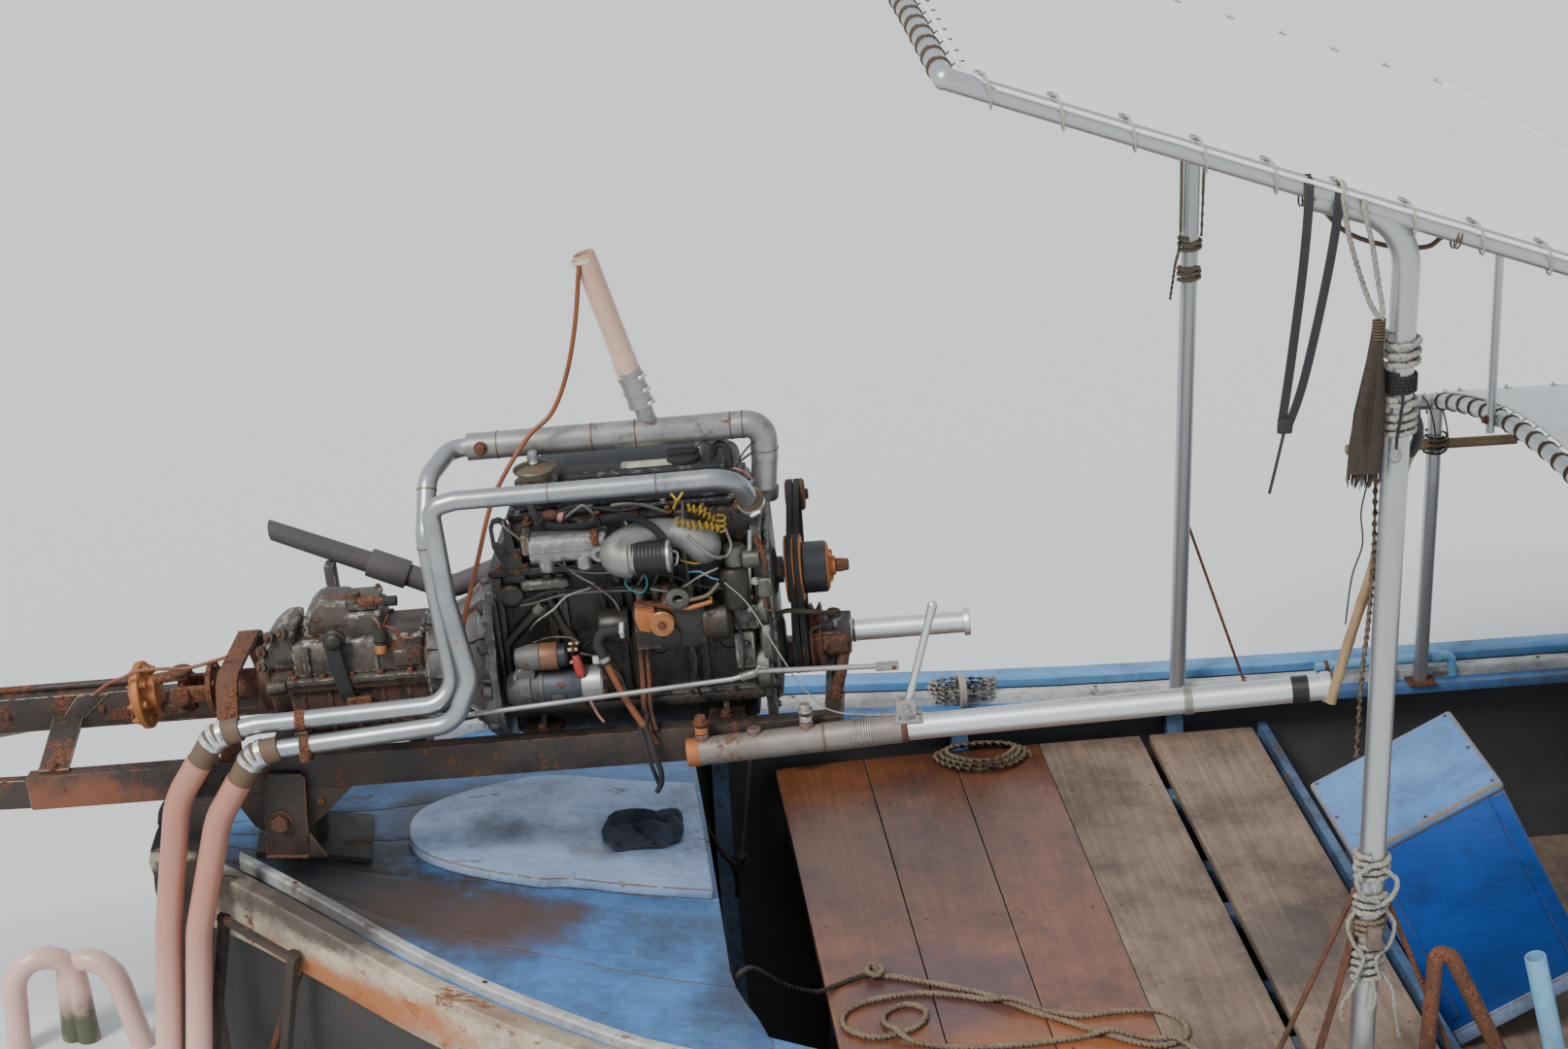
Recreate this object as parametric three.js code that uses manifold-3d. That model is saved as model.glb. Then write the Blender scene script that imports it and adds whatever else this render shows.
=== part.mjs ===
// Longtail boat: wooden hull, helm and passenger canopies.
// A tiller-steered engine frame stands on a pivot at the stern.
// Millimetres. +X to the bow, +Y to port, +Z up. Origin on the centreline at the waterline, amidships.
import * as THREE from "three";
import { mergeVertices } from "three/addons/utils/BufferGeometryUtils.js";
import Module from "manifold-3d";

const wasm = await Module();
wasm.setup();

// Driving dimensions
const GAP = 0.4; // between pieces that touch
const PLANK = 28; // hull planking
const STERN_X = -5030;
const BOW_X = 4950;
const BOARD_Z = 400; // top of the helm's deck boards
const BOARD_T = 26;
const FLOOR_Z = 90; // top of the passenger floor
const PIVOT_X = -4687;
const PIVOT_Z = 916; // tilt axis of the engine frame
const REST_YAW = -7.5; // degrees, front end to starboard
const REST_TILT = 4.2; // degrees, front end up
const RAIL_V = 210; // frame rail's middle, off the frame's centreline
const RAIL_W0 = 63; // rail's underside above the tilt axis
const RAIL_W1 = 143;
const CRANK_W = 235; // crankshaft and gearbox axis above the tilt axis
const JOINT_U = -235; // cross of the universal joint
const JOINT_W = 230;
const TAIL_DROP = 5; // degrees, propeller shaft below the frame's line
const PROP_U = -3400;
const PIPE_R = 30; // header pipe
const COOL_R = 21; // coolant pipes
const CANOPY_Y = 950; // half width of both canopies' frames
const CANOPY_R = 21;

const rad = (d) => (d * Math.PI) / 180;
const V = (x, y, z) => new THREE.Vector3(x, y, z);

// Geometry helpers
function box(x0, x1, y0, y1, z0, z1) {
  const g = new THREE.BoxGeometry(x1 - x0, y1 - y0, z1 - z0);
  g.translate((x0 + x1) / 2, (y0 + y1) / 2, (z0 + z1) / 2);
  return g;
}

function aim(g, p, q) {
  // turns a geometry drawn along +Y about its middle so that it runs from p to q
  const d = q.clone().sub(p);
  const turn = new THREE.Quaternion().setFromUnitVectors(V(0, 1, 0), d.clone().normalize());
  g.applyMatrix4(new THREE.Matrix4().makeRotationFromQuaternion(turn));
  const m = p.clone().add(q).multiplyScalar(0.5);
  g.translate(m.x, m.y, m.z);
  return g;
}

function rod(p, q, r, n = 12, r2 = r) {
  return aim(new THREE.CylinderGeometry(r2, r, p.distanceTo(q), n, 1), p, q);
}

function ball(p, r, n = 10) {
  const g = new THREE.SphereGeometry(r, n, Math.max(6, Math.round(n / 2) + 1));
  g.translate(p.x, p.y, p.z);
  return g;
}

// A run of straight lines with rounded corners, sampled only where it bends.
class Route extends THREE.Curve {
  constructor(corners, bend = 60, cuts = 3) {
    super();
    const pts = [corners[0].clone()];
    for (let i = 1; i < corners.length - 1; i++) {
      const [a, b, c] = [corners[i - 1], corners[i], corners[i + 1]];
      const into = a.clone().sub(b);
      const out = c.clone().sub(b);
      if (!cuts) {
        pts.push(b.clone());
        continue;
      }
      const back = Math.min(bend, into.length() * 0.49, out.length() * 0.49);
      const s = b.clone().add(into.setLength(back));
      const e = b.clone().add(out.setLength(back));
      for (let k = 0; k <= cuts; k++) {
        const t = k / cuts;
        const m = s.clone().multiplyScalar((1 - t) * (1 - t));
        m.add(b.clone().multiplyScalar(2 * t * (1 - t))).add(e.clone().multiplyScalar(t * t));
        pts.push(m);
      }
    }
    pts.push(corners[corners.length - 1].clone());
    this.list = pts;
  }
  getSpacedPoints() {
    return this.list.map((p) => p.clone());
  }
  getTangentAt(u, target = new THREE.Vector3()) {
    const n = this.list.length - 1;
    const i = Math.round(u * n);
    const a = this.list[Math.max(0, i - 1)];
    const b = this.list[Math.min(n, i + 1)];
    return target.copy(b).sub(a).normalize();
  }
}

function disc(r, n) {
  const s = new THREE.Shape();
  for (let i = 0; i < n; i++) {
    const a = (i / n) * 2 * Math.PI;
    if (i) s.lineTo(r * Math.cos(a), r * Math.sin(a));
    else s.moveTo(r, 0);
  }
  s.closePath();
  return s;
}

function pipe(corners, r, bend = 60, n = 8, cuts = 2) {
  const path = new Route(corners, bend, cuts);
  return new THREE.ExtrudeGeometry(disc(r, n), {
    steps: path.list.length - 1,
    curveSegments: 1,
    extrudePath: path,
  });
}

// A flat outline, extruded along one axis between a and b. The outline's pairs are (y,z), (x,z) or (x,y).
function prism(axis, outline, a, b) {
  const s = new THREE.Shape(outline.map(([p, q]) => new THREE.Vector2(p, q)));
  const g = new THREE.ExtrudeGeometry(s, { depth: b - a, bevelEnabled: false, steps: 1 });
  g.translate(0, 0, a);
  const m = new THREE.Matrix4();
  if (axis === "x") m.makeBasis(V(0, 1, 0), V(0, 0, 1), V(1, 0, 0));
  if (axis === "y") m.makeBasis(V(1, 0, 0), V(0, 0, 1), V(0, -1, 0));
  if (axis === "z") m.identity();
  g.applyMatrix4(m);
  return g;
}

// A profile of (radius, distance along the axis), turned about the line from p towards q.
function turned(profile, p, q, n = 24) {
  const g = new THREE.LatheGeometry(profile.map(([r, t]) => new THREE.Vector2(r, t)), n);
  const turn = new THREE.Quaternion().setFromUnitVectors(V(0, 1, 0), q.clone().sub(p).normalize());
  g.applyMatrix4(new THREE.Matrix4().makeRotationFromQuaternion(turn));
  g.translate(p.x, p.y, p.z);
  return g;
}

// A body through closed rings of points, with flat ends.
function loft(rings) {
  const n = rings[0].length;
  const pos = [];
  const idx = [];
  for (const r of rings) for (const p of r) pos.push(p.x, p.y, p.z);
  for (let i = 0; i < rings.length - 1; i++) {
    for (let j = 0; j < n; j++) {
      const k = (j + 1) % n;
      const [a, b, c, d] = [i * n + j, i * n + k, (i + 1) * n + k, (i + 1) * n + j];
      idx.push(a, b, c, a, c, d);
    }
  }
  const flat = (r) => r.map((p) => new THREE.Vector2(p.y, p.z));
  const last = (rings.length - 1) * n;
  for (const [a, b, c] of THREE.ShapeUtils.triangulateShape(flat(rings[0]), [])) idx.push(a, c, b);
  for (const [a, b, c] of THREE.ShapeUtils.triangulateShape(flat(rings[rings.length - 1]), []))
    idx.push(last + a, last + b, last + c);
  const g = new THREE.BufferGeometry();
  g.setAttribute("position", new THREE.Float32BufferAttribute(pos, 3));
  g.setIndex(idx);
  return g;
}

function solid(g) {
  const raw = g.clone();
  raw.deleteAttribute("normal");
  raw.deleteAttribute("uv");
  const m = mergeVertices(raw, 1e-3);
  const made = new wasm.Manifold(
    new wasm.Mesh({
      numProp: 3,
      vertProperties: m.attributes.position.array,
      triVerts: new Uint32Array(m.index.array),
    }),
  );
  if (made.volume() < 0) {
    const t = new Uint32Array(m.index.array);
    for (let i = 0; i < t.length; i += 3) [t[i + 1], t[i + 2]] = [t[i + 2], t[i + 1]];
    return new wasm.Manifold(
      new wasm.Mesh({ numProp: 3, vertProperties: m.attributes.position.array, triVerts: t }),
    );
  }
  return made;
}

function drawn(s) {
  const m = s.getMesh();
  const g = new THREE.BufferGeometry();
  const xyz = new Float32Array(m.numVert * 3);
  for (let i = 0; i < m.numVert; i++)
    for (let k = 0; k < 3; k++) xyz[3 * i + k] = m.vertProperties[i * m.numProp + k];
  g.setAttribute("position", new THREE.BufferAttribute(xyz, 3));
  g.setIndex(new THREE.BufferAttribute(new Uint32Array(m.triVerts), 1));
  g.computeVertexNormals();
  return g;
}

function join(list, cuts = []) {
  let s = solid(list[0]);
  for (const g of list.slice(1)) s = s.add(solid(g));
  for (const g of cuts) s = s.subtract(solid(g));
  return drawn(s);
}

// Finishes
const finish = (color, roughness, metalness) => ({ color, roughness, metalness });
const F = {
  bluePaint: finish(0x2f78c4, 0.5, 0),
  palePaint: finish(0x8fb4dc, 0.55, 0),
  whitePaint: finish(0xd9d3c4, 0.6, 0),
  darkHull: finish(0x2a2321, 0.7, 0),
  charred: finish(0x241f1d, 0.9, 0),
  varnish: finish(0x7c3f22, 0.35, 0),
  bareWood: finish(0x84705f, 0.75, 0),
  tarp: finish(0xf1f1ee, 0.6, 0),
  galvanised: finish(0x8d9091, 0.4, 0.8),
  stainless: finish(0xc3c7c9, 0.25, 1),
  alloy: finish(0xa9adae, 0.35, 1),
  castGrey: finish(0x77777a, 0.6, 0.6),
  oily: finish(0x23201e, 0.45, 0.5),
  rust: finish(0x7b3b20, 0.85, 0.3),
  orangeRust: finish(0xb5572a, 0.85, 0.2),
  rubber: finish(0x1b1b1c, 0.7, 0),
  pinkHose: finish(0xd9b7a8, 0.4, 0),
  pvc: finish(0x7fb8dc, 0.4, 0),
  boxBlue: finish(0x1f4fb4, 0.45, 0),
};

const boat = new THREE.Group();
boat.name = "longtail_boat";
const hull = new THREE.Group();
const swivel = new THREE.Group();
const frame = new THREE.Group();
swivel.position.set(PIVOT_X, 0, PIVOT_Z);
swivel.rotation.set(0, 0, rad(REST_YAW));
frame.position.set(PIVOT_X, 0, PIVOT_Z);
frame.rotation.set(0, -rad(REST_TILT), rad(REST_YAW), "ZYX");
boat.add(hull, swivel, frame);

function put(group, name, geometry, look) {
  const mesh = new THREE.Mesh(geometry, new THREE.MeshStandardMaterial(look));
  mesh.name = name;
  group.add(mesh);
}

// Hull form
// columns: x, half beam at the sheer, sheer height, keel height, fullness of the bilge (0 = V, 1 = square)
const STATIONS = [
  [-5030, 150, 790, 60, 0.55],
  [-4900, 205, 780, 20, 0.58],
  [-4640, 455, 752, -60, 0.62],
  [-4430, 650, 712, -110, 0.66],
  [-4200, 810, 668, -160, 0.7],
  [-3900, 940, 610, -200, 0.72],
  [-3450, 1015, 560, -240, 0.74],
  [-2600, 1045, 518, -275, 0.76],
  [-1200, 1060, 512, -300, 0.78],
  [400, 1060, 530, -300, 0.78],
  [1800, 985, 590, -280, 0.74],
  [2900, 835, 690, -230, 0.68],
  [3700, 620, 805, -130, 0.62],
  [4300, 385, 940, 60, 0.56],
  [4700, 190, 1070, 330, 0.52],
  [4950, 62, 1170, 620, 0.5],
];

function station(x) {
  let i = 0;
  while (i < STATIONS.length - 2 && STATIONS[i + 1][0] < x) i++;
  const [a, b] = [STATIONS[i], STATIONS[i + 1]];
  const t = THREE.MathUtils.clamp((x - a[0]) / (b[0] - a[0]), 0, 1);
  const mix = (k) => a[k] + (b[k] - a[k]) * t;
  return { half: mix(1), sheer: mix(2), keel: mix(3), full: mix(4) };
}

const SIDE = 5; // steps from keel to sheer
const GRID = []; // the shell's own sections
STATIONS.forEach(([x], i) => {
  const next = STATIONS[i + 1];
  const n = next ? Math.ceil((next[0] - x) / 900) : 1;
  for (let k = 0; k < n; k++) GRID.push(next ? x + ((next[0] - x) * k) / n : x);
});

function formAt(x, inset) {
  const s = station(x);
  const half = s.half - inset;
  const keel = s.keel + inset * 1.15;
  const cy = half * (0.62 + 0.42 * s.full);
  const cz = keel + (s.sheer - keel) * (0.5 - 0.52 * s.full);
  const pts = [];
  for (let k = 0; k <= SIDE; k++) {
    const t = k / SIDE;
    pts.push([2 * t * (1 - t) * cy + t * t * half,
        (1 - t) * (1 - t) * keel + 2 * t * (1 - t) * cz + t * t * s.sheer]);
  }
  return pts;
}

// One side of the section at x, from the keel up to the sheer or to top: points of (y, z), drawn in by
// inset.
function side(x, inset = 0, top = null) {
  let i = 0;
  while (i < GRID.length - 2 && GRID[i + 1] < x) i++;
  const t = THREE.MathUtils.clamp((x - GRID[i]) / (GRID[i + 1] - GRID[i]), 0, 1);
  const [p, q] = [formAt(GRID[i], inset), formAt(GRID[i + 1], inset)];
  const pts = p.map(([y, z], k) => [y + (q[k][0] - y) * t, z + (q[k][1] - z) * t]);
  if (top === null || top >= pts[SIDE][1]) return pts;
  const low = [];
  for (let k = 0; k <= SIDE; k++) {
    if (pts[k][1] < top) low.push(pts[k]);
    else {
      const [u, v] = [pts[k - 1], pts[k]];
      low.push([u[0] + ((v[0] - u[0]) * (top - u[1])) / (v[1] - u[1]), top]);
      break;
    }
  }
  while (low.length <= SIDE) low.splice(1, 0, [(low[0][0] + low[1][0]) / 2, (low[0][1] + low[1][1]) / 2]);
  return low;
}

// Half width of the section at height z, and height of the section at half width y.
function halfAt(x, z, inset = PLANK) {
  const pts = side(x, inset);
  for (let k = 1; k < pts.length; k++)
    if (pts[k][1] >= z) {
      const [p, q] = [pts[k - 1], pts[k]];
      return p[0] + ((q[0] - p[0]) * (z - p[1])) / (q[1] - p[1]);
    }
  return pts[pts.length - 1][0];
}
function heightAt(x, y, inset = PLANK) {
  const pts = side(x, inset);
  for (let k = 1; k < pts.length; k++)
    if (pts[k][0] >= y) {
      const [p, q] = [pts[k - 1], pts[k]];
      return p[1] + ((q[1] - p[1]) * (y - p[0])) / (q[0] - p[0]);
    }
  return pts[pts.length - 1][1];
}

// x positions of a long piece: its ends and the shell's sections between them
function between(x0, x1) {
  return [x0, ...GRID.filter((x) => x > x0 + 25 && x < x1 - 25), x1];
}

const SHELL_X0 = -4898;
const shellRing = (x, thick = PLANK) => {
  const out = side(x);
  const inn = side(x, thick);
  const ring = [];
  for (let k = out.length - 1; k > 0; k--) ring.push(V(x, out[k][0], out[k][1]));
  for (let k = 0; k < out.length; k++) ring.push(V(x, -out[k][0], out[k][1]));
  for (let k = inn.length - 1; k > 0; k--) ring.push(V(x, -inn[k][0], inn[k][1]));
  for (let k = 0; k < inn.length; k++) ring.push(V(x, inn[k][0], inn[k][1]));
  return ring.reverse();
};

// The planking is the bottom up to the bilge, and a side each way from the bilge to the sheer.
const BILGE = 2; // step of the section where bottom and sides meet
const bottomRing = (x) => {
  const out = side(x);
  const inn = side(x, PLANK);
  const ring = [];
  for (let k = BILGE; k > 0; k--) ring.push(V(x, out[k][0], out[k][1]));
  for (let k = 0; k <= BILGE; k++) ring.push(V(x, -out[k][0], out[k][1]));
  for (let k = BILGE; k > 0; k--) ring.push(V(x, -inn[k][0], inn[k][1]));
  for (let k = 0; k <= BILGE; k++) ring.push(V(x, inn[k][0], inn[k][1]));
  return ring.reverse();
};
const sideRing = (x, s) => {
  const raised = (pts) => {
    const [p, q] = [pts[BILGE], pts[BILGE + 1]];
    const t = 0.5 / Math.hypot(q[0] - p[0], q[1] - p[1]);
    return [[p[0] + (q[0] - p[0]) * t, p[1] + (q[1] - p[1]) * t], ...pts.slice(BILGE + 1)];
  };
  const out = raised(side(x));
  const inn = raised(side(x, PLANK)).reverse();
  const ring = [...out, ...inn].map(([y, z]) => V(x, s * y, z));
  return s > 0 ? ring : ring.reverse();
};
const shellX = between(SHELL_X0, BOW_X);
put(hull, "hull_bottom", loft(shellX.map(bottomRing)), F.darkHull);
put(hull, "hull_side_port", loft(shellX.map((x) => sideRing(x, 1))), F.darkHull);
put(hull, "hull_side_starboard", loft(shellX.map((x) => sideRing(x, -1))), F.darkHull);

const wholeRing = (x, top = null) => {
  const out = side(x, 0, top);
  const ring = [];
  for (let k = out.length - 1; k > 0; k--) ring.push(V(x, out[k][0], out[k][1]));
  for (let k = 0; k < out.length; k++) ring.push(V(x, -out[k][0], out[k][1]));
  return ring.reverse();
};
put(hull, "stern_block", loft([STERN_X, -4960, SHELL_X0 - GAP].map((x) => wholeRing(x))), F.charred);

// The keel runs under the planking and sweeps up into the tall stem.
const KEEL_T = 70;
const keelPath = between(-4890, 4200);
const keelRings = keelPath.map((x) => {
  const z = side(x)[0][1] - GAP - 0.1;
  const w = 42;
  const drop = 62;
  return [V(x, -w, z - drop), V(x, w, z - drop), V(x, w, z - 6), V(x, 0, z), V(x, -w, z - 6)];
});
put(hull, "keel", loft(keelRings), F.darkHull);

// columns: x of the front face, z
const STEM_FRONT = [
  [4290, -30],
  [4760, 330],
  [5030, 640],
  [5190, 1010],
  [5330, 1420],
  [5430, 1830],
];
const STEM_BACK = [
  [5340, 1850],
  [5225, 1440],
  [5080, 1190],
  [4950.5, 1185],
  [4950.5, 605],
  [4703, 300],
  [4310, 40],
];
const stemCut = [-1, 1].map((s) => {
  const g = box(4200, 4951, s > 0 ? 0 : -700, s > 0 ? 700 : 0, -400, 1400);
  return g;
});
put(
  hull,
  "stem",
  join(
    [prism("y", [...STEM_FRONT, ...STEM_BACK], -34, 34)],
    [
      loft(
        between(4200, 4950.5).map((x) => {
          const raised = (p) => p.z + (p.z < 1000 ? -4 : 30);
          return wholeRing(Math.min(x, 4950)).map((p) => V(x, p.y * 1.02 + Math.sign(p.y), raised(p)));
        }),
      ),
    ],
  ),
  F.varnish,
);

// Rub strakes outside the planking, with a cap over its edge.
const RUB_T = 46;
const RUB_H = 120;
for (const [name, s] of [
  ["rub_strake_port", 1],
  ["rub_strake_starboard", -1],
]) {
  const rings = between(-4895, 4900).map((x) => {
    const pts = side(x);
    const [h, z] = pts[SIDE];
    const low = halfAt(x, z - RUB_H, 0);
    const mid = halfAt(x, z - RUB_H * 0.45, 0);
    const ring = [
      [h - PLANK + 3, z + 0.5],
      [h - PLANK + 3, z + 26],
      [h + RUB_T, z + 26],
      [low + RUB_T, z - RUB_H],
      [low + 6, z - RUB_H],
      [mid + 6, z - RUB_H * 0.45],
      [h + 3, z + 0.5],
    ].map(([y, zz]) => V(x, s * y, zz));
    return s > 0 ? ring.reverse() : ring;
  });
  put(hull, name, loft(rings), F.whitePaint);
}

// Stern deck and its raised middle plank.
const DECK_T = 26;
const DECK_X1 = -3755;
const deckZ = (x) => side(x)[SIDE][1] - 12;
const slab = (x0, x1, half, top, thick) =>
  loft(
    between(x0, x1).map((x) => {
      const h = half(x);
      const z = top(x);
      return [V(x, -h, z - thick), V(x, h, z - thick), V(x, h, z), V(x, -h, z)];
    }),
  );
// The stern deck and its platform are crowned ahead of the pivot.
const CROWN = 78;
const CROWN_X = [-4530, -4080];
const crownAt = (x, y, half) =>
  CROWN * THREE.MathUtils.clamp((x - CROWN_X[0]) / (CROWN_X[1] - CROWN_X[0]), 0, 1) * (1 - (y / half) ** 2);
const crowned = (x0, x1, half, lift, thick) => {
  const crowned = CROWN_X.filter((x) => x > x0 && x < x1);
  const xs = [...new Set([...between(x0, x1), ...crowned])].sort((a, b) => a - b);
  return loft(
    xs.map((x) => {
      const h = half(x);
      const across = Array.from({ length: 9 }, (_, k) => h * (-1 + k / 4));
      const top = across.map((y) => V(x, y, deckZ(x) + lift + crownAt(x, y, side(x)[SIDE][0])));
      return [...top.map((p) => V(p.x, p.y, p.z - thick)), ...top.reverse()];
    }),
  );
};
put(
  hull,
  "stern_deck",
  crowned(SHELL_X0 + 2, DECK_X1, (x) => halfAt(x, deckZ(x) - DECK_T) - 3, 0, DECK_T),
  F.bluePaint,
);
const RAISED_T = 26;
put(
  hull,
  "stern_platform",
  crowned(-4420, -3762, (x) => 250 + ((x + 4420) / 658) * 20, RAISED_T + 1, RAISED_T - 0.45),
  F.palePaint,
);

// Side decks from the stern deck to the foredeck.
const SIDE_W = 105;
for (const [name, s] of [
  ["side_deck_port", 1],
  ["side_deck_starboard", -1],
]) {
  const rings = between(DECK_X1 + GAP, 3300).map((x) => {
    const z = deckZ(x);
    const out = halfAt(x, z - DECK_T) - 1.1;
    const wide = x < -3400 ? 230 - ((x + 3753) / 353) * (230 - SIDE_W) : SIDE_W;
    const ring = [V(x, s * (out - wide), z - DECK_T), V(x, s * out, z - DECK_T), V(x, s * out, z),
        V(x, s * (out - wide), z)];
    return s > 0 ? ring : ring.reverse();
  });
  put(hull, name, loft(rings), F.bluePaint);
}
put(
  hull,
  "fore_deck",
  slab(3300 + GAP, 4900, (x) => Math.max(12, halfAt(x, deckZ(x) - DECK_T) - 2), deckZ, DECK_T),
  F.bluePaint,
);

// Sawn frames on a keelson, one connected piece.
const RIB_W = 45;
const RIB_D = 40;
const RIBS = [-4300, -3660, -3000, -2400, -1200, 0, 1200, 2400, 3500];
const ribAt = (x) => {
  const top = Math.min(station(x).sheer - 45, 545);
  const ring = (xx) => {
    const out = side(xx, PLANK + 2, top);
    const inn = side(xx, PLANK + 2 + RIB_D, top);
    const r = [];
    for (let k = out.length - 1; k > 0; k--) r.push(V(xx, out[k][0], out[k][1]));
    for (let k = 0; k < out.length; k++) r.push(V(xx, -out[k][0], out[k][1]));
    for (let k = inn.length - 1; k > 0; k--) r.push(V(xx, -inn[k][0], inn[k][1]));
    for (let k = 0; k < inn.length; k++) r.push(V(xx, inn[k][0], inn[k][1]));
    return r.reverse();
  };
  return loft([ring(x - RIB_W / 2), ring(x + RIB_W / 2)]);
};
const keelsonFrom = (x0, x1) =>
  loft(
    between(x0, x1).map((x) => {
      const z = heightAt(x, 38) + 4;
      return [V(x, -38, z), V(x, 38, z), V(x, 38, z + 62), V(x, -38, z + 62)];
    }),
  );

// Helm boards: transverse planks held by two bearers under them.
// columns: x0, x1 of each plank
const AFT_PLANKS = [
  [-3510, -3271],
  [-3268, -3031],
  [-3028, -2787],
];
const MID_PLANKS = [
  [-2784, -2505],
  [-2478, -2190],
];
const boards = (planks) => {
  const list = planks.map(([a, b]) =>
    slab(a, b, (x) => halfAt(x, BOARD_Z - BOARD_T) - 72, () => BOARD_Z, BOARD_T),
  );
  const [a, b] = [planks[0][0] + 6, planks[planks.length - 1][1] - 6];
  for (const y of [-620, 0, 620]) list.push(box(a, b, y - 32, y + 32, BOARD_Z - BOARD_T - 40,
      BOARD_Z - BOARD_T + 1));
  return join(list);
};
put(hull, "aft_boards", boards(AFT_PLANKS), F.varnish);
put(hull, "mid_boards", boards(MID_PLANKS), F.bareWood);

// Beams that carry the helm boards, let into a post each side of the keelson.
const beamHalf = (x) => halfAt(x, BOARD_Z - BOARD_T - 110) - 76;
const bearer = (x) => box(x - 30, x + 30, -beamHalf(x), beamHalf(x), BOARD_Z - BOARD_T - 108,
    BOARD_Z - BOARD_T - 40.4);
const BEAMS = [-3440, -2840, -2250];
const beamPosts = BEAMS.map((x) => {
  const z = heightAt(x, 38) + 4;
  return box(x - 30, x + 30, -30, 30, z + 30, BOARD_Z - BOARD_T - 100);
});
// floor timbers under the passengers' boards
const timbers = RIBS.filter((x) => x > -2000 && x < 3200).map((x) => {
  const h = halfAt(x, 45) - 20;
  return box(x - 20, x + 20, -h, h, 30, FLOOR_Z - 24 - GAP);
});
const shellAndGap = loft(between(SHELL_X0, BOW_X).map((x) => shellRing(x, PLANK + 0.8)));
put(
  hull,
  "frames_aft",
  join(
    [
      keelsonFrom(-4560, -2002),
      ...RIBS.filter((x) => x < -2000).map(ribAt),
      ...BEAMS.map(bearer),
      ...beamPosts,
      ...[-300, 300].map((y) => box(BEAMS[0], BEAMS[2], y - 25, y + 25, BOARD_Z - BOARD_T - 106,
          BOARD_Z - BOARD_T - 44)),
    ],
    [shellAndGap],
  ),
  F.bluePaint,
);
put(
  hull,
  "frames_fore",
  join([keelsonFrom(-2001.5, 4000), ...RIBS.filter((x) => x > -2000).map(ribAt), ...timbers],
      [shellAndGap]),
  F.bluePaint,
);


// Bulkhead between the helm and the passengers' well.
const BULK_X = -2160;
const BULK_Z = 385;
{
  const LEVELS = [-60, 20, 100, 220, BULK_Z];
  const trim = (x) => [
    ...LEVELS.map((z) => V(x, -halfAt(x, z, PLANK + 0.5), z)).reverse(),
    ...LEVELS.map((z) => V(x, halfAt(x, z, PLANK + 0.5), z)),
  ];
  put(hull, "bulkhead", loft([BULK_X, BULK_X + 24].map(trim)), F.bluePaint);
}

// Passenger well: floor boards and plank seats on side risers.
const floorHalf = (x) => Math.min(760, halfAt(x, FLOOR_Z - 30) - 80);
const FLOOR_X0 = -2120;
const FLOOR_X1 = 3180;
put(
  hull,
  "well_floor",
  slab(FLOOR_X0, FLOOR_X1, floorHalf, () => FLOOR_Z, 24),
  F.bluePaint,
);
const SEATS = [-900, 0, 900, 1800, 2600];
const SEAT_Z = 430;
{
  const list = [];
  for (const x of SEATS) {
    const h = halfAt(x, SEAT_Z - 30) - 75;
    list.push(box(x - 130, x + 130, -h, h, SEAT_Z - 28, SEAT_Z));
    for (const y of [-420, 420]) list.push(box(x - 18, x + 18, y - 30, y + 30, FLOOR_Z + GAP, SEAT_Z - 20));
  }
  for (const y of [-420, 420]) list.push(box(SEATS[0] - 20, SEATS[4] + 20, y - 16, y + 16, FLOOR_Z + GAP,
      FLOOR_Z + 40));
  put(hull, "seats", join(list), F.varnish);
}

// Blue wooden locker: it stands on the well's floor and leans back against the bulkhead's top edge.
const LOCKER = { y: -260, wide: 392, long: 388, high: 608, lean: 27.4 };
{
  const z = FLOOR_Z + GAP;
  const x = BULK_X + 24 + GAP / Math.cos(rad(LOCKER.lean)) + (BULK_Z - z) * Math.tan(rad(LOCKER.lean));
  const g = box(0, LOCKER.long, 0, LOCKER.wide, 0, LOCKER.high);
  const hollow = box(16, LOCKER.long - 16, 16, LOCKER.wide - 16, -1, LOCKER.high - 22);
  const b = join([g], [hollow]);
  b.rotateY(-rad(LOCKER.lean));
  b.translate(x, LOCKER.y, z);
  put(hull, "locker_box", b, F.boxBlue);
}

// Canopies
const HELM_X0 = -3330;
const HELM_X1 = -1760;
const helmZ = (x) => 2690 - 0.348 * (x - HELM_X0);
const TARP_T = 8;
const ARCH = [-1, -0.6, -0.2, 0.2, 0.6, 1]; // corners of the arched pipes and of the cloth on them
const arch = (y, rise) => rise * (1 - (y / CANOPY_Y) ** 2);
function tarp(x0, x1, zAt, rise, steps, down) {
  const rings = [];
  for (let i = 0; i <= steps; i++) {
    const x = x0 + ((x1 - x0) * i) / steps;
    const top = [];
    const low = [];
    for (const k of ARCH) {
      const y = Math.abs(k) === 1 ? k * (CANOPY_Y + 22) : k * CANOPY_Y;
      const z = zAt(x) + arch(Math.max(-CANOPY_Y, Math.min(CANOPY_Y, y)), rise);
      top.push(V(x, y, z + down + TARP_T));
      low.push(V(x, y, z + down));
    }
    rings.push([...low, ...top.reverse()]);
  }
  return loft(rings);
}
const HELM_RISE = 40;
put(hull, "helm_tarp", tarp(HELM_X0 + 34, HELM_X1 + 20, helmZ, HELM_RISE, 6, CANOPY_R + 1.2), F.tarp);

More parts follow.
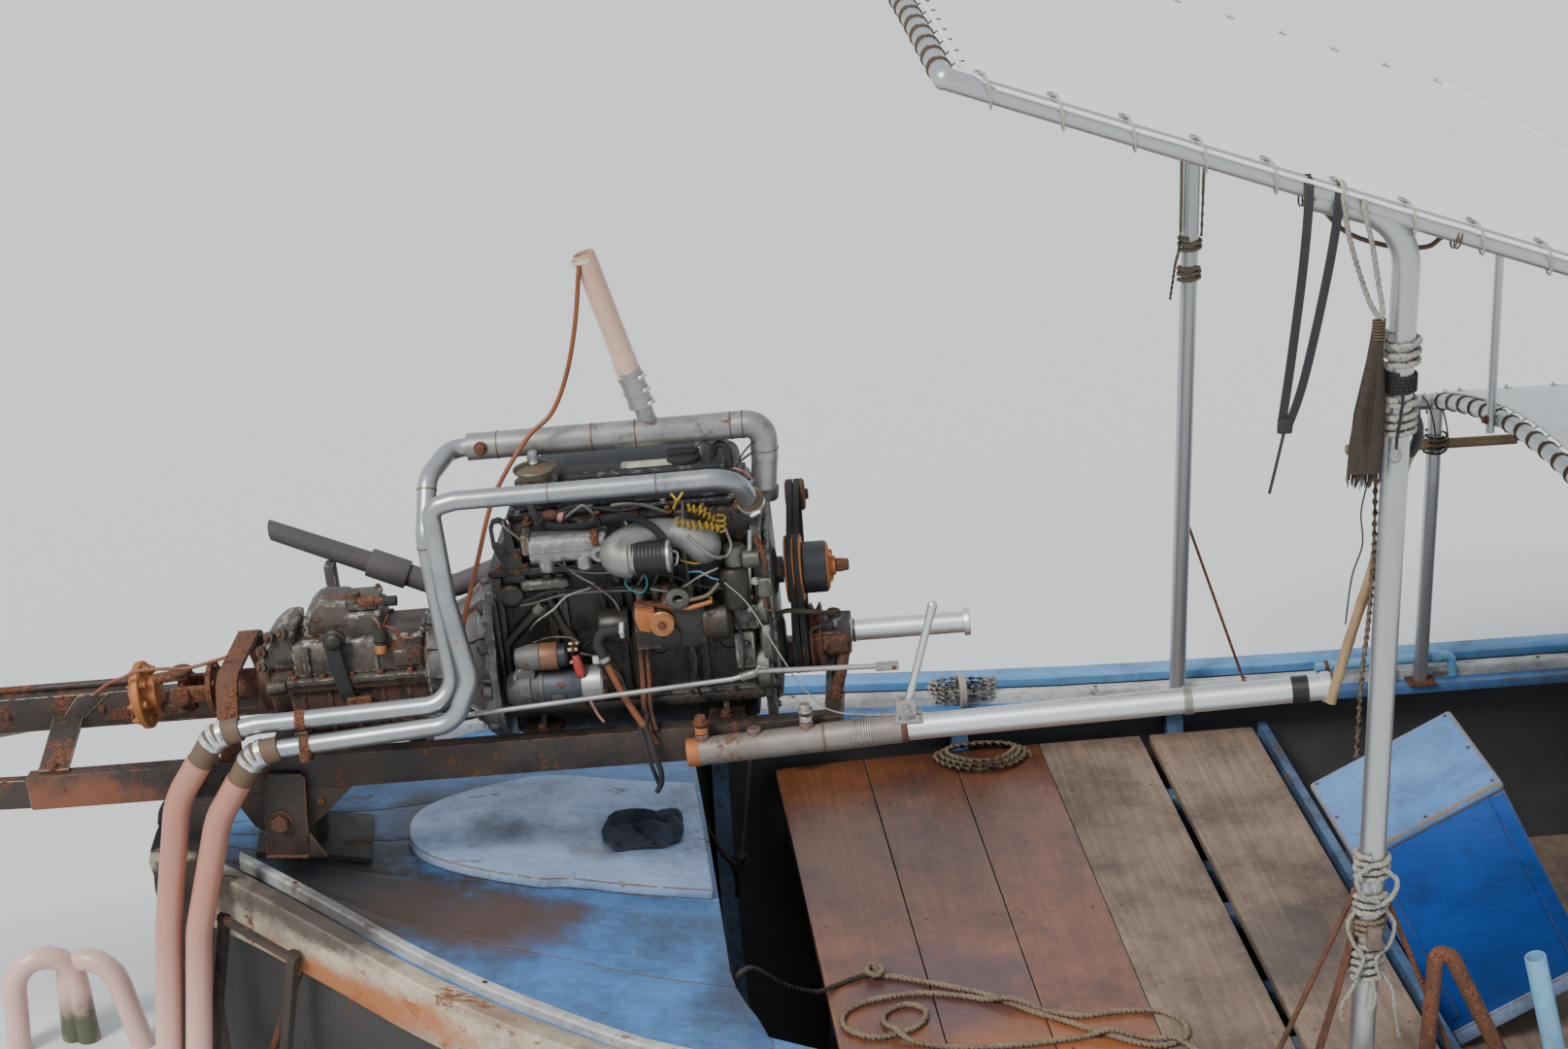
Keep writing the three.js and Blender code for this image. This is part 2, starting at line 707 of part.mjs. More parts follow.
const archPipe = (x, z, rise, r, y = CANOPY_Y) =>
  pipe(
    ARCH.map((k) => V(x, k * y, z + arch(k * CANOPY_Y, rise))),
    r,
    60,
    6,
    0,
  );
const foot = (x) => Math.max(deckZ(x - 30), deckZ(x + 30)) + GAP;
const POST_X = -2440; // curved starboard post
const FAR_POST_X = -2400;
{
  const list = [];
  for (const s of [-1, 1])
    list.push(rod(V(HELM_X0, s * CANOPY_Y, helmZ(HELM_X0)), V(HELM_X1, s * CANOPY_Y, helmZ(HELM_X1)),
        CANOPY_R, 8));
  for (const x of [HELM_X0, -2560, HELM_X1]) list.push(archPipe(x, helmZ(x), HELM_RISE, CANOPY_R));
  for (const [x, z] of [
    [HELM_X0, helmZ(HELM_X0)],
    [HELM_X1, helmZ(HELM_X1)],
  ])
    for (const s of [-1, 1]) list.push(ball(V(x, s * CANOPY_Y, z), CANOPY_R, 8));
  const starboard = -(CANOPY_Y - 10);
  list.push(
    pipe(
      [
        V(POST_X, starboard, foot(POST_X)),
        V(POST_X, starboard, helmZ(POST_X) - 8),
        V(POST_X - 190, starboard, helmZ(POST_X - 190) - 18),
      ],
      27,
      150,
      10,
      4,
    ),
  );
  list.push(rod(V(FAR_POST_X, CANOPY_Y - 10, foot(FAR_POST_X)),
      V(FAR_POST_X, CANOPY_Y - 10, helmZ(FAR_POST_X)), 22, 8));
  put(hull, "helm_canopy_frame", join(list), F.galvanised);
}

const PASS_X0 = -1720;
const PASS_X1 = 2450;
const PASS_Z = 1310;
const PASS_RISE = 165;
const STRUT_Y = 450; // struts from the passengers' aft bow up to the helm's fore bow
const PASS_POSTS = [-1720, -330, 1060, 2450];
put(hull, "passenger_tarp", tarp(PASS_X0 + 26, PASS_X1 + 20, () => PASS_Z, PASS_RISE, 6, CANOPY_R - 1.7),
    F.tarp);
{
  const postAt = (x, s, r) => {
    const y = Math.min(CANOPY_Y - 10, station(x).half - PLANK - 60);
    return pipe([V(x, s * y, foot(x)), V(x, s * y, PASS_Z - 220), V(x, s * CANOPY_Y, PASS_Z)], r, 60, 6, 0);
  };
  const bowAt = (x) => archPipe(x, PASS_Z, PASS_RISE, CANOPY_R);
  const list = [];
  for (const s of [-1, 1]) {
    list.push(rod(V(PASS_X0, s * CANOPY_Y, PASS_Z), V(PASS_X1, s * CANOPY_Y, PASS_Z), CANOPY_R, 6));
    for (const x of PASS_POSTS) list.push(postAt(x, s, CANOPY_R - 1));
    const low = PASS_Z + arch(STRUT_Y, PASS_RISE) - 34;
    const high = helmZ(HELM_X1) + arch(STRUT_Y, HELM_RISE) - CANOPY_R - 6;
    list.push(rod(V(PASS_X0 - 28, s * STRUT_Y, low), V(HELM_X1 + 2, s * STRUT_Y, high), 11, 8));
    list.push(rod(V(PASS_X0, s * CANOPY_Y, PASS_Z), V(PASS_X0 - 62, s * CANOPY_Y, PASS_Z), 13, 8));
  }
  const [aft, ...middle] = PASS_POSTS;
  const fore = middle.pop();
  list.push(bowAt(aft), bowAt(fore));
  put(hull, "passenger_canopy_frame", join(list), F.galvanised);

  // Middle bows and the ridge pole under the cloth, butted against the side rails and the end bows.
  const top = PASS_Z + PASS_RISE * (1 - ARCH[3] ** 2);
  const ridge = rod(V(aft + CANOPY_R + 1, 0, top), V(fore - CANOPY_R - 1, 0, top), 14, 6);
  const edge = CANOPY_Y - CANOPY_R - GAP;
  const beyond = [-1, 1].map((s) =>
    box(PASS_X0 - 100, PASS_X1 + 100, s > 0 ? edge : -edge - 60, s > 0 ? edge + 60 : -edge, PASS_Z - 60,
        PASS_Z + 90),
  );
  const posts = middle.flatMap((x) => [-1, 1].map((s) => postAt(x, s, CANOPY_R - 0.3)));
  put(hull, "passenger_bows", join([ridge, ...middle.map(bowAt)], [...beyond, ...posts]), F.galvanised);
}

// Starboard rail fittings ahead of the helm: rusty bent pipe and a pale blue plastic pipe.
{
  const y = -955;
  const z = foot(-2300);
  put(
    hull,
    "rail_hoop",
    join([
      pipe([V(-2302, y, z + 8), V(-2296, y, 785), V(-2262, y, 772), V(-2132, y, z + 8)], 17, 30, 10, 4),
      box(-2332, -2102, y - 26, y + 26, z, z + 10),
    ]),
    F.rust,
  );
  const foot0 = V(-2016, y, z + 4.6);
  const head = V(-2080, y, 757);
  const bore = foot0.clone().lerp(head, 0.04);
  const past = foot0.clone().lerp(head, 1.05);
  put(hull, "rail_pipe", join([rod(foot0, head, 23, 16)], [rod(bore, past, 19.5, 16)]), F.pvc);
}

// Stern ironwork
const BASE_Z = deckZ(PIVOT_X) + GAP;
const BASE_X = [PIVOT_X - 110, PIVOT_X + 150];
put(
  hull,
  "pivot_base",
  join(
    [
      prism(
        "y",
        [
          ...between(BASE_X[0], BASE_X[1]).map((x) => [x, deckZ(x) + GAP]),
          ...between(BASE_X[0], BASE_X[1]).map((x) => [x, deckZ(x) + 14]).reverse(),
        ],
        -110,
        110,
      ),
      rod(V(PIVOT_X, 0, BASE_Z + 9), V(PIVOT_X, 0, PIVOT_Z - 97), 52, 20),
    ],
    [rod(V(PIVOT_X, 0, BASE_Z + 15), V(PIVOT_X, 0, PIVOT_Z), 31, 20)],
  ),
  F.rust,
);
put(
  swivel,
  "pivot_fork",
  join([
    rod(V(0, 0, BASE_Z + 17 - PIVOT_Z), V(0, 0, -80), 30.2, 20),
    box(-36, 36, -252, 252, -92, -62),
    ...[-1, 1].map((s) => box(-38, 38, s > 0 ? 240 : -252, s > 0 ? 252 : -240, -92, 62)),
    ...[-1, 1].map((s) => rod(V(0, s * 203, 0), V(0, s * 262, 0), 12, 12)),
    ...[-1, 1].map((s) => rod(V(0, s * 250, 0), V(0, s * 266, 0), 22, 6)),
  ]),
  F.rust,
);
// Flat bars from the starboard strake down to the hull side.
{
  const list = [];
  for (const [x0, x1] of [
    [-4860, -4960],
    [-4700, -4790],
  ]) {
    const a = station(x0);
    list.push(rod(V(x0, -(a.half + 61.9), a.sheer - 60), V(x1, -(station(x1).half + 22), 130), 16, 6));
  }
  list.push(rod(V(-4960, -190, 250), V(-4780, -330, 250), 14, 6));
  list.push(rod(V(-4870, -(station(-4870).half + 66), 715), V(-4690, -(station(-4690).half + 76), 690), 12,
      6));
  put(hull, "stern_braces", join(list), F.rust);
}

// Engine frame
// On this group u runs along the frame to the tiller's end, v to port and w up, from the tilt axis.
const RAIL_T = 40;
const RAIL_BEND_U = -590;
const RAIL_TAIL = { u: -1180, v: 62, w: 165 };
{
  const list = [];
  for (const s of [-1, 1]) {
    const [v0, v1] = [s * RAIL_V - RAIL_T / 2, s * RAIL_V + RAIL_T / 2];
    list.push(box(RAIL_BEND_U, 1265, v0, v1, RAIL_W0, RAIL_W1));
    const ring = (u, v, w) => [
      V(u, s * v - RAIL_T / 2, w - 40),
      V(u, s * v + RAIL_T / 2, w - 40),
      V(u, s * v + RAIL_T / 2, w + 40),
      V(u, s * v - RAIL_T / 2, w + 40),
    ];
    list.push(loft([ring(RAIL_TAIL.u, RAIL_TAIL.v, RAIL_TAIL.w), ring(RAIL_BEND_U + 1, RAIL_V, 103)]));
    const g = [
      [-110, 64],
      [170, 64],
      [70, -22],
      [38, -40],
      [-38, -40],
      [-66, -22],
    ];
    const hang = prism("y", g, -6, 6);
    hang.translate(0, s * (RAIL_V + 12), 0);
    list.push(hang);
  }
  for (const [a, b] of [
    [-40, 0],
    [285, 325],
    [1225, 1265],
  ])
    list.push(box(a, b, -RAIL_V, RAIL_V, RAIL_W0 + 4, RAIL_W0 + 54));
  const holes = [rod(V(0, -400, 0), V(0, 400, 0), 12.6, 16)];
  const outer = [
    [-206, 140],
    [-206, 215],
    [-110, 318],
    [110, 318],
    [206, 215],
    [206, 140],
  ];
  const inner = [
    [188, 139],
    [188, 208],
    [102, 300],
    [-102, 300],
    [-188, 208],
    [-188, 139],
  ];
  list.push(join([prism("x", outer, -118, -74)], [prism("x", inner, -130, -60)]));
  put(frame, "frame_rails", join(list, holes), F.rust);
}

const shaftW = (u) => JOINT_W + (u - JOINT_U) * Math.tan(rad(TAIL_DROP));
const shaftAt = (u) => V(u, 0, shaftW(u));
// Tail: an open-bottomed channel with a rod on its back, then a tube round the shaft down to the propeller.
const CH_U0 = -353;
const CH_U1 = -1500;
const TUBE_U0 = -1240;
const TUBE_U1 = -3270;
{
  const c = prism(
    "x",
    [
      [-38, 168],
      [-31, 168],
      [-31, 246],
      [31, 246],
      [31, 168],
      [38, 168],
      [38, 253],
      [-38, 253],
    ],
    CH_U1,
    CH_U0,
  );
  const list = [c];
  list.push(rod(V(CH_U0 + 4, 0, 259), V(CH_U1, 0, 259), 9, 6));
  list.push(rod(V(CH_U1 + 10, 0, 259), V(-3100, 0, shaftW(-3100) + 30), 9, 6));
  for (const u of [-1900, -2300, -2700]) {
    const t = (u - CH_U1) / (-3100 - CH_U1);
    list.push(rod(V(u, 0, 259 + (shaftW(-3100) + 30 - 259) * t), V(u, 0, shaftW(u) + 26), 8, 6));
  }
  list.push(box(CH_U1, TUBE_U0 - 10, -30, 30, 120, 175));
  for (const s of [-1, 1]) {
    const strap = prism(
      "y",
      [
        [-520, 240],
        [-452, 240],
        [-495, 146],
        [-560, 146],
      ],
      -3,
      3,
    );
    strap.rotateX(s * -0.9);
    // flat straps from the channel's sides down to the rails
    list.push(
      loft(
        [
          [-535, 1],
          [-465, 1],
        ].map(([u]) => [V(u, s * 34, 196), V(u, s * 214, 143.4), V(u, s * 214, 150),
            V(u, s * 34, 204)]).map((r) => (s > 0 ? r : r.reverse())),
      ),
    );
  }
  const bore = rod(shaftAt(TUBE_U0 + 200), shaftAt(TUBE_U1 - 60), 19.5, 16);
  const clear = rod(shaftAt(-330), shaftAt(TUBE_U0 + 150), 25, 12);
  list.push(rod(shaftAt(TUBE_U0), shaftAt(TUBE_U1), 31, 12));
  // splash plate above the propeller and skeg below it, on a sleeve round the tube
  const e = (u, dw) => [u, shaftW(u) + dw];
  list.push(prism("y", [e(-2980, 20), e(-2990, 34), e(-3236, 172), e(-3560, 172), e(-3560, 162),
      e(-3244, 162), e(-3060, 20)], -70, 70));
  list.push(prism("y", [e(-2980, -20), e(-3130, -120), e(-3240, -206), e(-3540, -190), e(-3540, -178),
      e(-3262, -168), e(-3240, -20)], -5, 5));
  list.push(rod(shaftAt(-3010), shaftAt(-3200), 40, 12));
  put(frame, "tail_channel", join(list, [bore, clear]), F.rust);
}

// Driveline
const along = (u) => shaftAt(u);
{
  const list = [];
  list.push(rod(along(-322), along(PROP_U - 60), 19, 16));
  list.push(rod(along(-337), along(-318), 78, 28));
  list.push(rod(along(-320), along(-292), 40, 20));
  for (const s of [-1, 1]) {
    // the aft yoke's ears stand above and below the cross
    const ear = box(-300, JOINT_U + 22, -19, 19, s > 0 ? 26 : -44, s > 0 ? 44 : -26);
    ear.translate(-JOINT_U, 0, 0);
    ear.rotateY(-rad(TAIL_DROP));
    ear.translate(JOINT_U, 0, JOINT_W);
    list.push(ear);
  }
  list.push(rod(V(JOINT_U, 0, JOINT_W - 50), V(JOINT_U, 0, JOINT_W + 50), 13, 12));
  list.push(rod(V(JOINT_U, -48, JOINT_W), V(JOINT_U, 48, JOINT_W), 10, 12));
  for (const s of [-1, 1]) list.push(rod(V(JOINT_U, 0, JOINT_W + s * 42), V(JOINT_U, 0, JOINT_W + s * 54),
      19, 12));
  put(frame, "propeller_shaft", join(list), F.rust);
}
{
  // the fore yoke turns with the gearbox's output flange
  const ears = [-1, 1].map((s) => box(JOINT_U - 22, -160, s > 0 ? 27 : -43, s > 0 ? 43 : -27, JOINT_W - 20,
      JOINT_W + 20));
  const list = [
    ...ears,
    rod(V(-172, 0, JOINT_W), V(-160, 0, JOINT_W), 60, 20),
    rod(V(-162, 0, JOINT_W), V(-24, 0, JOINT_W), 35.4, 20),
  ];
  put(frame, "output_yoke", join(list, [rod(V(JOINT_U, -60, JOINT_W), V(JOINT_U, 60, JOINT_W), 15, 12)]),
      F.oily);
}
{
  const list = [turned([[0, -62], [26, -60], [40, -20], [42, 45], [30, 62], [0, 62]], along(PROP_U),
      along(PROP_U + 100), 20)];
  const BLADES = 3;
  for (let i = 0; i < BLADES; i++) {
    const g = new THREE.BoxGeometry(9, 118, 95, 1, 2, 2);
    const p = g.attributes.position;
    for (let k = 0; k < p.count; k++) {
      const r = p.getY(k) + 59;
      const wide = 0.55 + 0.9 * Math.sin((Math.PI * Math.min(1, r / 118 + 0.12)) / 1.25);
      p.setZ(k, p.getZ(k) * wide);
      p.setY(k, r + 26);
      const twist = rad(58 - 0.28 * r);
      const [x, z] = [p.getX(k), p.getZ(k)];
      p.setX(k, x * Math.cos(twist) + z * Math.sin(twist));
      p.setZ(k, -x * Math.sin(twist) + z * Math.cos(twist));
    }
    g.rotateX((i / BLADES) * 2 * Math.PI);
    g.rotateY(-rad(TAIL_DROP));
    g.translate(PROP_U, 0, shaftW(PROP_U));
    list.push(g);
  }
  put(frame, "propeller", join(list, [rod(along(-3200), along(PROP_U - 62), 19.5, 16)]), F.alloy);
}

// Gearbox and engine
const G_U0 = -58;
const BELL_U0 = 345;
const BLOCK_U0 = 520.4;
const BLOCK_U1 = 1100;
put(
  frame,
  "gearbox",
  join([
    prism(
      "x",
      [
        [-95, CRANK_W + 18],
        [-88, 150],
        [-60, 128],
        [60, 128],
        [88, 150],
        [95, CRANK_W + 18],
      ],
      40,
      BELL_U0 - GAP,
    ),
    rod(V(G_U0 + 4, 0, CRANK_W), V(60, 0, CRANK_W), 52, 20),
    box(40, BELL_U0 - GAP, -108, 108, CRANK_W + 10, CRANK_W + 24),
    box(150, 320, -100, 100, 146, 162),
    box(62, BELL_U0 - GAP, -108, 108, CRANK_W + 22, CRANK_W + 36),
    prism(
      "x",
      [
        [-92, CRANK_W + 30],
        [92, CRANK_W + 30],
        [74, CRANK_W + 118],
        [-74, CRANK_W + 118],
      ],
      64,
      BELL_U0 - GAP,
    ),
    box(120, 250, -60, 60, CRANK_W + 110, CRANK_W + 165),
    box(150, 215, -34, 34, CRANK_W + 160, CRANK_W + 190),
    rod(V(150, -66, CRANK_W + 120), V(150, -112, CRANK_W + 120), 20, 14),
    rod(V(-40, 46, CRANK_W + 86), V(80, 46, CRANK_W + 86), 17, 12),
  ], [rod(V(-70, 0, JOINT_W), V(-20, 0, JOINT_W), 36, 20)]),
  F.castGrey,
);
put(
  frame,
  "bell_housing",
  join([
    turned([[0, 0], [118, 0], [128, 30], [172, 110], [196, 150], [196, 175], [0, 175]],
        V(BELL_U0, 0, CRANK_W + 12), V(BELL_U0 + 100, 0, CRANK_W + 12), 28),
    ...[0, 1, 2, 3, 4, 5].map((i) => {
      const g = prism("y", [[20, 100], [150, 150], [174, 202], [150, 202], [20, 130]], -6, 6);
      g.rotateX(((i + 0.5) / 6) * 2 * Math.PI);
      g.translate(BELL_U0, 0, CRANK_W + 12);
      return g;
    }),
  ], [box(300, 600, -300, 300, 0, 58)]),
  F.castGrey,
);
put(
  frame,
  "engine_block",
  join([
    box(BLOCK_U0, BLOCK_U1, -128, 128, 178, 500),
    box(BLOCK_U0 + 6, BLOCK_U1, -142, 142, 498, 520),
    box(BLOCK_U0 + 10, BLOCK_U1 - 8, -120, 120, 518, 622),
    prism(
      "x",
      [
        [-150, 186],
        [-150, 160],
        [-120, 96],
        [120, 96],
        [150, 160],
        [150, 186],
      ],
      BLOCK_U0 + 4,
      BLOCK_U1 - 4,
    ),
    ...[0, 1, 2, 3].map((i) => box(580 + i * 130, 606 + i * 130, -140, 140, 240, 480)),
    box(BLOCK_U0 + 20, BLOCK_U1 - 30, -146, 146, 330, 352),
    box(620, 1040, -RAIL_V + 20.4, -140, 116, 140),
    box(620, 1040, 140, RAIL_V - 20.4, 116, 140),
  ]),
  F.oily,
);
{
  const cover = [
    [-104, 622.4],
    [96, 622.4],
    [96, 676],
    [76, 700],
    [-84, 700],
    [-104, 676],
  ];
  put(
    frame,
    "rocker_cover",
    join([
      prism("x", cover, 560, 1092),
      box(550, 1098, -112, 104, 622.4, 633),
      rod(V(985, -20, 698), V(985, -20, 730), 33, 16),
      box(960, 1010, -26, -14, 728, 738),
      rod(V(640, -96, 628), V(640, -96, 728), 14, 12),
      rod(V(640, -96, 712), V(640, -96, 728), 46, 16),
      rod(V(640, -96, 726), V(640, -96, 748), 10, 10),
    ]),
    F.oily,
  );
}
put(
  frame,
  "timing_cover",
  join([
    prism(
      "x",
      [
        [-120, 120],
        [120, 120],
        [150, 200],
        [168, 430],
        [110, 600],
        [-110, 600],
        [-178, 420],
        [-150, 200],
      ],
      BLOCK_U1 + GAP,
      BLOCK_U1 + 46,
    ),
    rod(V(BLOCK_U1 + 40, -118, 300), V(BLOCK_U1 + 58, -118, 300), 62, 20),
    rod(V(BLOCK_U1 + 40, 0, 406), V(BLOCK_U1 + 60, 0, 406), 50, 20),
    rod(V(BLOCK_U1 + 23, -10, 590), V(BLOCK_U1 + 23, -10, 640), 22, 14),
  ]),
  F.castGrey,
);

// Pulleys and belts. columns of a pulley: v, w, groove radius
const GEN_V = 212; // generator axis, to port
const grooved = (r, u0, grooves, hub) => {
  const p = [[0, 0], [r * 0.55, 0]];
  let t = 2;
  p.push([r + 11, t]);
  for (let i = 0; i < grooves; i++) {
    p.push([r + 11, t + 3], [r, t + 6], [r, t + 12], [r + 11, t + 15]);
    t += 16;
  }
  p.push([r + 11, t + 3], [r * 0.5, t + 5], ...hub.map(([a, b]) => [a, t + b]));
  return p;
};
put(
  frame,
  "crank_pulley",
  join([
    turned(grooved(67, 0, 3, [[28, 5], [28, 14], [0, 14]]), V(1168, 0, CRANK_W), V(1200, 0, CRANK_W), 16),
    rod(V(BLOCK_U1 + 46.4, 0, CRANK_W), V(1170, 0, CRANK_W), 22, 12),
  ]),
  F.rust,
);
put(
  frame,
  "fan_pulley",
  join([
    turned(grooved(64, 0, 2, [[56, 5], [56, 26], [22, 26], [22, 40], [12, 40], [12, 52], [0, 52]]),
        V(1168, 0, 406), V(1200, 0, 406), 16),
    rod(V(BLOCK_U1 + 60.4, 0, 406), V(1170, 0, 406), 18, 12),
  ]),
  F.orangeRust,
);
put(
  frame,
  "generator",
  join([
    rod(V(930, GEN_V, 500), V(1096, GEN_V, 500), 60, 16),
    rod(V(1090, GEN_V, 500), V(1160, GEN_V, 500), 12, 12),
    box(960, 1000, 128.4, GEN_V, 482, 497),
  ]),
  F.alloy,
);
put(
  frame,
  "generator_pulley",
  join([
    turned(grooved(26, 0, 2, [[14, 5], [14, 14], [0, 14]]), V(1168, GEN_V, 500), V(1200, GEN_V, 500), 12),
    rod(V(1160.4, GEN_V, 500), V(1170, GEN_V, 500), 11, 8),
  ]),
  F.oily,
);
{
  // each belt goes round the outside of the three pulleys
  const wheels = [
    [0, CRANK_W, 67.9],
    [GEN_V, 500, 26.9],
    [0, 406, 64.9],
  ];
  const hullOf = (grow) => {
    const pts = [];
    for (const [v, w, r] of wheels)
      for (let k = 0; k < 24; k++) {
        const a = (k / 24) * 2 * Math.PI;
        pts.push([v + (r + grow) * Math.cos(a), w + (r + grow) * Math.sin(a)]);
      }
    pts.sort((a, b) => a[0] - b[0] || a[1] - b[1]);
    const turn = (o, a, b) => (a[0] - o[0]) * (b[1] - o[1]) - (a[1] - o[1]) * (b[0] - o[0]);
    const half = (list) => {
      const h = [];
      for (const p of list) {
        while (h.length > 1 && turn(h[h.length - 2], h[h.length - 1], p) <= 0) h.pop();
        h.push(p);
      }
      h.pop();
      return h;
    };
    return [...half(pts), ...half([...pts].reverse())];
  };
  for (const [i, u] of [1177, 1193].entries()) {
    const s = new THREE.Shape(hullOf(8).map(([p, q]) => new THREE.Vector2(p, q)));
    s.holes.push(new THREE.Path(hullOf(0).reverse().map(([p, q]) => new THREE.Vector2(p, q))));
    const g = new THREE.ExtrudeGeometry(s, { depth: 4.6, bevelEnabled: false });
    g.applyMatrix4(new THREE.Matrix4().makeBasis(V(0, 1, 0), V(0, 0, 1), V(1, 0, 0)));
    g.translate(u - 0.3, 0, 0);
    put(frame, "belt_" + (i + 1), g, F.rubber);
  }
}

put(
  frame,
  "intake_manifold",
  join([
    pipe([V(640, -165, 560), V(700, -195, 566), V(860, -195, 572), V(860, -150, 566)], 33, 40, 10, 2),
    ...[640, 770, 900, 1030].map((u) => rod(V(u, -120.4, 560), V(u, -196, 560), 24, 8)),
    rod(V(700, -196, 566), V(1040, -196, 566), 30, 12),
    pipe([V(820, -200, 575), V(840, -245, 600), V(930, -250, 560)], 37, 40, 12, 3),
  ]),
  F.alloy,
);
put(
  frame,
  "starter",
  join([
    rod(V(585, -190, 252), V(750, -190, 252), 44, 18),
    rod(V(748, -190, 252), V(766, -190, 252), 47, 18),
    rod(V(600, -200, 326), V(690, -200, 326), 30, 16),
    box(585, 640, -200, -172, 250, 330),
    box(608, 660, -160, -128.4, 230, 290),
  ]),
  F.castGrey,
);
put(
  frame,
  "injection_pump",
  join([
    box(830, 990, -206, -146.4, 330, 420),
    rod(V(820, -180, 380), V(1095, -180, 380), 36, 16),
    rod(V(860, -180, 410), V(860, -180, 470), 20, 12),
    rod(V(940, -180, 410), V(940, -180, 460), 16, 12),
    rod(V(900, -205, 380), V(900, -240, 380), 30, 16),
  ]),
  F.oily,
);
put(
  frame,
  "exhaust_pipe",
  join(
    [
      pipe([V(640, 176, 420), V(560, 215, 400), V(360, 230, 330), V(-30, 245, 505)], 27, 90, 12, 4),
      box(600, 900, 140.4, 190, 395, 450),
    ],
    [box(-120, -22, 150, 330, 380, 640), rod(V(-60, 246, 518), V(250, 238, 379), 22, 12)],
  ),
  F.castGrey,
);

// Pipework on the engine
const HEAD_V = -40;
const HEAD_W = 770;
put(
  frame,
  "riser_hose",
  join(
    [pipe([V(869.9, HEAD_V, HEAD_W + 152.45), V(850, HEAD_V, HEAD_W + 235), V(806, HEAD_V, HEAD_W + 415)],
        25, 100, 12, 3)],
    [rod(V(852, HEAD_V, HEAD_W + 226), V(802, HEAD_V, HEAD_W + 430), 20, 12)],
  ),
  F.pinkHose,
);
const P1 = [
  V(530, HEAD_V, HEAD_W),
  V(462, HEAD_V, HEAD_W),
  V(425, -160, HEAD_W - 20),
  V(415, -236, 640),
  V(432, -250, 300),
  V(395, -268, 262),
  V(-10, -272, 250),
  V(-105, -272, 232),
  V(-150, -272, 172),
];
const P2 = [
  V(1120, -196, 640),
  V(1096, -285, 742),
  V(500, -292, 742),
  V(445, -292, 730),
  V(452, -296, 520),
  V(478, -300, 330),
  V(430, -300, 228),
  V(20, -300, 200),
  V(-20, -300, 192),
  V(-62, -300, 132),
];
put(
  frame,
  "coolant_header",
  join([
    pipe(P1, COOL_R, 70, 8, 3),
    pipe([V(508, HEAD_V, HEAD_W), V(1150, HEAD_V, HEAD_W), V(1150, HEAD_V + 10, 668)], PIPE_R, 70, 10, 3),
    rod(V(1150, HEAD_V + 10, 690), V(1148, HEAD_V + 12, 652), 35, 14),
    rod(V(560, HEAD_V, HEAD_W), V(585, HEAD_V, HEAD_W), PIPE_R + 3, 14),
    rod(V(1060, HEAD_V, HEAD_W), V(1078, HEAD_V, HEAD_W), PIPE_R + 3, 14),
    box(700, 730, HEAD_V - 20, HEAD_V + 20, 700.4, 750),
    rod(V(905, HEAD_V, HEAD_W), V(882, HEAD_V, HEAD_W + 100), 20, 12),
    rod(V(892, HEAD_V, HEAD_W + 60), V(870, HEAD_V, HEAD_W + 152), 27, 12),
  ]),
  F.galvanised,
);
put(
  frame,
  "coolant_pipe_2",
  join([pipe(P2, COOL_R, 60, 8, 3), rod(V(1121, -200, 644), V(1108, -160, 610), COOL_R, 12),
      box(1050, 1140, -178, -120.4, 590, 620)]),
  F.stainless,
);

// Tiller, gear lever and front bar
const TILLER_V = -262;
put(
  frame,
  "tiller",
  join([
    rod(V(925, TILLER_V, 98), V(1400, TILLER_V, 118), 31, 16),
    box(940, 1255, TILLER_V + 20, -RAIL_V - 20 - GAP, 80, 120),
    ...[960, 1075, 1190].map((u) => rod(V(u, TILLER_V, 120), V(u, TILLER_V, 165), 11, 8)),
    rod(V(1395, TILLER_V, 117.8), V(2318, TILLER_V, 140), 28, 16),
    rod(V(2312, TILLER_V, 139.8), V(2330, TILLER_V, 140.2), 33, 16),
  ]),
  F.galvanised,
);
put(
  frame,
  "front_bar",
  join([
    rod(V(1290, 0, 244), V(1550, 0, 244), 24, 16),
    rod(V(1548, 0, 244), V(1564, 0, 244), 31, 16),
    box(1236, 1300, -60, 60, 214, 270),
    rod(V(1256, -40, 230), V(1240, -60, 118), 15, 10),
    rod(V(1256, 40, 230), V(1240, 60, 118), 15, 10),
  ], [box(1200, 1300, -220, 220, 60, RAIL_W0 + 54 + GAP)]),
  F.oily,
);
put(
  frame,
  "gear_lever",
  join([
    rod(V(1412, TILLER_V, 170), V(1486, TILLER_V, 402), 9, 10),
    rod(V(1470, TILLER_V, 352), V(1488, TILLER_V, 408), 12, 10),
    rod(V(1396, TILLER_V, 176), V(1428, TILLER_V, 176), 16, 10),
    box(1402, 1450, TILLER_V - 18, TILLER_V + 18, 147.6, 166),
    rod(V(1402, TILLER_V, 164), V(1402, TILLER_V, 182), 12, 10),
  ]),
  F.stainless,
);
put(
  frame,
  "shift_rod",
  join([
    pipe([V(165, -152, 214), V(430, -252, 224), V(1040, -252, 262), V(1100, -252, 276), V(1395, -246, 262)],
        6, 30, 8, 2),
    box(140, 175, -160, -146, 200, 300),
    rod(V(150, -160, 340), V(150, -114.5, 352), 10, 10),
    prism("y", [[138, 210], [164, 210], [162, 352], [138, 352]], 146, 158),
    rod(V(1380, -246, 262), V(1440, TILLER_V + 20, 262), 8, 8),
  ]),
  F.galvanised,
);

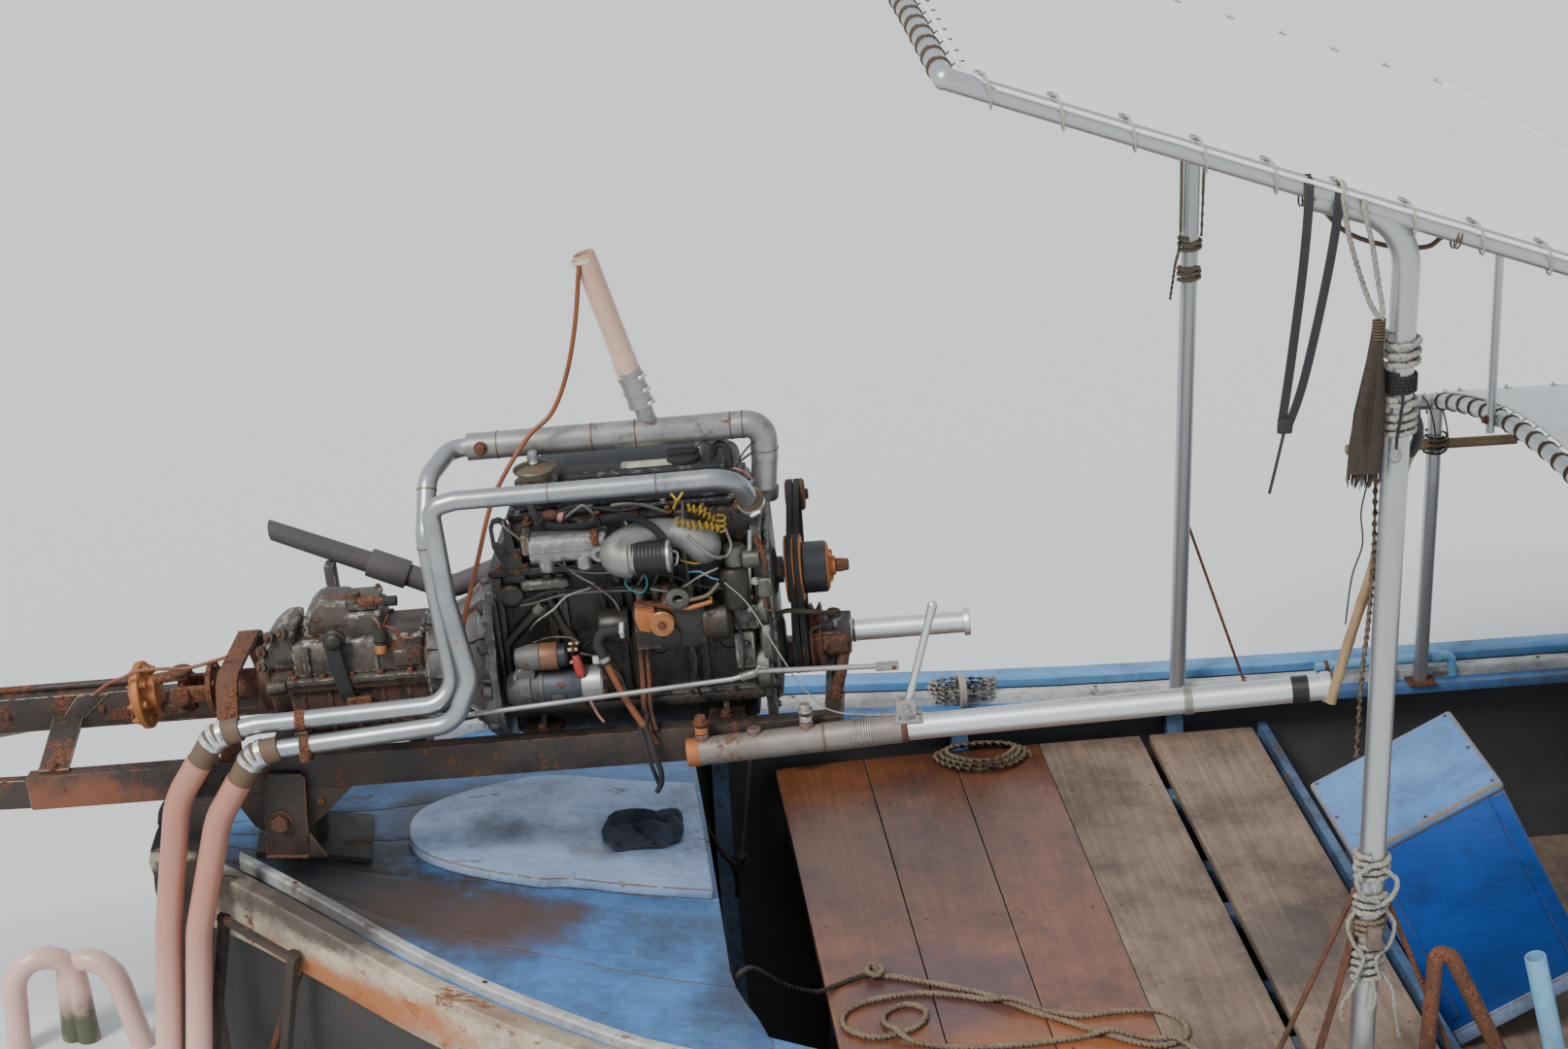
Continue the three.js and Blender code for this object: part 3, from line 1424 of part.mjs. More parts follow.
// Hoses to the sea
// Their upper ends sit in sleeves on the coolant pipes, and they hang down over the quarter into the water.
const HOSE_R = 30;
const RF = new THREE.Matrix4().makeRotationFromEuler(frame.rotation).setPosition(frame.position);
for (const [name, pts, end] of [
  ["sea_hose_1", P1, [-5055, -300]],
  ["sea_hose_2", P2, [-4985, -330]],
]) {
  const tip = pts[pts.length - 1].clone();
  const back = pts[pts.length - 2].clone();
  const dir = tip.clone().sub(back).normalize();
  const start = tip.clone().add(dir.clone().multiplyScalar(0.6)).applyMatrix4(RF);
  const knee = tip.clone().add(dir.clone().multiplyScalar(110)).applyMatrix4(RF);
  const low = V(end[0], end[1], 120);
  const s = name.endsWith("1") ? 1 : -1;
  const route = [
    start,
    knee,
    V(low.x + 4 * s, low.y, 620),
    low,
    V(low.x - 30, low.y - 10, -110),
    V(low.x - 240, low.y - 20 + 40 * s, -170),
    V(low.x - 330, low.y + 60 * s + 60, 120),
    V(low.x - 430, low.y + 90 * s + 90, 160),
    V(low.x - 520, low.y + 100 * s + 110, -90),
  ];
  put(hull, name, join([pipe(route, HOSE_R, 130, 8, 2)]), F.pinkHose);
}

export default boat;
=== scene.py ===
"""Dresses the longtail boat: hull, canopies, engine, tail and cordage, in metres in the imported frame."""
import logging
import math
from dataclasses import dataclass
from enum import Enum
from typing import Callable, Iterable, Optional, Sequence

import bmesh
import bpy
from mathutils import Matrix, Quaternion, Vector, noise


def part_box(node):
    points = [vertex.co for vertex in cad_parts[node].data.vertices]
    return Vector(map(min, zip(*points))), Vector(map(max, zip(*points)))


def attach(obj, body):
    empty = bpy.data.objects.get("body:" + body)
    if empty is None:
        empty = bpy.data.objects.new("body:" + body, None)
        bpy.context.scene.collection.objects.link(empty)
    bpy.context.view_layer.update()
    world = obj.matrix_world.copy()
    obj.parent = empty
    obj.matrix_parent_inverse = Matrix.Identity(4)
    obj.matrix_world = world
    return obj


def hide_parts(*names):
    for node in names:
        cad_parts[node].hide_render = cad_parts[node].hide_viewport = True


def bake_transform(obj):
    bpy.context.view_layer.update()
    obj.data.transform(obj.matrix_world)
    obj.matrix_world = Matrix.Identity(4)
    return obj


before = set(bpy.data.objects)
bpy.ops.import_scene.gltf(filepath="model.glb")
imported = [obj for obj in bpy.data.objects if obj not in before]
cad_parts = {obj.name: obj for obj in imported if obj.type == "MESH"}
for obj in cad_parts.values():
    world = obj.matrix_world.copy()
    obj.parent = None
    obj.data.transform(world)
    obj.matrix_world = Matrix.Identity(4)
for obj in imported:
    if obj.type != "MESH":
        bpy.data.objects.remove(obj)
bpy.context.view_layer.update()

LOG = logging.getLogger("longtail_boat")
MM = 0.001
TAU = 2 * math.pi

PIVOT = Vector((-4687.0, 0.0, 916.0))
# Points of a piece that are closer than this, in millimetres, become one.
MERGE = 1e-3
SIDES = (("port", 1), ("starboard", -1))
HULL_SPACE = Matrix.Scale(MM, 4)
ENGINE_SPACE = (HULL_SPACE @ Matrix.Translation(PIVOT) @ Matrix.Rotation(math.radians(-7.5), 4, "Z")
                @ Matrix.Rotation(math.radians(-4.2), 4, "Y"))


# Paths and shapes
def bent(corners: Sequence[Sequence[float]], radius: float, steps: int = 6) -> list[Vector]:
    """Rounds the corners of a path.

    Args:
        corners: the path's corner points.
        radius: the bend radius, cut down where a leg is too short for it.
        steps: points to each bend.

    Returns:
        The points of the rounded path.
    """
    pts = [Vector(c) for c in corners]
    out = [pts[0]]
    for a, b, c in zip(pts, pts[1:], pts[2:]):
        u, w = (a - b).normalized(), (c - b).normalized()
        angle = u.angle(w)
        if angle > math.pi - 0.03:
            out.append(b)
            continue
        cut = min(radius / math.tan(angle / 2), 0.48 * (a - b).length, 0.48 * (c - b).length)
        r = cut * math.tan(angle / 2)
        centre = b + (u + w).normalized() * (r / math.sin(angle / 2))
        p, q = (b + u * cut - centre), (b + w * cut - centre)
        axis = p.cross(q).normalized()
        for k in range(steps + 1):
            out.append(centre + Quaternion(axis, p.angle(q) * k / steps) @ p)
    out.append(pts[-1])
    return out


def flowing(points: Sequence[Sequence[float]], steps: int = 8) -> list[Vector]:
    """A smooth curve through every given point.

    Args:
        points: the points that the curve passes.
        steps: pieces between two of them.

    Returns:
        The points of the curve.
    """
    pts = [Vector(p) for p in points]
    ends = [2 * pts[0] - pts[1]] + pts + [2 * pts[-1] - pts[-2]]
    out = []
    for a, b, c, d in zip(ends, ends[1:], ends[2:], ends[3:]):
        for k in range(steps):
            t = k / steps
            out.append(0.5 * (2 * b + (c - a) * t + (2 * a - 5 * b + 4 * c - d) * t * t
                              + (3 * b - a - 3 * c + d) * t ** 3))
    out.append(pts[-1])
    return out


def run_length(path: Sequence[Vector]) -> float:
    """Length of a path."""
    return sum((b - a).length for a, b in zip(path, path[1:]))


def spaced(path: Sequence[Vector], count: int) -> list[Vector]:
    """The same path as count points at even spacing."""
    total, out, k, gone = run_length(path), [Vector(path[0])], 0, 0.0
    for i in range(1, count - 1):
        want = total * i / (count - 1)
        while k < len(path) - 2 and gone + (path[k + 1] - path[k]).length < want:
            gone += (path[k + 1] - path[k]).length
            k += 1
        leg = (path[k + 1] - path[k]).length or 1e-9
        out.append(path[k].lerp(path[k + 1], (want - gone) / leg))
    return out + [Vector(path[-1])]


def wound(a: Sequence[float], b: Sequence[float], radius: float, turns: float,
          steps: int = 14) -> list[Vector]:
    """A helix of the given radius round the line from a to b."""
    a, b = Vector(a), Vector(b)
    turn = (b - a).normalized().to_track_quat("Z", "Y").to_matrix()
    count = max(4, int(turns * steps))
    return [a.lerp(b, k / count) + turn @ Vector((radius * math.cos(TAU * turns * k / count),
            radius * math.sin(TAU * turns * k / count), 0)) for k in range(count + 1)]


def laid(points: Sequence[Sequence[float]], top: float, r: float) -> list[Vector]:
    """A rope's line on a level board, lifted where it crosses itself.

    Args:
        points: The route seen from above.
        top: Height of the board.
        r: The rope's radius.

    Returns:
        Points along the rope's middle.
    """
    line = flowing([(x, y, top + r) for x, y in points], 6)
    step, slope, near_by = 11, 0.32, 14
    line = spaced(line, max(12, int(run_length(line) / step)))
    lift: list[float] = []
    for k, p in enumerate(line):
        rise = 0.0
        for j in range(k - 8):
            away = math.hypot(p.x - line[j].x, p.y - line[j].y)
            if away < 2 * r:
                rise = max(rise, lift[j] + 2.05 * r * math.sqrt(1 - (away / (2 * r)) ** 2))
        lift.append(rise)
    spread = [max(lift[j] - slope * step * abs(j - k)
                  for j in range(max(0, k - near_by), min(len(lift), k + near_by + 1)))
              for k in range(len(lift))]
    near = [spread[max(0, k - 1):k + 2] for k in range(len(spread))]
    return [p + Vector((0, 0, max(0.0, max(a, sum(n) / len(n))))) for p, a, n in zip(line, spread, near)]


def unit(share: float) -> float:
    """Holds a share between 0 and 1."""
    return max(0.0, min(1.0, share))


def toward(p: Vector, q: Vector) -> Matrix:
    """The matrix that lays the Z axis on the line from p to q."""
    return Matrix.Translation(p) @ (q - p).normalized().to_track_quat("Z", "Y").to_matrix().to_4x4()


class Shade(Enum):
    """How a shape's faces are shaded."""

    FLAT = False
    SMOOTH = True


class Part:
    """One piece in the making: shapes in millimetres, each with its own finish."""

    def __init__(self, name: str, body: str, space: Matrix = HULL_SPACE) -> None:
        """Starts an empty piece that will ride on the named body."""
        self.name, self.body, self.space = name, body, space
        self.bm = bmesh.new()
        self.finishes: list["Finish"] = []
        self.scratch = bpy.data.meshes.new("scratch")

    def take(self, bm: bmesh.types.BMesh, finish: "Finish", bevel: float = 0.0, segments: int = 2,
             angle: float = 28.0, turn: Optional[Matrix] = None) -> None:
        """Adds a finished shape to the piece.

        Args:
            bm: the shape, which is used up.
            finish: its finish.
            bevel: the width of its broken edges.
            segments: faces across a bevel.
            angle: edges sharper than this are bevelled, in degrees.
            turn: a matrix that moves the shape.
        """
        bmesh.ops.remove_doubles(bm, verts=bm.verts, dist=MERGE)
        bmesh.ops.recalc_face_normals(bm, faces=bm.faces)
        edge = bm.faces.layers.float.get("edge") or bm.faces.layers.float.new("edge")
        if bevel:
            limit = math.radians(angle)
            sharp = [e for e in bm.edges if len(e.link_faces) == 2 and e.calc_face_angle() > limit]
            made = bmesh.ops.bevel(bm, geom=sharp, offset=bevel, offset_type="OFFSET", segments=segments,
                                   profile=0.5, affect="EDGES", material=-1, clamp_overlap=True)
            for face in made["faces"]:
                face[edge] = 1.0
        if turn is not None:
            bmesh.ops.transform(bm, matrix=turn, verts=bm.verts)
        if finish not in self.finishes:
            self.finishes.append(finish)
        index = self.finishes.index(finish)
        for face in bm.faces:
            face.material_index = index
            face.smooth = Shade.SMOOTH.value
        bm.to_mesh(self.scratch)
        bm.free()
        self.bm.from_mesh(self.scratch)

    def box(self, lo: Sequence[float], hi: Sequence[float], finish: "Finish", bevel: float = 1.5,
            turn: Optional[Matrix] = None) -> None:
        """Adds a block between two corners, with broken edges."""
        bm = bmesh.new()
        lo, hi = Vector(lo), Vector(hi)
        bmesh.ops.create_cube(bm, size=1.0)
        bmesh.ops.scale(bm, vec=hi - lo, verts=bm.verts)
        bmesh.ops.translate(bm, vec=(hi + lo) / 2, verts=bm.verts)
        self.take(bm, finish, bevel, turn=turn)

    def rod(self, p: Sequence[float], q: Sequence[float], r: float, finish: "Finish",
            r2: Optional[float] = None, n: int = 24, bevel: float = 1.0) -> None:
        """Adds a round bar from p to q, which may taper from r to r2."""
        p, q = Vector(p), Vector(q)
        bm = bmesh.new()
        bmesh.ops.create_cone(bm, cap_ends=True, segments=n, radius1=r, radius2=r if r2 is None else r2,
                              depth=(q - p).length)
        bmesh.ops.translate(bm, vec=(0, 0, (q - p).length / 2), verts=bm.verts)
        self.take(bm, finish, bevel, segments=1, angle=50, turn=toward(p, q))

    def turned(self, profile: Sequence[tuple[float, float]], p: Sequence[float], q: Sequence[float],
               finish: "Finish", n: int = 32, bevel: float = 0.0) -> None:
        """Adds a lathed shape: profile is (radius, distance along the line from p to q)."""
        bm = bmesh.new()
        verts = [bm.verts.new((r, 0.0, z)) for r, z in profile]
        edges = [bm.edges.new(pair) for pair in zip(verts, verts[1:])]
        bmesh.ops.spin(bm, geom=verts + edges, cent=(0, 0, 0), axis=(0, 0, 1), dvec=(0, 0, 0), angle=TAU,
                       steps=n, use_merge=True, use_normal_flip=False, use_duplicate=False)
        self.take(bm, finish, bevel, turn=toward(Vector(p), Vector(q)))

    def prism(self, axis: str, outline: Sequence[tuple[float, float]], a: float, b: float, finish: "Finish",
              bevel: float = 1.5, segments: int = 2) -> None:
        """Adds an outline drawn out along an axis from a to b.

        Args:
            axis: "x", "y" or "z"; the outline is then in (y, z), (x, z) or (x, y).
            outline: its corners.
            a: where it starts.
            b: where it ends.
            finish: its finish.
            bevel: the width of its broken edges.
            segments: faces across a bevel.
        """
        place = {"x": lambda s, t, d: (d, s, t),
                 "y": lambda s, t, d: (s, d, t),
                 "z": lambda s, t, d: (s, t, d)}[axis]
        bm = bmesh.new()
        base = bm.faces.new([bm.verts.new(place(s, t, a)) for s, t in outline])
        top = bmesh.ops.extrude_face_region(bm, geom=[base])["geom"]
        bmesh.ops.translate(bm, vec=Vector(place(0, 0, b - a)),
                            verts=[v for v in top if isinstance(v, bmesh.types.BMVert)])
        self.take(bm, finish, bevel, segments)

    def ball(self, p: Sequence[float], r: float, finish: "Finish",
             scale: Sequence[float] = (1, 1, 1)) -> None:
        """Adds a rounded lump at p."""
        bm = bmesh.new()
        bmesh.ops.create_uvsphere(bm, u_segments=20, v_segments=12, radius=r)
        self.take(bm, finish, turn=Matrix.Translation(p) @ Matrix.Diagonal((*scale, 1)))

    def skin(self, rows: Sequence[Sequence[Vector]], finish: "Finish", closed: bool = False,
             caps: bool = False, wall: float = 0.0, bevel: float = 0.0) -> None:
        """Adds a surface through rows of points.

        Args:
            rows: the rows, all of the same length.
            finish: its finish.
            closed: each row is a ring.
            caps: the first and last rings are filled.
            wall: the thickness of a skin that is not closed.
            bevel: the width of broken edges.
        """
        rows = [list(r) + ([r[0]] if closed else []) for r in rows]
        m, n = len(rows), len(rows[0])
        bm = bmesh.new()
        bmesh.ops.create_grid(bm, x_segments=n - 1, y_segments=m - 1, size=1.0)
        for v in bm.verts:
            v.co = rows[round((v.co.y + 1) / 2 * (m - 1))][round((v.co.x + 1) / 2 * (n - 1))]
        bmesh.ops.remove_doubles(bm, verts=bm.verts, dist=MERGE)
        if caps:
            bmesh.ops.holes_fill(bm, edges=[e for e in bm.edges if e.is_boundary], sides=0)
        bmesh.ops.recalc_face_normals(bm, faces=bm.faces)
        if wall:
            bmesh.ops.solidify(bm, geom=bm.faces[:], thickness=wall)
        self.take(bm, finish, bevel)

    def tube(self, path: Sequence[Sequence[float]], r: float, finish: "Finish", n: int = 14,
             radius: Optional[Callable[[float], float]] = None, strands: int = 0, lay: float = 0.0,
             caps: bool = True) -> None:
        """Adds a bar, pipe or rope along a path.

        Args:
            path: the points that its centre follows.
            r: its radius.
            finish: its finish.
            n: its sides.
            radius: a factor on r at each part of the way from 0 to 1.
            strands: how many lobes the section has, for a laid rope.
            lay: the length in which the lobes go once round.
            caps: its ends are closed.
        """
        pts = [Vector(p) for p in path]
        m = len(pts)
        tangents = [(pts[min(i + 1, m - 1)] - pts[max(i - 1, 0)]).normalized() for i in range(m)]
        side = tangents[0].orthogonal().normalized()
        bm = bmesh.new()
        bmesh.ops.create_grid(bm, x_segments=n, y_segments=m - 1, size=1.0)
        along = bm.verts.layers.float_vector.new("path")
        rows: list[list] = [[None] * (n + 1) for _ in range(m)]
        for v in bm.verts:
            rows[round((v.co.y + 1) / 2 * (m - 1))][round((v.co.x + 1) / 2 * n)] = v
        gone = 0.0
        for i, (p, t) in enumerate(zip(pts, tangents)):
            if i:
                gone += (p - pts[i - 1]).length
                side = (tangents[i - 1].rotation_difference(t) @ side).normalized()
            side = (side - t * side.dot(t)).normalized()
            up = t.cross(side)
            size = r * (radius(i / (m - 1)) if radius else 1.0)
            for j in range(n + 1):
                a = TAU * (j % n) / n
                lobe = 1.0
                twist = TAU * gone / lay if lay else 0.0
                if strands:
                    lobe = 0.82 + 0.18 * abs(math.cos(strands * a / 2))
                rows[i][j].co = p + (side * math.cos(a + twist) + up * math.sin(a + twist)) * size * lobe
                rows[i][j][along] = (math.cos(a), math.sin(a), gone * MM)
        if caps:
            bmesh.ops.remove_doubles(bm, verts=bm.verts, dist=MERGE)
            bmesh.ops.holes_fill(bm, edges=[e for e in bm.edges if e.is_boundary], sides=0)
        self.take(bm, finish)

    def bolt(self, p: Sequence[float], way: Sequence[float], across: float, finish: "Finish",
             stud: float = 0.0) -> None:
        """Adds a hexagon head at p that faces the given way, with a stud standing out of it."""
        p, way = Vector(p), Vector(way).normalized()
        self.rod(p - way * across * 0.1, p + way * across * 0.12, across * 0.72, finish, n=20, bevel=0.4)
        self.rod(p, p + way * across * 0.62, across * 0.56, finish, n=6, bevel=across * 0.06)
        if stud:
            self.rod(p, p + way * (across * 0.62 + stud), across * 0.28, finish, n=12, bevel=0.6)

    def band(self, path_point: Sequence[float], way: Sequence[float], r: float, width: float,
             finish: "Finish", screw: Optional["Finish"] = None,
             out: Sequence[float] = (0, -1, 0.4)) -> None:
        """Adds a hose band round a pipe, with its screw on the given side."""
        p, way = Vector(path_point), Vector(way).normalized()
        self.turned([(r - 1, -width / 2), (r + 1.4, -width / 2), (r + 1.4, width / 2), (r - 1, width / 2),
                     (r - 1, -width / 2)], p, p + way, finish, 28)
        if screw:
            o = Vector(out)
            o = (o - way * o.dot(way)).normalized()
            s = o.cross(way)
            c = p + o * (r + 4)
            self.rod(c - s * 10, c + s * 10, 4.5, screw, n=10, bevel=0.8)
            self.bolt(c + s * 9, s, 8, screw)

    def done(self, replaces: Iterable[str] = (), slot: Optional[str] = None, sharp: float = 32.0,
             ride: bool = True) -> bpy.types.Object:
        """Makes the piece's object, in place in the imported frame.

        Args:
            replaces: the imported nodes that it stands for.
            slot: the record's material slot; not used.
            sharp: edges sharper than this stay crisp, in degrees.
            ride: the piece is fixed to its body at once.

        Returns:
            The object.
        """
        bmesh.ops.transform(self.bm, matrix=self.space, verts=self.bm.verts)
        mesh = bpy.data.meshes.new(self.name)
        self.bm.to_mesh(mesh)
        faces = len(mesh.polygons)
        self.bm.free()
        bpy.data.meshes.remove(self.scratch)
        for finish in self.finishes:
            mesh.materials.append(finish.material())
        mesh.set_sharp_from_angle(angle=math.radians(sharp))
        obj = bpy.data.objects.new(self.name, mesh)
        bpy.context.scene.collection.objects.link(obj)
        if ride:
            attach(obj, self.body)
        if replaces:
            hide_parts(*replaces)
        LOG.info("%s: %d faces on %s", self.name, faces, self.body)
        return obj


def engine_part(name: str, body: str = "engine_frame") -> Part:
    """Starts a piece that is drawn in the engine's own space."""
    return Part(name, body, ENGINE_SPACE)


# Shader helpers
Value = object


class Graph:
    """Short calls that lay nodes in a material or a node group."""

    def __init__(self, tree: bpy.types.NodeTree) -> None:
        """Works on the given tree."""
        self.tree = tree

    def add(self, kind: str, inputs: Optional[dict] = None, **settings: Value) -> bpy.types.Node:
        """Adds a node with its settings and inputs, which are values or sockets."""
        node = self.tree.nodes.new(kind if kind.startswith("NodeGroup") else "ShaderNode" + kind)
        for key, value in settings.items():
            setattr(node, key, value)
        for key, value in (inputs or {}).items():
            self.put(node.inputs[key], value)
        return node

    def put(self, socket: bpy.types.NodeSocket, value: Value) -> None:
        """Links or sets one socket."""
        if isinstance(value, bpy.types.NodeSocket):
            self.tree.links.new(value, socket)
        elif socket.type == "RGBA" and len(value) == 3:
            socket.default_value = (*value, 1.0)
        else:
            socket.default_value = value

    def math(self, op: str, a: Value, b: Value = 0.0, c: Value = 0.0,
             clamp: bool = False) -> bpy.types.NodeSocket:
        """A sum on two or three values."""
        return self.add("Math", {0: a, 1: b, 2: c}, operation=op, use_clamp=clamp).outputs[0]

    def remap(self, value: Value, a: float, b: float, c: float = 0.0,
              d: float = 1.0) -> bpy.types.NodeSocket:
        """Takes the range a..b smoothly to c..d."""
        return self.add("MapRange",
                        {"Value": value, "From Min": a, "From Max": b, "To Min": c, "To Max": d},
                        interpolation_type="SMOOTHSTEP").outputs[0]

    def mix(self, factor: Value, a: Value, b: Value, blend: str = "MIX") -> bpy.types.NodeSocket:
        """Mixes two colours."""
        node = self.add("Mix", None, data_type="RGBA", blend_type=blend)
        for key, value in ((0, factor), (6, a), (7, b)):
            self.put(node.inputs[key], value)
        return node.outputs[2]

    def noise(self, place: Value, scale: float, detail: float = 4.0, rough: float = 0.55,
              warp: float = 0.0) -> bpy.types.NodeSocket:
        """Cloudy noise from 0 to 1."""
        return self.add("TexNoise", {"Vector": place, "Scale": scale, "Detail": detail, "Roughness": rough,
                                     "Distortion": warp}).outputs[0]

    def where(self, scale: Sequence[float] = (1, 1, 1), shift: Sequence[float] = (0, 0, 0),
              turn: Sequence[float] = (0, 0, 0)) -> bpy.types.NodeSocket:
        """Object coordinates, stretched, shifted and turned."""
        place = self.add("TexCoord").outputs["Object"]
        if tuple(scale) == (1, 1, 1) and tuple(shift) == (0, 0, 0) and tuple(turn) == (0, 0, 0):
            return place
        return self.add("Mapping",
                        {"Vector": place, "Location": shift, "Rotation": turn, "Scale": scale}).outputs[0]

    def group(self, effect: "Effect", inputs: dict) -> bpy.types.Node:
        """Places one of the shared effects."""
        node = self.add("Group", None, node_tree=effect.tree())
        for key, value in inputs.items():
            self.put(node.inputs[key], value)
        return node


@dataclass
class Effect:
    """A shared shader node group, built once.

    Args:
        name: the group's name.
        inputs: socket name to (type, default value).
        outputs: socket name to type.
        build: lays the nodes and returns a socket for each output.
    """

    name: str
    inputs: dict
    outputs: dict
    build: Callable[[Graph, dict], dict]

    def tree(self) -> bpy.types.NodeTree:
        """The node group, made on its first use."""
        found = bpy.data.node_groups.get(self.name)
        if found:
            return found
        tree = bpy.data.node_groups.new(self.name, "ShaderNodeTree")
        for name, (kind, default) in self.inputs.items():
            socket = tree.interface.new_socket(name, in_out="INPUT", socket_type=kind)
            if default is not None:
                socket.default_value = default
        for name, kind in self.outputs.items():
            tree.interface.new_socket(name, in_out="OUTPUT", socket_type=kind)
        graph = Graph(tree)
        entry, leave = graph.add("NodeGroupInput"), graph.add("NodeGroupOutput")
        made = self.build(graph, {name: entry.outputs[name] for name in self.inputs})
        for name, socket in made.items():
            graph.put(leave.inputs[name], socket)
        return tree


FLOAT, VECTOR = "NodeSocketFloat", "NodeSocketVector"


def _grime(g: Graph, i: dict) -> dict:
    """Broken patches from two sizes of noise."""
    coarse = g.noise(i["Place"], i["Scale"], 5.0, 0.62)
    fine = g.noise(i["Place"], g.math("MULTIPLY", i["Scale"], 7.3), 4.0, 0.7)
    both = g.math("ADD", g.math("MULTIPLY", coarse, 0.72), g.math("MULTIPLY", fine, 0.28))
    edge = g.math("SUBTRACT", 0.72, g.math("MULTIPLY", i["Amount"], 0.44))
    mask = g.add("MapRange", {"Value": both, "From Min": g.math("SUBTRACT", edge, i["Softness"]),
                              "From Max": g.math("ADD", edge, i["Softness"])},
                 interpolation_type="SMOOTHSTEP").outputs[0]
    return {"Mask": mask, "Cloud": both}


def _wear(g: Graph, i: dict) -> dict:
    """Bare spots along broken edges."""
    edge = g.add("Attribute", None, attribute_name="edge").outputs["Fac"]
    cloud = g.noise(i["Place"], i["Scale"], 5.0, 0.65)
    low, high = (g.math("SUBTRACT", limit, g.math("MULTIPLY", i["Amount"], 0.3)) for limit in (0.62, 0.68))
    chip = g.add("MapRange", {"Value": cloud, "From Min": low, "From Max": high}).outputs[0]
    return {"Mask": g.math("MULTIPLY", edge, chip)}


def _grain(g: Graph, i: dict) -> dict:
    """Wood grain along the place's X axis."""
    long = g.add("VectorMath", {0: i["Place"], 1: (0.9, 26.0, 26.0)}, operation="MULTIPLY").outputs[0]
    broad = g.noise(long, 0.55, 3.0, 0.5, 0.6)
    fibre = g.add("VectorMath", {0: i["Place"], 1: (6.0, 260.0, 260.0)}, operation="MULTIPLY").outputs[0]
    fine = g.noise(fibre, 1.0, 4.0, 0.6)
    lines = g.math("FRACT", g.math("MULTIPLY", broad, 9.0))
    band = g.math("ABSOLUTE", g.math("SUBTRACT", lines, 0.5))
    tone = g.math("ADD", g.math("MULTIPLY", band, 1.1), g.math("MULTIPLY", fine, 0.5))
    return {"Tone": tone, "Fibre": fine}


def _stain_and_light_patch(g: Graph, i: dict) -> dict:
    """A soft patch round one point, broken by noise."""
    off = g.add("VectorMath", {0: i["Place"], 1: i["Centre"]}, operation="SUBTRACT").outputs[0]
    flat = g.add("VectorMath", {0: off, 1: i["Size"]}, operation="DIVIDE").outputs[0]
    far = g.add("VectorMath", {0: flat}, operation="LENGTH").outputs["Value"]
    cloud = g.noise(i["Place"], i["Scale"], 5.0, 0.65)
    uneven = g.math("ADD", far, g.math("MULTIPLY", g.math("SUBTRACT", cloud, 0.5), i["Ragged"]))
    return {"Mask": g.add("MapRange", {"Value": uneven, "From Min": 1.0, "From Max": 0.35},
                          interpolation_type="SMOOTHSTEP").outputs[0]}


def _weave(g: Graph, i: dict) -> dict:
    """Plain weave of a coated cloth."""
    part = g.add("SeparateXYZ", {0: i["Place"]}).outputs
    waves = [g.math("SINE", g.math("MULTIPLY", part[k], i["Count"])) for k in (0, 1)]
    return {"Height": g.math("MULTIPLY", waves[0], waves[1])}


def _strand(g: Graph, i: dict) -> dict:
    """Laid yarns that wind along a rope."""
    along = g.add("Attribute", None, attribute_name="path").outputs["Vector"]
    part = g.add("SeparateXYZ", {0: along}).outputs
    angle = g.math("ARCTAN2", part[1], part[0])
    phase = g.math("SUBTRACT", g.math("MULTIPLY", angle, i["Yarns"]),
                   g.math("MULTIPLY", part[2], i["Pitch"]))
    wave = g.math("MULTIPLY_ADD", g.math("SINE", phase), 0.5, 0.5)
    return {"Height": wave, "Along": part[2]}


GRIME = Effect("grime", {"Place": (VECTOR, None), "Scale": (FLOAT, 6.0), "Amount": (FLOAT, 0.5),
                         "Softness": (FLOAT, 0.06)}, {"Mask": FLOAT, "Cloud": FLOAT}, _grime)
WEAR = Effect("edge_wear", {"Place": (VECTOR, None), "Scale": (FLOAT, 30.0), "Amount": (FLOAT, 0.5)},
              {"Mask": FLOAT}, _wear)
GRAIN = Effect("wood_grain", {"Place": (VECTOR, None)}, {"Tone": FLOAT, "Fibre": FLOAT}, _grain)
STAIN_AND_LIGHT_PATCH = Effect("stain", {"Place": (VECTOR, None), "Centre": (VECTOR, (0, 0, 0)),
                         "Size": (VECTOR, (1, 1, 1)), "Scale": (FLOAT, 8.0), "Ragged": (FLOAT, 1.0)},
               {"Mask": FLOAT}, _stain_and_light_patch)
WEAVE = Effect("weave", {"Place": (VECTOR, None), "Count": (FLOAT, 1500.0)}, {"Height": FLOAT}, _weave)
STRAND = Effect("strand", {"Yarns": (FLOAT, 3.0), "Pitch": (FLOAT, 150.0)},
                {"Height": FLOAT, "Along": FLOAT}, _strand)

Tone = tuple[float, float, float]


@dataclass(frozen=True)
class StainAndLightPatch:
    """A local patch of colour, mostly a stain and in places painted light: its colour, centre, size in
    metres and strength.
    """

    tone: Tone
    centre: Tone
    size: Tone
    strength: float = 1.0
    ragged: float = 1.2
    scale: float = 9.0


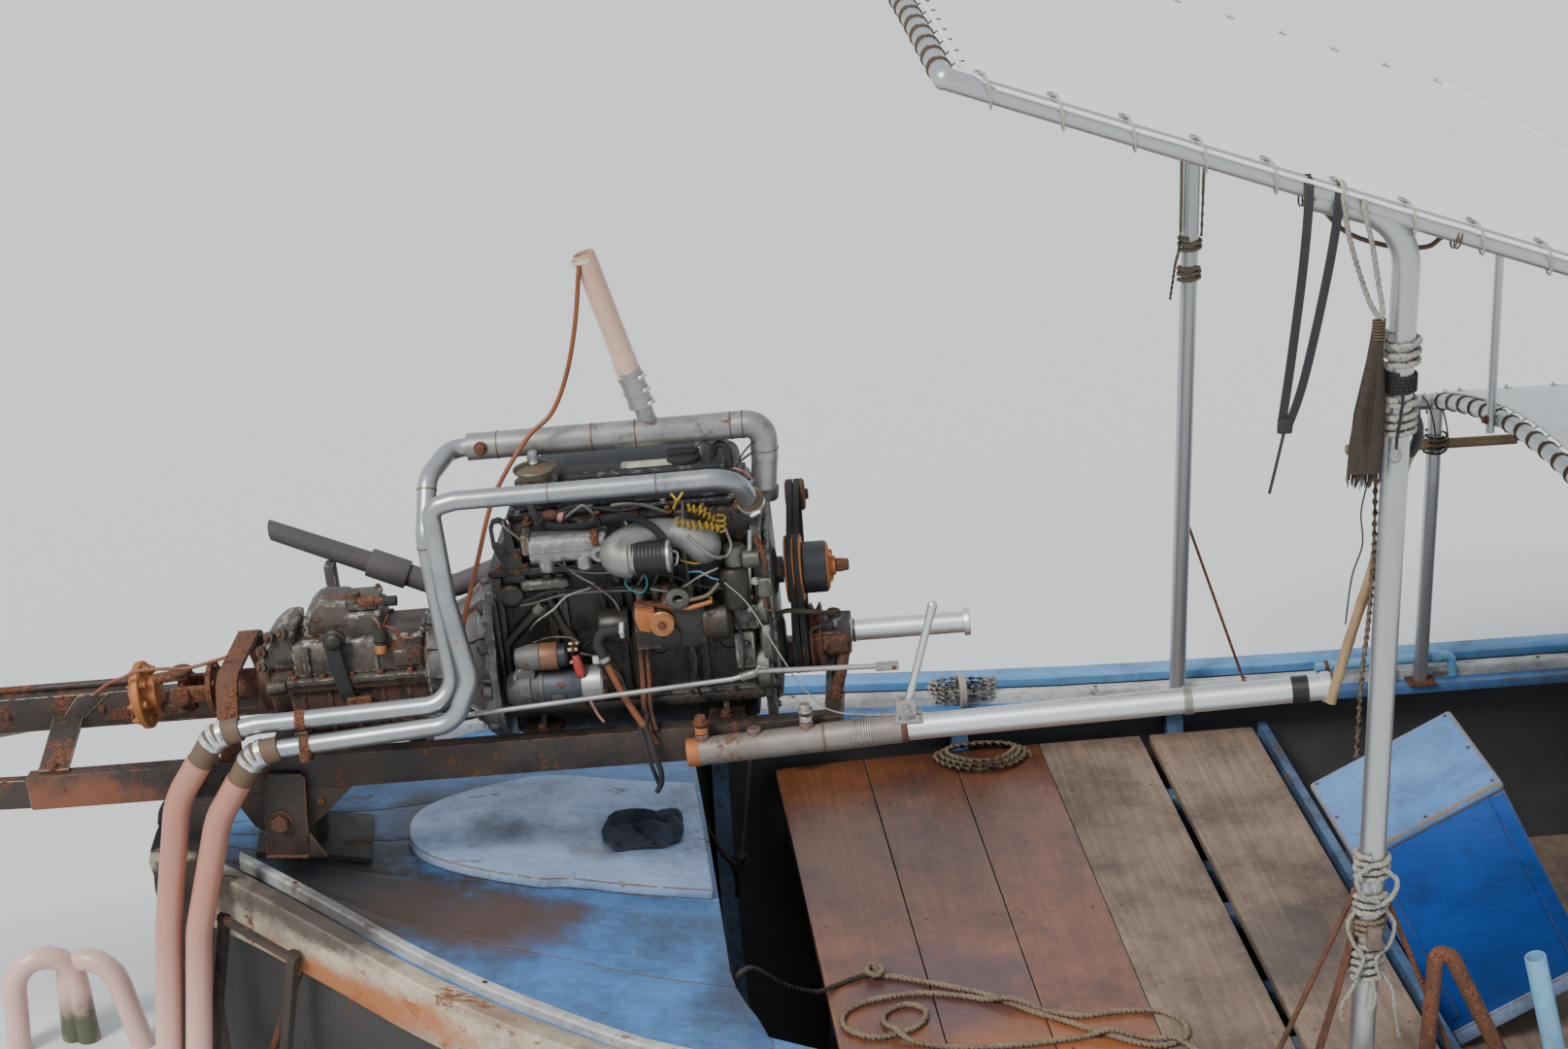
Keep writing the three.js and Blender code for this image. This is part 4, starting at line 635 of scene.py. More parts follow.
@dataclass(frozen=True)
class Finish:
    """What every finish has: its name, main colour, local stains and patches of painted light, and gloss.
    """

    name: str
    base: Tone
    stains: tuple[StainAndLightPatch, ...] = ()
    rough: float = 0.6
    metal: float = 0.0
    bump: float = 0.3

    def material(self) -> bpy.types.Material:
        """The material, made on its first use."""
        found = bpy.data.materials.get(self.name)
        if found:
            return found
        made = bpy.data.materials.new(self.name)
        made.use_nodes = True
        graph = Graph(made.node_tree)
        shader = made.node_tree.nodes["Principled BSDF"]
        self.dress(graph, shader)
        return made

    def dress(self, g: Graph, shader: bpy.types.Node) -> None:
        """Lays the finish's nodes."""
        raise NotImplementedError

    def stained(self, g: Graph, place: Value, colour: Value) -> bpy.types.NodeSocket:
        """Lays the local stains and patches of painted light over a colour."""
        for s in self.stains:
            mask = g.group(STAIN_AND_LIGHT_PATCH, {"Place": place, "Centre": s.centre, "Size": s.size, "Scale": s.scale,
                                   "Ragged": s.ragged}).outputs[0]
            colour = g.mix(g.math("MULTIPLY", mask, s.strength), colour, s.tone)
        return colour

    def close(self, g: Graph, shader: bpy.types.Node, colour: Value, rough: Value, height: Value,
              metal: Value = None, depth: float = 0.002) -> None:
        """Feeds the shader."""
        g.put(shader.inputs["Base Color"], colour)
        g.put(shader.inputs["Roughness"], rough)
        g.put(shader.inputs["Metallic"], self.metal if metal is None else metal)
        bump = g.add("Bump", {"Height": height, "Strength": self.bump, "Distance": depth})
        g.put(shader.inputs["Normal"], bump.outputs[0])


@dataclass(frozen=True)
class Metal(Finish):
    """Bare, painted or rusted metal: rust in patches, dark oil in hollows, worn edges."""

    second: Tone = (0.1, 0.1, 0.1)
    rust: float = 0.3
    rust_tone: Tone = (0.20, 0.066, 0.022)
    rust_deep: Tone = (0.045, 0.018, 0.010)
    oil: float = 0.3
    oil_tone: Tone = (0.012, 0.010, 0.008)
    edge: Tone = (0.30, 0.27, 0.24)
    edge_amount: float = 0.4
    scale: float = 9.0

    def dress(self, g: Graph, shader: bpy.types.Node) -> None:
        """Lays colour, rust, oil and edge wear."""
        place = g.where()
        cloud = g.group(GRIME, {"Place": place, "Scale": self.scale * 0.6, "Amount": 0.5, "Softness": 0.2})
        colour = g.mix(cloud.outputs["Mask"], self.base, self.second)
        rust = g.group(GRIME, {"Place": place, "Scale": self.scale, "Amount": self.rust, "Softness": 0.035})
        pits = g.noise(place, self.scale * 14, 4, 0.7)
        rusty = g.mix(g.remap(pits, 0.38, 0.62), self.rust_deep, self.rust_tone)
        colour = g.mix(rust.outputs["Mask"], colour, rusty)
        oil = g.group(GRIME, {"Place": g.where(shift=(3.1, 1.7, 0.4)), "Scale": self.scale * 0.8,
                              "Amount": self.oil,
                              "Softness": 0.09})
        colour = g.mix(g.math("MULTIPLY", oil.outputs["Mask"], 0.85), colour, self.oil_tone)
        wear = g.group(WEAR, {"Place": place, "Scale": self.scale * 5, "Amount": self.edge_amount})
        colour = g.mix(g.math("MULTIPLY", wear.outputs[0], 0.8), colour, self.edge)
        colour = self.stained(g, place, colour)
        keep = g.math("SUBTRACT", 1.0, rust.outputs["Mask"], clamp=True)
        metal = g.math("MULTIPLY", keep, self.metal)
        rough = g.math("ADD", g.math("MULTIPLY", rust.outputs["Mask"], 0.9 - self.rough),
                       g.math("MULTIPLY_ADD", cloud.outputs["Cloud"], 0.3, self.rough - 0.15), clamp=True)
        rough = g.math("MULTIPLY", rough, g.math("MULTIPLY_ADD", oil.outputs["Mask"], -0.25, 1.0))
        height = g.math("ADD", g.math("MULTIPLY", pits,
                                      g.math("MULTIPLY_ADD", rust.outputs["Mask"], 0.8, 0.2)),
                        g.math("MULTIPLY", rust.outputs["Mask"], 0.35))
        self.close(g, shader, colour, rough, height, metal)


@dataclass(frozen=True)
class Timber(Finish):
    """Painted, varnished or bare wood with its grain along X, Y or Z."""

    under: Tone = (0.20, 0.13, 0.09)
    second: Tone = (0.1, 0.1, 0.1)
    worn: float = 0.25
    dirt: float = 0.3
    dirt_tone: Tone = (0.06, 0.05, 0.05)
    edge_amount: float = 0.6
    axis: str = "x"
    grain: float = 0.35
    scale: float = 5.0
    coat: float = 0.0

    def dress(self, g: Graph, shader: bpy.types.Node) -> None:
        """Lays paint over wood, with chips, dirt and worn edges."""
        place = g.where()
        quarter = math.pi / 2
        lain = {"x": place, "y": g.where(turn=(0, 0, quarter)),
                "z": g.where(turn=(0, quarter, 0))}[self.axis]
        grain = g.group(GRAIN, {"Place": lain})
        cloud = g.group(GRIME, {"Place": lain, "Scale": self.scale * 0.5, "Amount": 0.5, "Softness": 0.22})
        colour = g.mix(cloud.outputs["Mask"], self.base, self.second)
        dark = g.mix(1.0, colour, (0.62, 0.60, 0.58), "MULTIPLY")
        colour = g.mix(g.math("MULTIPLY", g.remap(grain.outputs["Tone"], 0.15, 0.95, 1.0, 0.0), self.grain),
                       colour, dark)
        stretched = g.where(*{"x": ((0.35, 1, 1),), "y": ((1, 0.35, 1),), "z": ((1, 1, 0.35),)}[self.axis])
        chips = g.group(GRIME, {"Place": stretched, "Scale": self.scale * 2.4, "Amount": self.worn,
                                "Softness": 0.02})
        bare = g.mix(grain.outputs["Fibre"], self.under, [c * 0.55 for c in self.under])
        colour = g.mix(chips.outputs["Mask"], colour, bare)
        wear = g.group(WEAR, {"Place": place, "Scale": self.scale * 6, "Amount": self.edge_amount})
        colour = g.mix(wear.outputs[0], colour, bare)
        dirt = g.group(GRIME, {"Place": g.where(shift=(1.3, 5.1, 2.2)), "Scale": self.scale,
                               "Amount": self.dirt,
                               "Softness": 0.16})
        colour = g.mix(g.math("MULTIPLY", dirt.outputs["Mask"], 0.7), colour, self.dirt_tone)
        specks = g.remap(g.noise(place, 95, 2, 0.5), 0.70, 0.76)
        colour = g.mix(g.math("MULTIPLY", specks, 0.55), colour, self.dirt_tone)
        colour = self.stained(g, place, colour)
        rough = g.math("MULTIPLY_ADD", chips.outputs["Mask"], 0.85 - self.rough,
                       g.math("MULTIPLY_ADD", dirt.outputs["Cloud"], 0.24, self.rough - 0.12), clamp=True)
        height = g.math("SUBTRACT", g.math("MULTIPLY", grain.outputs["Fibre"], 0.5),
                        g.math("MULTIPLY", g.math("MAXIMUM", chips.outputs["Mask"], wear.outputs[0]), 0.7))
        if self.coat:
            shader.inputs["Coat Weight"].default_value = self.coat
            shader.inputs["Coat Roughness"].default_value = 0.18
        self.close(g, shader, colour, rough, height)


@dataclass(frozen=True)
class Plastic(Finish):
    """Rubber, plastic and enamel: faint mottling, dust and fine scuffs."""

    dust: float = 0.3
    dust_tone: Tone = (0.16, 0.14, 0.12)
    scale: float = 14.0

    def dress(self, g: Graph, shader: bpy.types.Node) -> None:
        """Lays mottling, dust and scuffs."""
        place = g.where()
        dust = g.group(GRIME, {"Place": place, "Scale": self.scale, "Amount": self.dust, "Softness": 0.12})
        colour = g.mix(g.noise(place, self.scale * 3), self.base, [c * 0.62 for c in self.base])
        colour = g.mix(g.math("MULTIPLY", dust.outputs["Mask"], 0.6), colour, self.dust_tone)
        colour = self.stained(g, place, colour)
        rough = g.math("MULTIPLY_ADD", dust.outputs["Cloud"], 0.4, self.rough - 0.2, clamp=True)
        self.close(g, shader, colour, rough, g.noise(place, self.scale * 16, 3))


@dataclass(frozen=True)
class Cord(Finish):
    """Laid rope: strands that wind round it, with painted shade in the grooves between them, stained along
    its length.
    """

    second: Tone = (0.2, 0.17, 0.12)
    yarns: float = 3.0
    pitch: float = 150.0

    def dress(self, g: Graph, shader: bpy.types.Node) -> None:
        """Lays strands, painted shade in their grooves, and stains."""
        strand = g.group(STRAND, {"Yarns": self.yarns, "Pitch": self.pitch})
        place = g.where()
        fibre = g.noise(place, 900, 3)
        colour = g.mix(g.noise(place, 11, 5, 0.6), self.second, self.base)
        dark = g.mix(1.0, colour, (0.42, 0.38, 0.34), "MULTIPLY")
        # Painted shade: the grooves between the strands are darkened by their depth.
        colour = g.mix(g.remap(strand.outputs["Height"], 0.0, 0.55, 0.85, 0.0), colour, dark)
        colour = g.mix(g.math("MULTIPLY", fibre, 0.35), colour, dark)
        colour = self.stained(g, place, colour)
        height = g.math("ADD", g.math("MULTIPLY", strand.outputs["Height"], 0.8),
                        g.math("MULTIPLY", fibre, 0.3))
        self.close(g, shader, colour, 0.9, height)


@dataclass(frozen=True)
class Cloth(Finish):
    """Coated canvas: fine weave, faint folds, grime and water marks."""

    dirt: float = 0.25
    dirt_tone: Tone = (0.45, 0.42, 0.36)
    count: float = 1400.0

    def dress(self, g: Graph, shader: bpy.types.Node) -> None:
        """Lays weave, creases and marks."""
        place = g.where()
        weave = g.group(WEAVE, {"Place": place, "Count": self.count}).outputs[0]
        dirt = g.group(GRIME, {"Place": place, "Scale": 3.2, "Amount": self.dirt, "Softness": 0.12})
        specks = g.remap(g.noise(g.where((1, 2.2, 2.2)), 34, 2, 0.5), 0.70, 0.75)
        colour = g.mix(g.noise(g.where((0.5, 4, 1)), 2.2, 3), self.base, [c * 0.93 for c in self.base])
        colour = g.mix(g.math("MULTIPLY", dirt.outputs["Mask"], 0.6), colour, self.dirt_tone)
        colour = g.mix(g.math("MULTIPLY", specks, 0.4), colour, self.dirt_tone)
        colour = self.stained(g, place, colour)
        creases = g.noise(g.where((1.2, 5, 1)), 5.0, 4, 0.6, 0.6)
        height = g.math("ADD", g.math("MULTIPLY", weave, 0.04), creases)
        self.close(g, shader, colour, self.rough, height, depth=0.012)


@dataclass(frozen=True)
class ClearHose(Finish):
    """Milky reinforced hose, stained by what has run through it."""

    second: Tone = (0.6, 0.3, 0.2)
    low: float = 0.3
    high: float = 0.8

    def dress(self, g: Graph, shader: bpy.types.Node) -> None:
        """Lays a milky wall, darker towards the upper end."""
        place = g.where()
        part = g.add("SeparateXYZ", {0: place}).outputs
        climb = g.remap(part[2], self.low, self.high)
        colour = g.mix(climb, self.base, self.second)
        colour = g.mix(g.math("MULTIPLY", g.noise(place, 16, 4), 0.35), colour,
                       [c * 0.7 for c in self.base])
        colour = self.stained(g, place, colour)
        shader.inputs["Subsurface Weight"].default_value = 0.25
        shader.inputs["Subsurface Radius"].default_value = (0.02, 0.012, 0.009)
        shader.inputs["Coat Weight"].default_value = 0.35
        shader.inputs["Coat Roughness"].default_value = 0.2
        self.close(g, shader, colour, self.rough, g.noise(place, 60, 3), depth=0.001)


# Finishes
RUSTY_STEEL = Metal("rusty_steel", (0.026, 0.021, 0.019), rough=0.62, second=(0.050, 0.029, 0.020),
                    rust=0.30, oil=0.45, rust_tone=(0.16, 0.062, 0.026), edge=(0.17, 0.075, 0.038),
                    edge_amount=0.5, scale=8, bump=0.55,
                    stains=(StainAndLightPatch((0.22, 0.070, 0.030), (-5.28, -0.28, 0.93), (0.42, 0.5, 0.14), 0.8),))
TAIL_PAINT = Metal("tail_paint", (0.030, 0.024, 0.021), rough=0.6, second=(0.055, 0.033, 0.024), rust=0.38,
                   oil=0.3, rust_tone=(0.19, 0.062, 0.024), edge=(0.42, 0.36, 0.28), edge_amount=0.7,
                   scale=10, bump=0.6)
ORANGE_RUST = Metal("orange_rust", (0.19, 0.056, 0.022), rough=0.85, second=(0.10, 0.034, 0.018), rust=0.5,
                    rust_tone=(0.27, 0.078, 0.026), rust_deep=(0.12, 0.04, 0.02), oil=0.22,
                    edge=(0.25, 0.09, 0.04), scale=14, bump=0.6)
BROWN_RUST = Metal("brown_rust", (0.13, 0.048, 0.022), rough=0.8, second=(0.05, 0.025, 0.016), rust=0.5,
                   rust_tone=(0.22, 0.075, 0.03), oil=0.3, edge=(0.18, 0.09, 0.05), scale=12, bump=0.5)
PIPE_STEEL = Metal("pipe_steel", (0.44, 0.45, 0.46), rough=0.36, metal=0.85, second=(0.30, 0.31, 0.32),
                   rust=0.10, rust_tone=(0.25, 0.10, 0.045), rust_deep=(0.10, 0.05, 0.03), oil=0.08,
                   oil_tone=(0.10, 0.08, 0.06), edge=(0.5, 0.5, 0.5), scale=9, bump=0.12)
SPOTTED_STEEL = Metal("spotted_steel", (0.40, 0.39, 0.37), rough=0.42, metal=0.7, second=(0.25, 0.24, 0.23),
                      rust=0.20, rust_tone=(0.20, 0.09, 0.045), rust_deep=(0.09, 0.05, 0.03), oil=0.16,
                      oil_tone=(0.09, 0.07, 0.05), scale=13, bump=0.2)
STAINLESS = Metal("stainless", (0.52, 0.53, 0.54), rough=0.26, metal=0.95, second=(0.40, 0.41, 0.42),
                  rust=0.02, oil=0.02, scale=5, bump=0.05)
CAST_GREY = Metal("cast_grey", (0.15, 0.142, 0.135), rough=0.58, metal=0.4, second=(0.085, 0.078, 0.072),
                  rust=0.16, rust_tone=(0.12, 0.06, 0.035), oil=0.34, edge=(0.34, 0.33, 0.31), scale=12,
                  bump=0.45)
CAST_BRIGHT = Metal("cast_bright", (0.40, 0.40, 0.39), rough=0.42, metal=0.75, second=(0.30, 0.30, 0.29),
                    rust=0.06, rust_tone=(0.16, 0.10, 0.05), oil=0.14, oil_tone=(0.07, 0.06, 0.045),
                    edge=(0.5, 0.5, 0.48), scale=16, bump=0.35)
# Oily black iron; the same finish also paints the shade of the generator's cooling slots.
OILY_BLACK_AND_SLOT_SHADE = Metal("oily_black", (0.014, 0.013, 0.012), rough=0.46, metal=0.2, second=(0.050, 0.038, 0.028),
                   rust=0.26, rust_tone=(0.085, 0.040, 0.020), rust_deep=(0.02, 0.012, 0.008), oil=0.45,
                   edge=(0.10, 0.09, 0.08), edge_amount=0.3, scale=16, bump=0.5)
BLACK_ENAMEL = Metal("black_enamel", (0.013, 0.013, 0.014), rough=0.46, second=(0.030, 0.031, 0.034),
                     rust=0.06, oil=0.2, rust_tone=(0.05, 0.04, 0.035), edge=(0.12, 0.12, 0.12),
                     edge_amount=0.3, scale=9, bump=0.15)
COVER_BLACK = Metal("cover_black", (0.010, 0.010, 0.012), rough=0.62, second=(0.022, 0.022, 0.025),
                    rust=0.05, oil=0.12, rust_tone=(0.05, 0.04, 0.035), edge=(0.10, 0.10, 0.11),
                    edge_amount=0.3, scale=9, bump=0.2)
CAST_DULL = Metal("cast_dull", (0.30, 0.30, 0.285), rough=0.52, metal=0.6, second=(0.20, 0.195, 0.18),
                  rust=0.08, rust_tone=(0.14, 0.09, 0.05), oil=0.24, oil_tone=(0.06, 0.05, 0.038),
                  edge=(0.42, 0.42, 0.40), scale=14, bump=0.5)
GEAR_BROWN = Metal("gear_brown", (0.050, 0.027, 0.018), rough=0.7, metal=0.2, second=(0.090, 0.040, 0.024),
                   rust=0.4, rust_tone=(0.14, 0.050, 0.022), oil=0.4, edge=(0.14, 0.08, 0.05), scale=12,
                   bump=0.5)
GEAR_GREY = Metal("gear_grey", (0.120, 0.102, 0.086), rough=0.6, metal=0.35, second=(0.065, 0.050, 0.040),
                  rust=0.30, rust_tone=(0.12, 0.058, 0.032), oil=0.34, edge=(0.30, 0.28, 0.25), scale=12,
                  bump=0.5)
EXHAUST_GREY = Metal("exhaust_grey", (0.060, 0.052, 0.060), rough=0.75, second=(0.085, 0.072, 0.080),
                     rust=0.18, rust_tone=(0.11, 0.07, 0.06), rust_deep=(0.05, 0.03, 0.03), oil=0.2,
                     scale=9, bump=0.35)
SLEEVE_STEEL = Metal("tiller_sleeve", (0.26, 0.235, 0.21), rough=0.55, metal=0.4,
                     second=(0.17, 0.14, 0.115), rust=0.26, rust_tone=(0.17, 0.085, 0.045),
                     rust_deep=(0.10, 0.055, 0.035), oil=0.2, oil_tone=(0.10, 0.07, 0.05), scale=9,
                     bump=0.35)
GALVANISED = Metal("galvanised", (0.42, 0.42, 0.42), rough=0.45, metal=0.6, second=(0.30, 0.29, 0.28),
                   rust=0.26, rust_tone=(0.24, 0.12, 0.06), rust_deep=(0.12, 0.07, 0.045), oil=0.1,
                   oil_tone=(0.12, 0.09, 0.07), scale=8, bump=0.25)
BRONZE = Metal("bronze", (0.40, 0.24, 0.09), rough=0.4, metal=0.85, second=(0.22, 0.15, 0.07), rust=0.25,
               rust_tone=(0.10, 0.16, 0.11), rust_deep=(0.06, 0.08, 0.06), oil=0.15, scale=8, bump=0.25)
LEG_BROWN = Metal("leg_brown", (0.075, 0.055, 0.050), rough=0.6, metal=0.3, second=(0.13, 0.085, 0.065),
                  rust=0.4, rust_tone=(0.16, 0.07, 0.035), oil=0.2, scale=10, bump=0.35)
# Black rubber; the same finish also paints shade on the thin black discs that stand for dark holes: the
# eyelets, the lifting eye and the intake sleeve.
RUBBER_AND_HOLE_SHADE = Plastic("rubber", (0.014, 0.014, 0.015), rough=0.6, dust=0.3, dust_tone=(0.05, 0.045, 0.04))
HOSE = ClearHose("milky_hose", (0.72, 0.46, 0.40), rough=0.4, second=(0.42, 0.17, 0.11), low=0.25,
                 high=0.85, stains=(StainAndLightPatch((0.05, 0.07, 0.03), (-5.34, 0.42, 0.03), (0.12, 0.14, 0.13),
                                          0.95),))
BREATHER = Metal("old_brass_enamel", (0.085, 0.080, 0.068), rough=0.5, metal=0.35,
                 second=(0.16, 0.12, 0.07), rust=0.25, rust_tone=(0.22, 0.13, 0.06), oil=0.25, scale=22,
                 bump=0.3)
TIMING_CAST = Metal("olive_cast", (0.13, 0.13, 0.11), rough=0.5, metal=0.4, second=(0.08, 0.08, 0.065),
                    rust=0.10, rust_tone=(0.12, 0.07, 0.04), oil=0.36, edge=(0.3, 0.3, 0.27), scale=14,
                    bump=0.4)
STARTER_BLUE = Metal("starter_grey", (0.065, 0.075, 0.092), rough=0.5, metal=0.3,
                     second=(0.045, 0.046, 0.05), rust=0.24, rust_tone=(0.16, 0.07, 0.035), oil=0.25,
                     scale=16, bump=0.25)
SOLENOID = Metal("solenoid_plate", (0.19, 0.11, 0.070), rough=0.5, metal=0.4, second=(0.22, 0.085, 0.040),
                 rust=0.45, rust_tone=(0.30, 0.10, 0.035), oil=0.2, scale=18, bump=0.25)
BRASS_WORN = Metal("worn_brass", (0.28, 0.125, 0.055), rough=0.42, metal=0.6, second=(0.42, 0.18, 0.06),
                   rust=0.2, rust_tone=(0.32, 0.11, 0.03), oil=0.12, scale=22, bump=0.3)
EYELET = Metal("eyelet", (0.42, 0.40, 0.36), rough=0.4, metal=0.8, second=(0.30, 0.27, 0.22), rust=0.2,
               oil=0.1, scale=30, bump=0.1)
WIRE_GREY = Metal("fuel_line", (0.16, 0.15, 0.14), rough=0.45, metal=0.5, second=(0.10, 0.09, 0.08),
                  rust=0.2, oil=0.3, scale=25, bump=0.2)
WELD = Metal("weld_bead", (0.14, 0.12, 0.11), rough=0.6, metal=0.5, second=(0.20, 0.12, 0.08), rust=0.4,
             rust_tone=(0.22, 0.10, 0.05), oil=0.2, scale=30, bump=0.6)
SLEEVE_BLACK = Plastic("ribbed_sleeve", (0.012, 0.012, 0.013), rough=0.5, dust=0.25,
                       dust_tone=(0.04, 0.036, 0.03))
BROWN_SLEEVE = Plastic("old_rubber_sleeve", (0.16, 0.095, 0.055), rough=0.7, dust=0.45,
                       dust_tone=(0.08, 0.085, 0.05), scale=30)
BLANK_PLATE = Plastic("cream_plate", (0.60, 0.56, 0.44), rough=0.6, dust=0.4, dust_tone=(0.25, 0.21, 0.15),
                      scale=40)
RED_BOOT = Plastic("red_boot", (0.42, 0.035, 0.025), rough=0.5, dust=0.3, dust_tone=(0.14, 0.06, 0.045),
                   scale=40)
RED_WIRE = Plastic("red_wire", (0.36, 0.03, 0.02), rough=0.5, dust=0.4, dust_tone=(0.12, 0.06, 0.05),
                   scale=60)
PINK_WIRE = Plastic("pink_wire", (0.45, 0.20, 0.17), rough=0.5, dust=0.4, dust_tone=(0.16, 0.09, 0.07),
                    scale=60)
YELLOW_WIRE = Plastic("yellow_wire", (0.58, 0.36, 0.012), rough=0.45, dust=0.35,
                      dust_tone=(0.22, 0.15, 0.04), scale=60)
WIRE_PALE = Plastic("pale_wire", (0.36, 0.34, 0.30), rough=0.5, dust=0.4, dust_tone=(0.16, 0.14, 0.12),
                    scale=60)
PALE_BLUE_WIRE = Plastic("pale_blue_wire", (0.14, 0.38, 0.52), rough=0.5, dust=0.2,
                         dust_tone=(0.16, 0.2, 0.22), scale=60)
TEAL_WIRE = Plastic("teal_wire", (0.03, 0.26, 0.27), rough=0.5, dust=0.2, dust_tone=(0.07, 0.14, 0.13),
                    scale=60)
ORANGE_TUBE = Plastic("orange_tube", (0.24, 0.070, 0.026), rough=0.5, dust=0.35,
                      dust_tone=(0.20, 0.10, 0.05), scale=22)
CLIP_WHITE = Plastic("white_clip", (0.66, 0.66, 0.64), rough=0.5, dust=0.3, dust_tone=(0.3, 0.27, 0.22),
                     scale=60)
RISER_HOSE = ClearHose("riser_milky", (0.66, 0.43, 0.34), rough=0.4, second=(0.55, 0.33, 0.24), low=1.9,
                       high=2.2)
WIRE_STEEL = Metal("bright_wire", (0.46, 0.44, 0.41), rough=0.4, metal=0.7, second=(0.30, 0.27, 0.23),
                   rust=0.2, oil=0.15, scale=40, bump=0.1)
ORANGE_BROWN = Plastic("brown_tube", (0.26, 0.075, 0.018), rough=0.42, dust=0.3,
                       dust_tone=(0.08, 0.035, 0.02), scale=24)
BLACK_TAPE = Plastic("black_tape", (0.012, 0.012, 0.012), rough=0.42, dust=0.3,
                     dust_tone=(0.05, 0.05, 0.045), scale=40)
PVC_BLUE = Plastic("blue_plastic_pipe", (0.16, 0.42, 0.66), rough=0.4, dust=0.3,
                   dust_tone=(0.30, 0.34, 0.36), scale=12, bump=0.1)
BRISTLE = Plastic("broom_bristle", (0.060, 0.040, 0.026), rough=0.85, dust=0.4,
                  dust_tone=(0.020, 0.016, 0.014), scale=60, bump=0.8)
HULL_BLACK = Timber("hull_tar", (0.020, 0.020, 0.022), rough=0.55, under=(0.10, 0.06, 0.04),
                    second=(0.035, 0.032, 0.033), worn=0.14, dirt=0.25, dirt_tone=(0.055, 0.040, 0.032),
                    edge_amount=0.3, grain=0.3, scale=4, bump=0.4)
STRAKE_PAINT = Timber("strake_cream", (0.62, 0.55, 0.43), rough=0.6, under=(0.24, 0.10, 0.05),
                      second=(0.52, 0.43, 0.31), worn=0.30, dirt=0.38, dirt_tone=(0.10, 0.075, 0.06),
                      edge_amount=0.9, grain=0.3, scale=7, bump=0.6,
                      stains=(StainAndLightPatch((0.38, 0.125, 0.035), (-4.62, -0.62, 0.645), (0.50, 0.40, 0.085), 0.95),
                              StainAndLightPatch((0.05, 0.035, 0.03), (-4.66, -0.44, 0.78), (0.42, 0.34, 0.075), 0.92),
                              StainAndLightPatch((0.20, 0.09, 0.05), (-4.20, -0.80, 0.72), (0.34, 0.20, 0.05), 0.6),
                              StainAndLightPatch((0.40, 0.47, 0.56), (-3.85, -0.98, 0.60), (0.55, 0.25, 0.12), 0.55)))
STRAKE_BLUE = Timber("strake_blue", (0.085, 0.26, 0.55), rough=0.5, under=(0.30, 0.26, 0.22),
                     second=(0.14, 0.34, 0.62), worn=0.22, dirt=0.30, dirt_tone=(0.08, 0.07, 0.065),
                     edge_amount=0.7, grain=0.4, scale=6, bump=0.4)
BATTEN_PAINT = Timber("batten_white", (0.60, 0.61, 0.60), rough=0.6, under=(0.26, 0.18, 0.13),
                      second=(0.45, 0.45, 0.45), worn=0.28, dirt=0.42, dirt_tone=(0.09, 0.075, 0.065),
                      edge_amount=0.85, grain=0.35, scale=8, bump=0.5,
                      stains=(StainAndLightPatch((0.06, 0.05, 0.045), (-4.62, -0.40, 0.76), (0.28, 0.22, 0.10), 0.8),))
CHARRED_WOOD = Timber("charred_end", (0.030, 0.022, 0.018), rough=0.8, under=(0.17, 0.085, 0.045),
                      second=(0.060, 0.034, 0.024), worn=0.30, dirt=0.5, dirt_tone=(0.010, 0.008, 0.007),
                      edge_amount=0.5, axis="z", grain=0.7, scale=9, bump=1.0,
                      stains=(StainAndLightPatch((0.10, 0.17, 0.30), (-4.98, 0.02, 0.70), (0.10, 0.12, 0.06), 0.6, 1.8,
                                    20),
                              StainAndLightPatch((0.50, 0.44, 0.34), (-5.00, -0.13, 0.78), (0.07, 0.05, 0.05), 0.7, 1.8,
                                    24)))
DECK_BLUE = Timber("deck_blue", (0.060, 0.190, 0.46), rough=0.5, under=(0.22, 0.16, 0.12),
                   second=(0.10, 0.26, 0.55), worn=0.20, dirt=0.42, dirt_tone=(0.055, 0.045, 0.042),
                   edge_amount=0.8, grain=0.4, scale=5, bump=0.45,
                   stains=(StainAndLightPatch((0.018, 0.015, 0.014), (-4.62, -0.22, 0.74), (0.46, 0.38, 0.16), 0.97),
                           StainAndLightPatch((0.060, 0.038, 0.030), (-4.34, -0.36, 0.74), (0.40, 0.20, 0.14), 0.85),
                           StainAndLightPatch((0.045, 0.035, 0.030), (-4.30, 0.10, 0.76), (0.44, 0.26, 0.16), 0.75),
                           StainAndLightPatch((0.10, 0.055, 0.035), (-4.22, -0.42, 0.72), (0.26, 0.16, 0.12), 0.6),
                           StainAndLightPatch((0.05, 0.04, 0.04), (-3.70, -0.62, 0.62), (0.16, 0.20, 0.10), 0.6)))
PLATFORM_BLUE = Timber("platform_blue", (0.22, 0.33, 0.54), rough=0.5, under=(0.24, 0.17, 0.14),
                       second=(0.30, 0.41, 0.60), worn=0.24, dirt=0.36, dirt_tone=(0.075, 0.055, 0.060),
                       edge_amount=0.8, grain=0.35, scale=7, bump=0.45,
                       stains=(StainAndLightPatch((0.030, 0.022, 0.024), (-4.22, -0.02, 0.80), (0.24, 0.18, 0.10), 0.85),
                               StainAndLightPatch((0.13, 0.065, 0.045), (-3.98, -0.12, 0.78), (0.16, 0.12, 0.10), 0.5)))
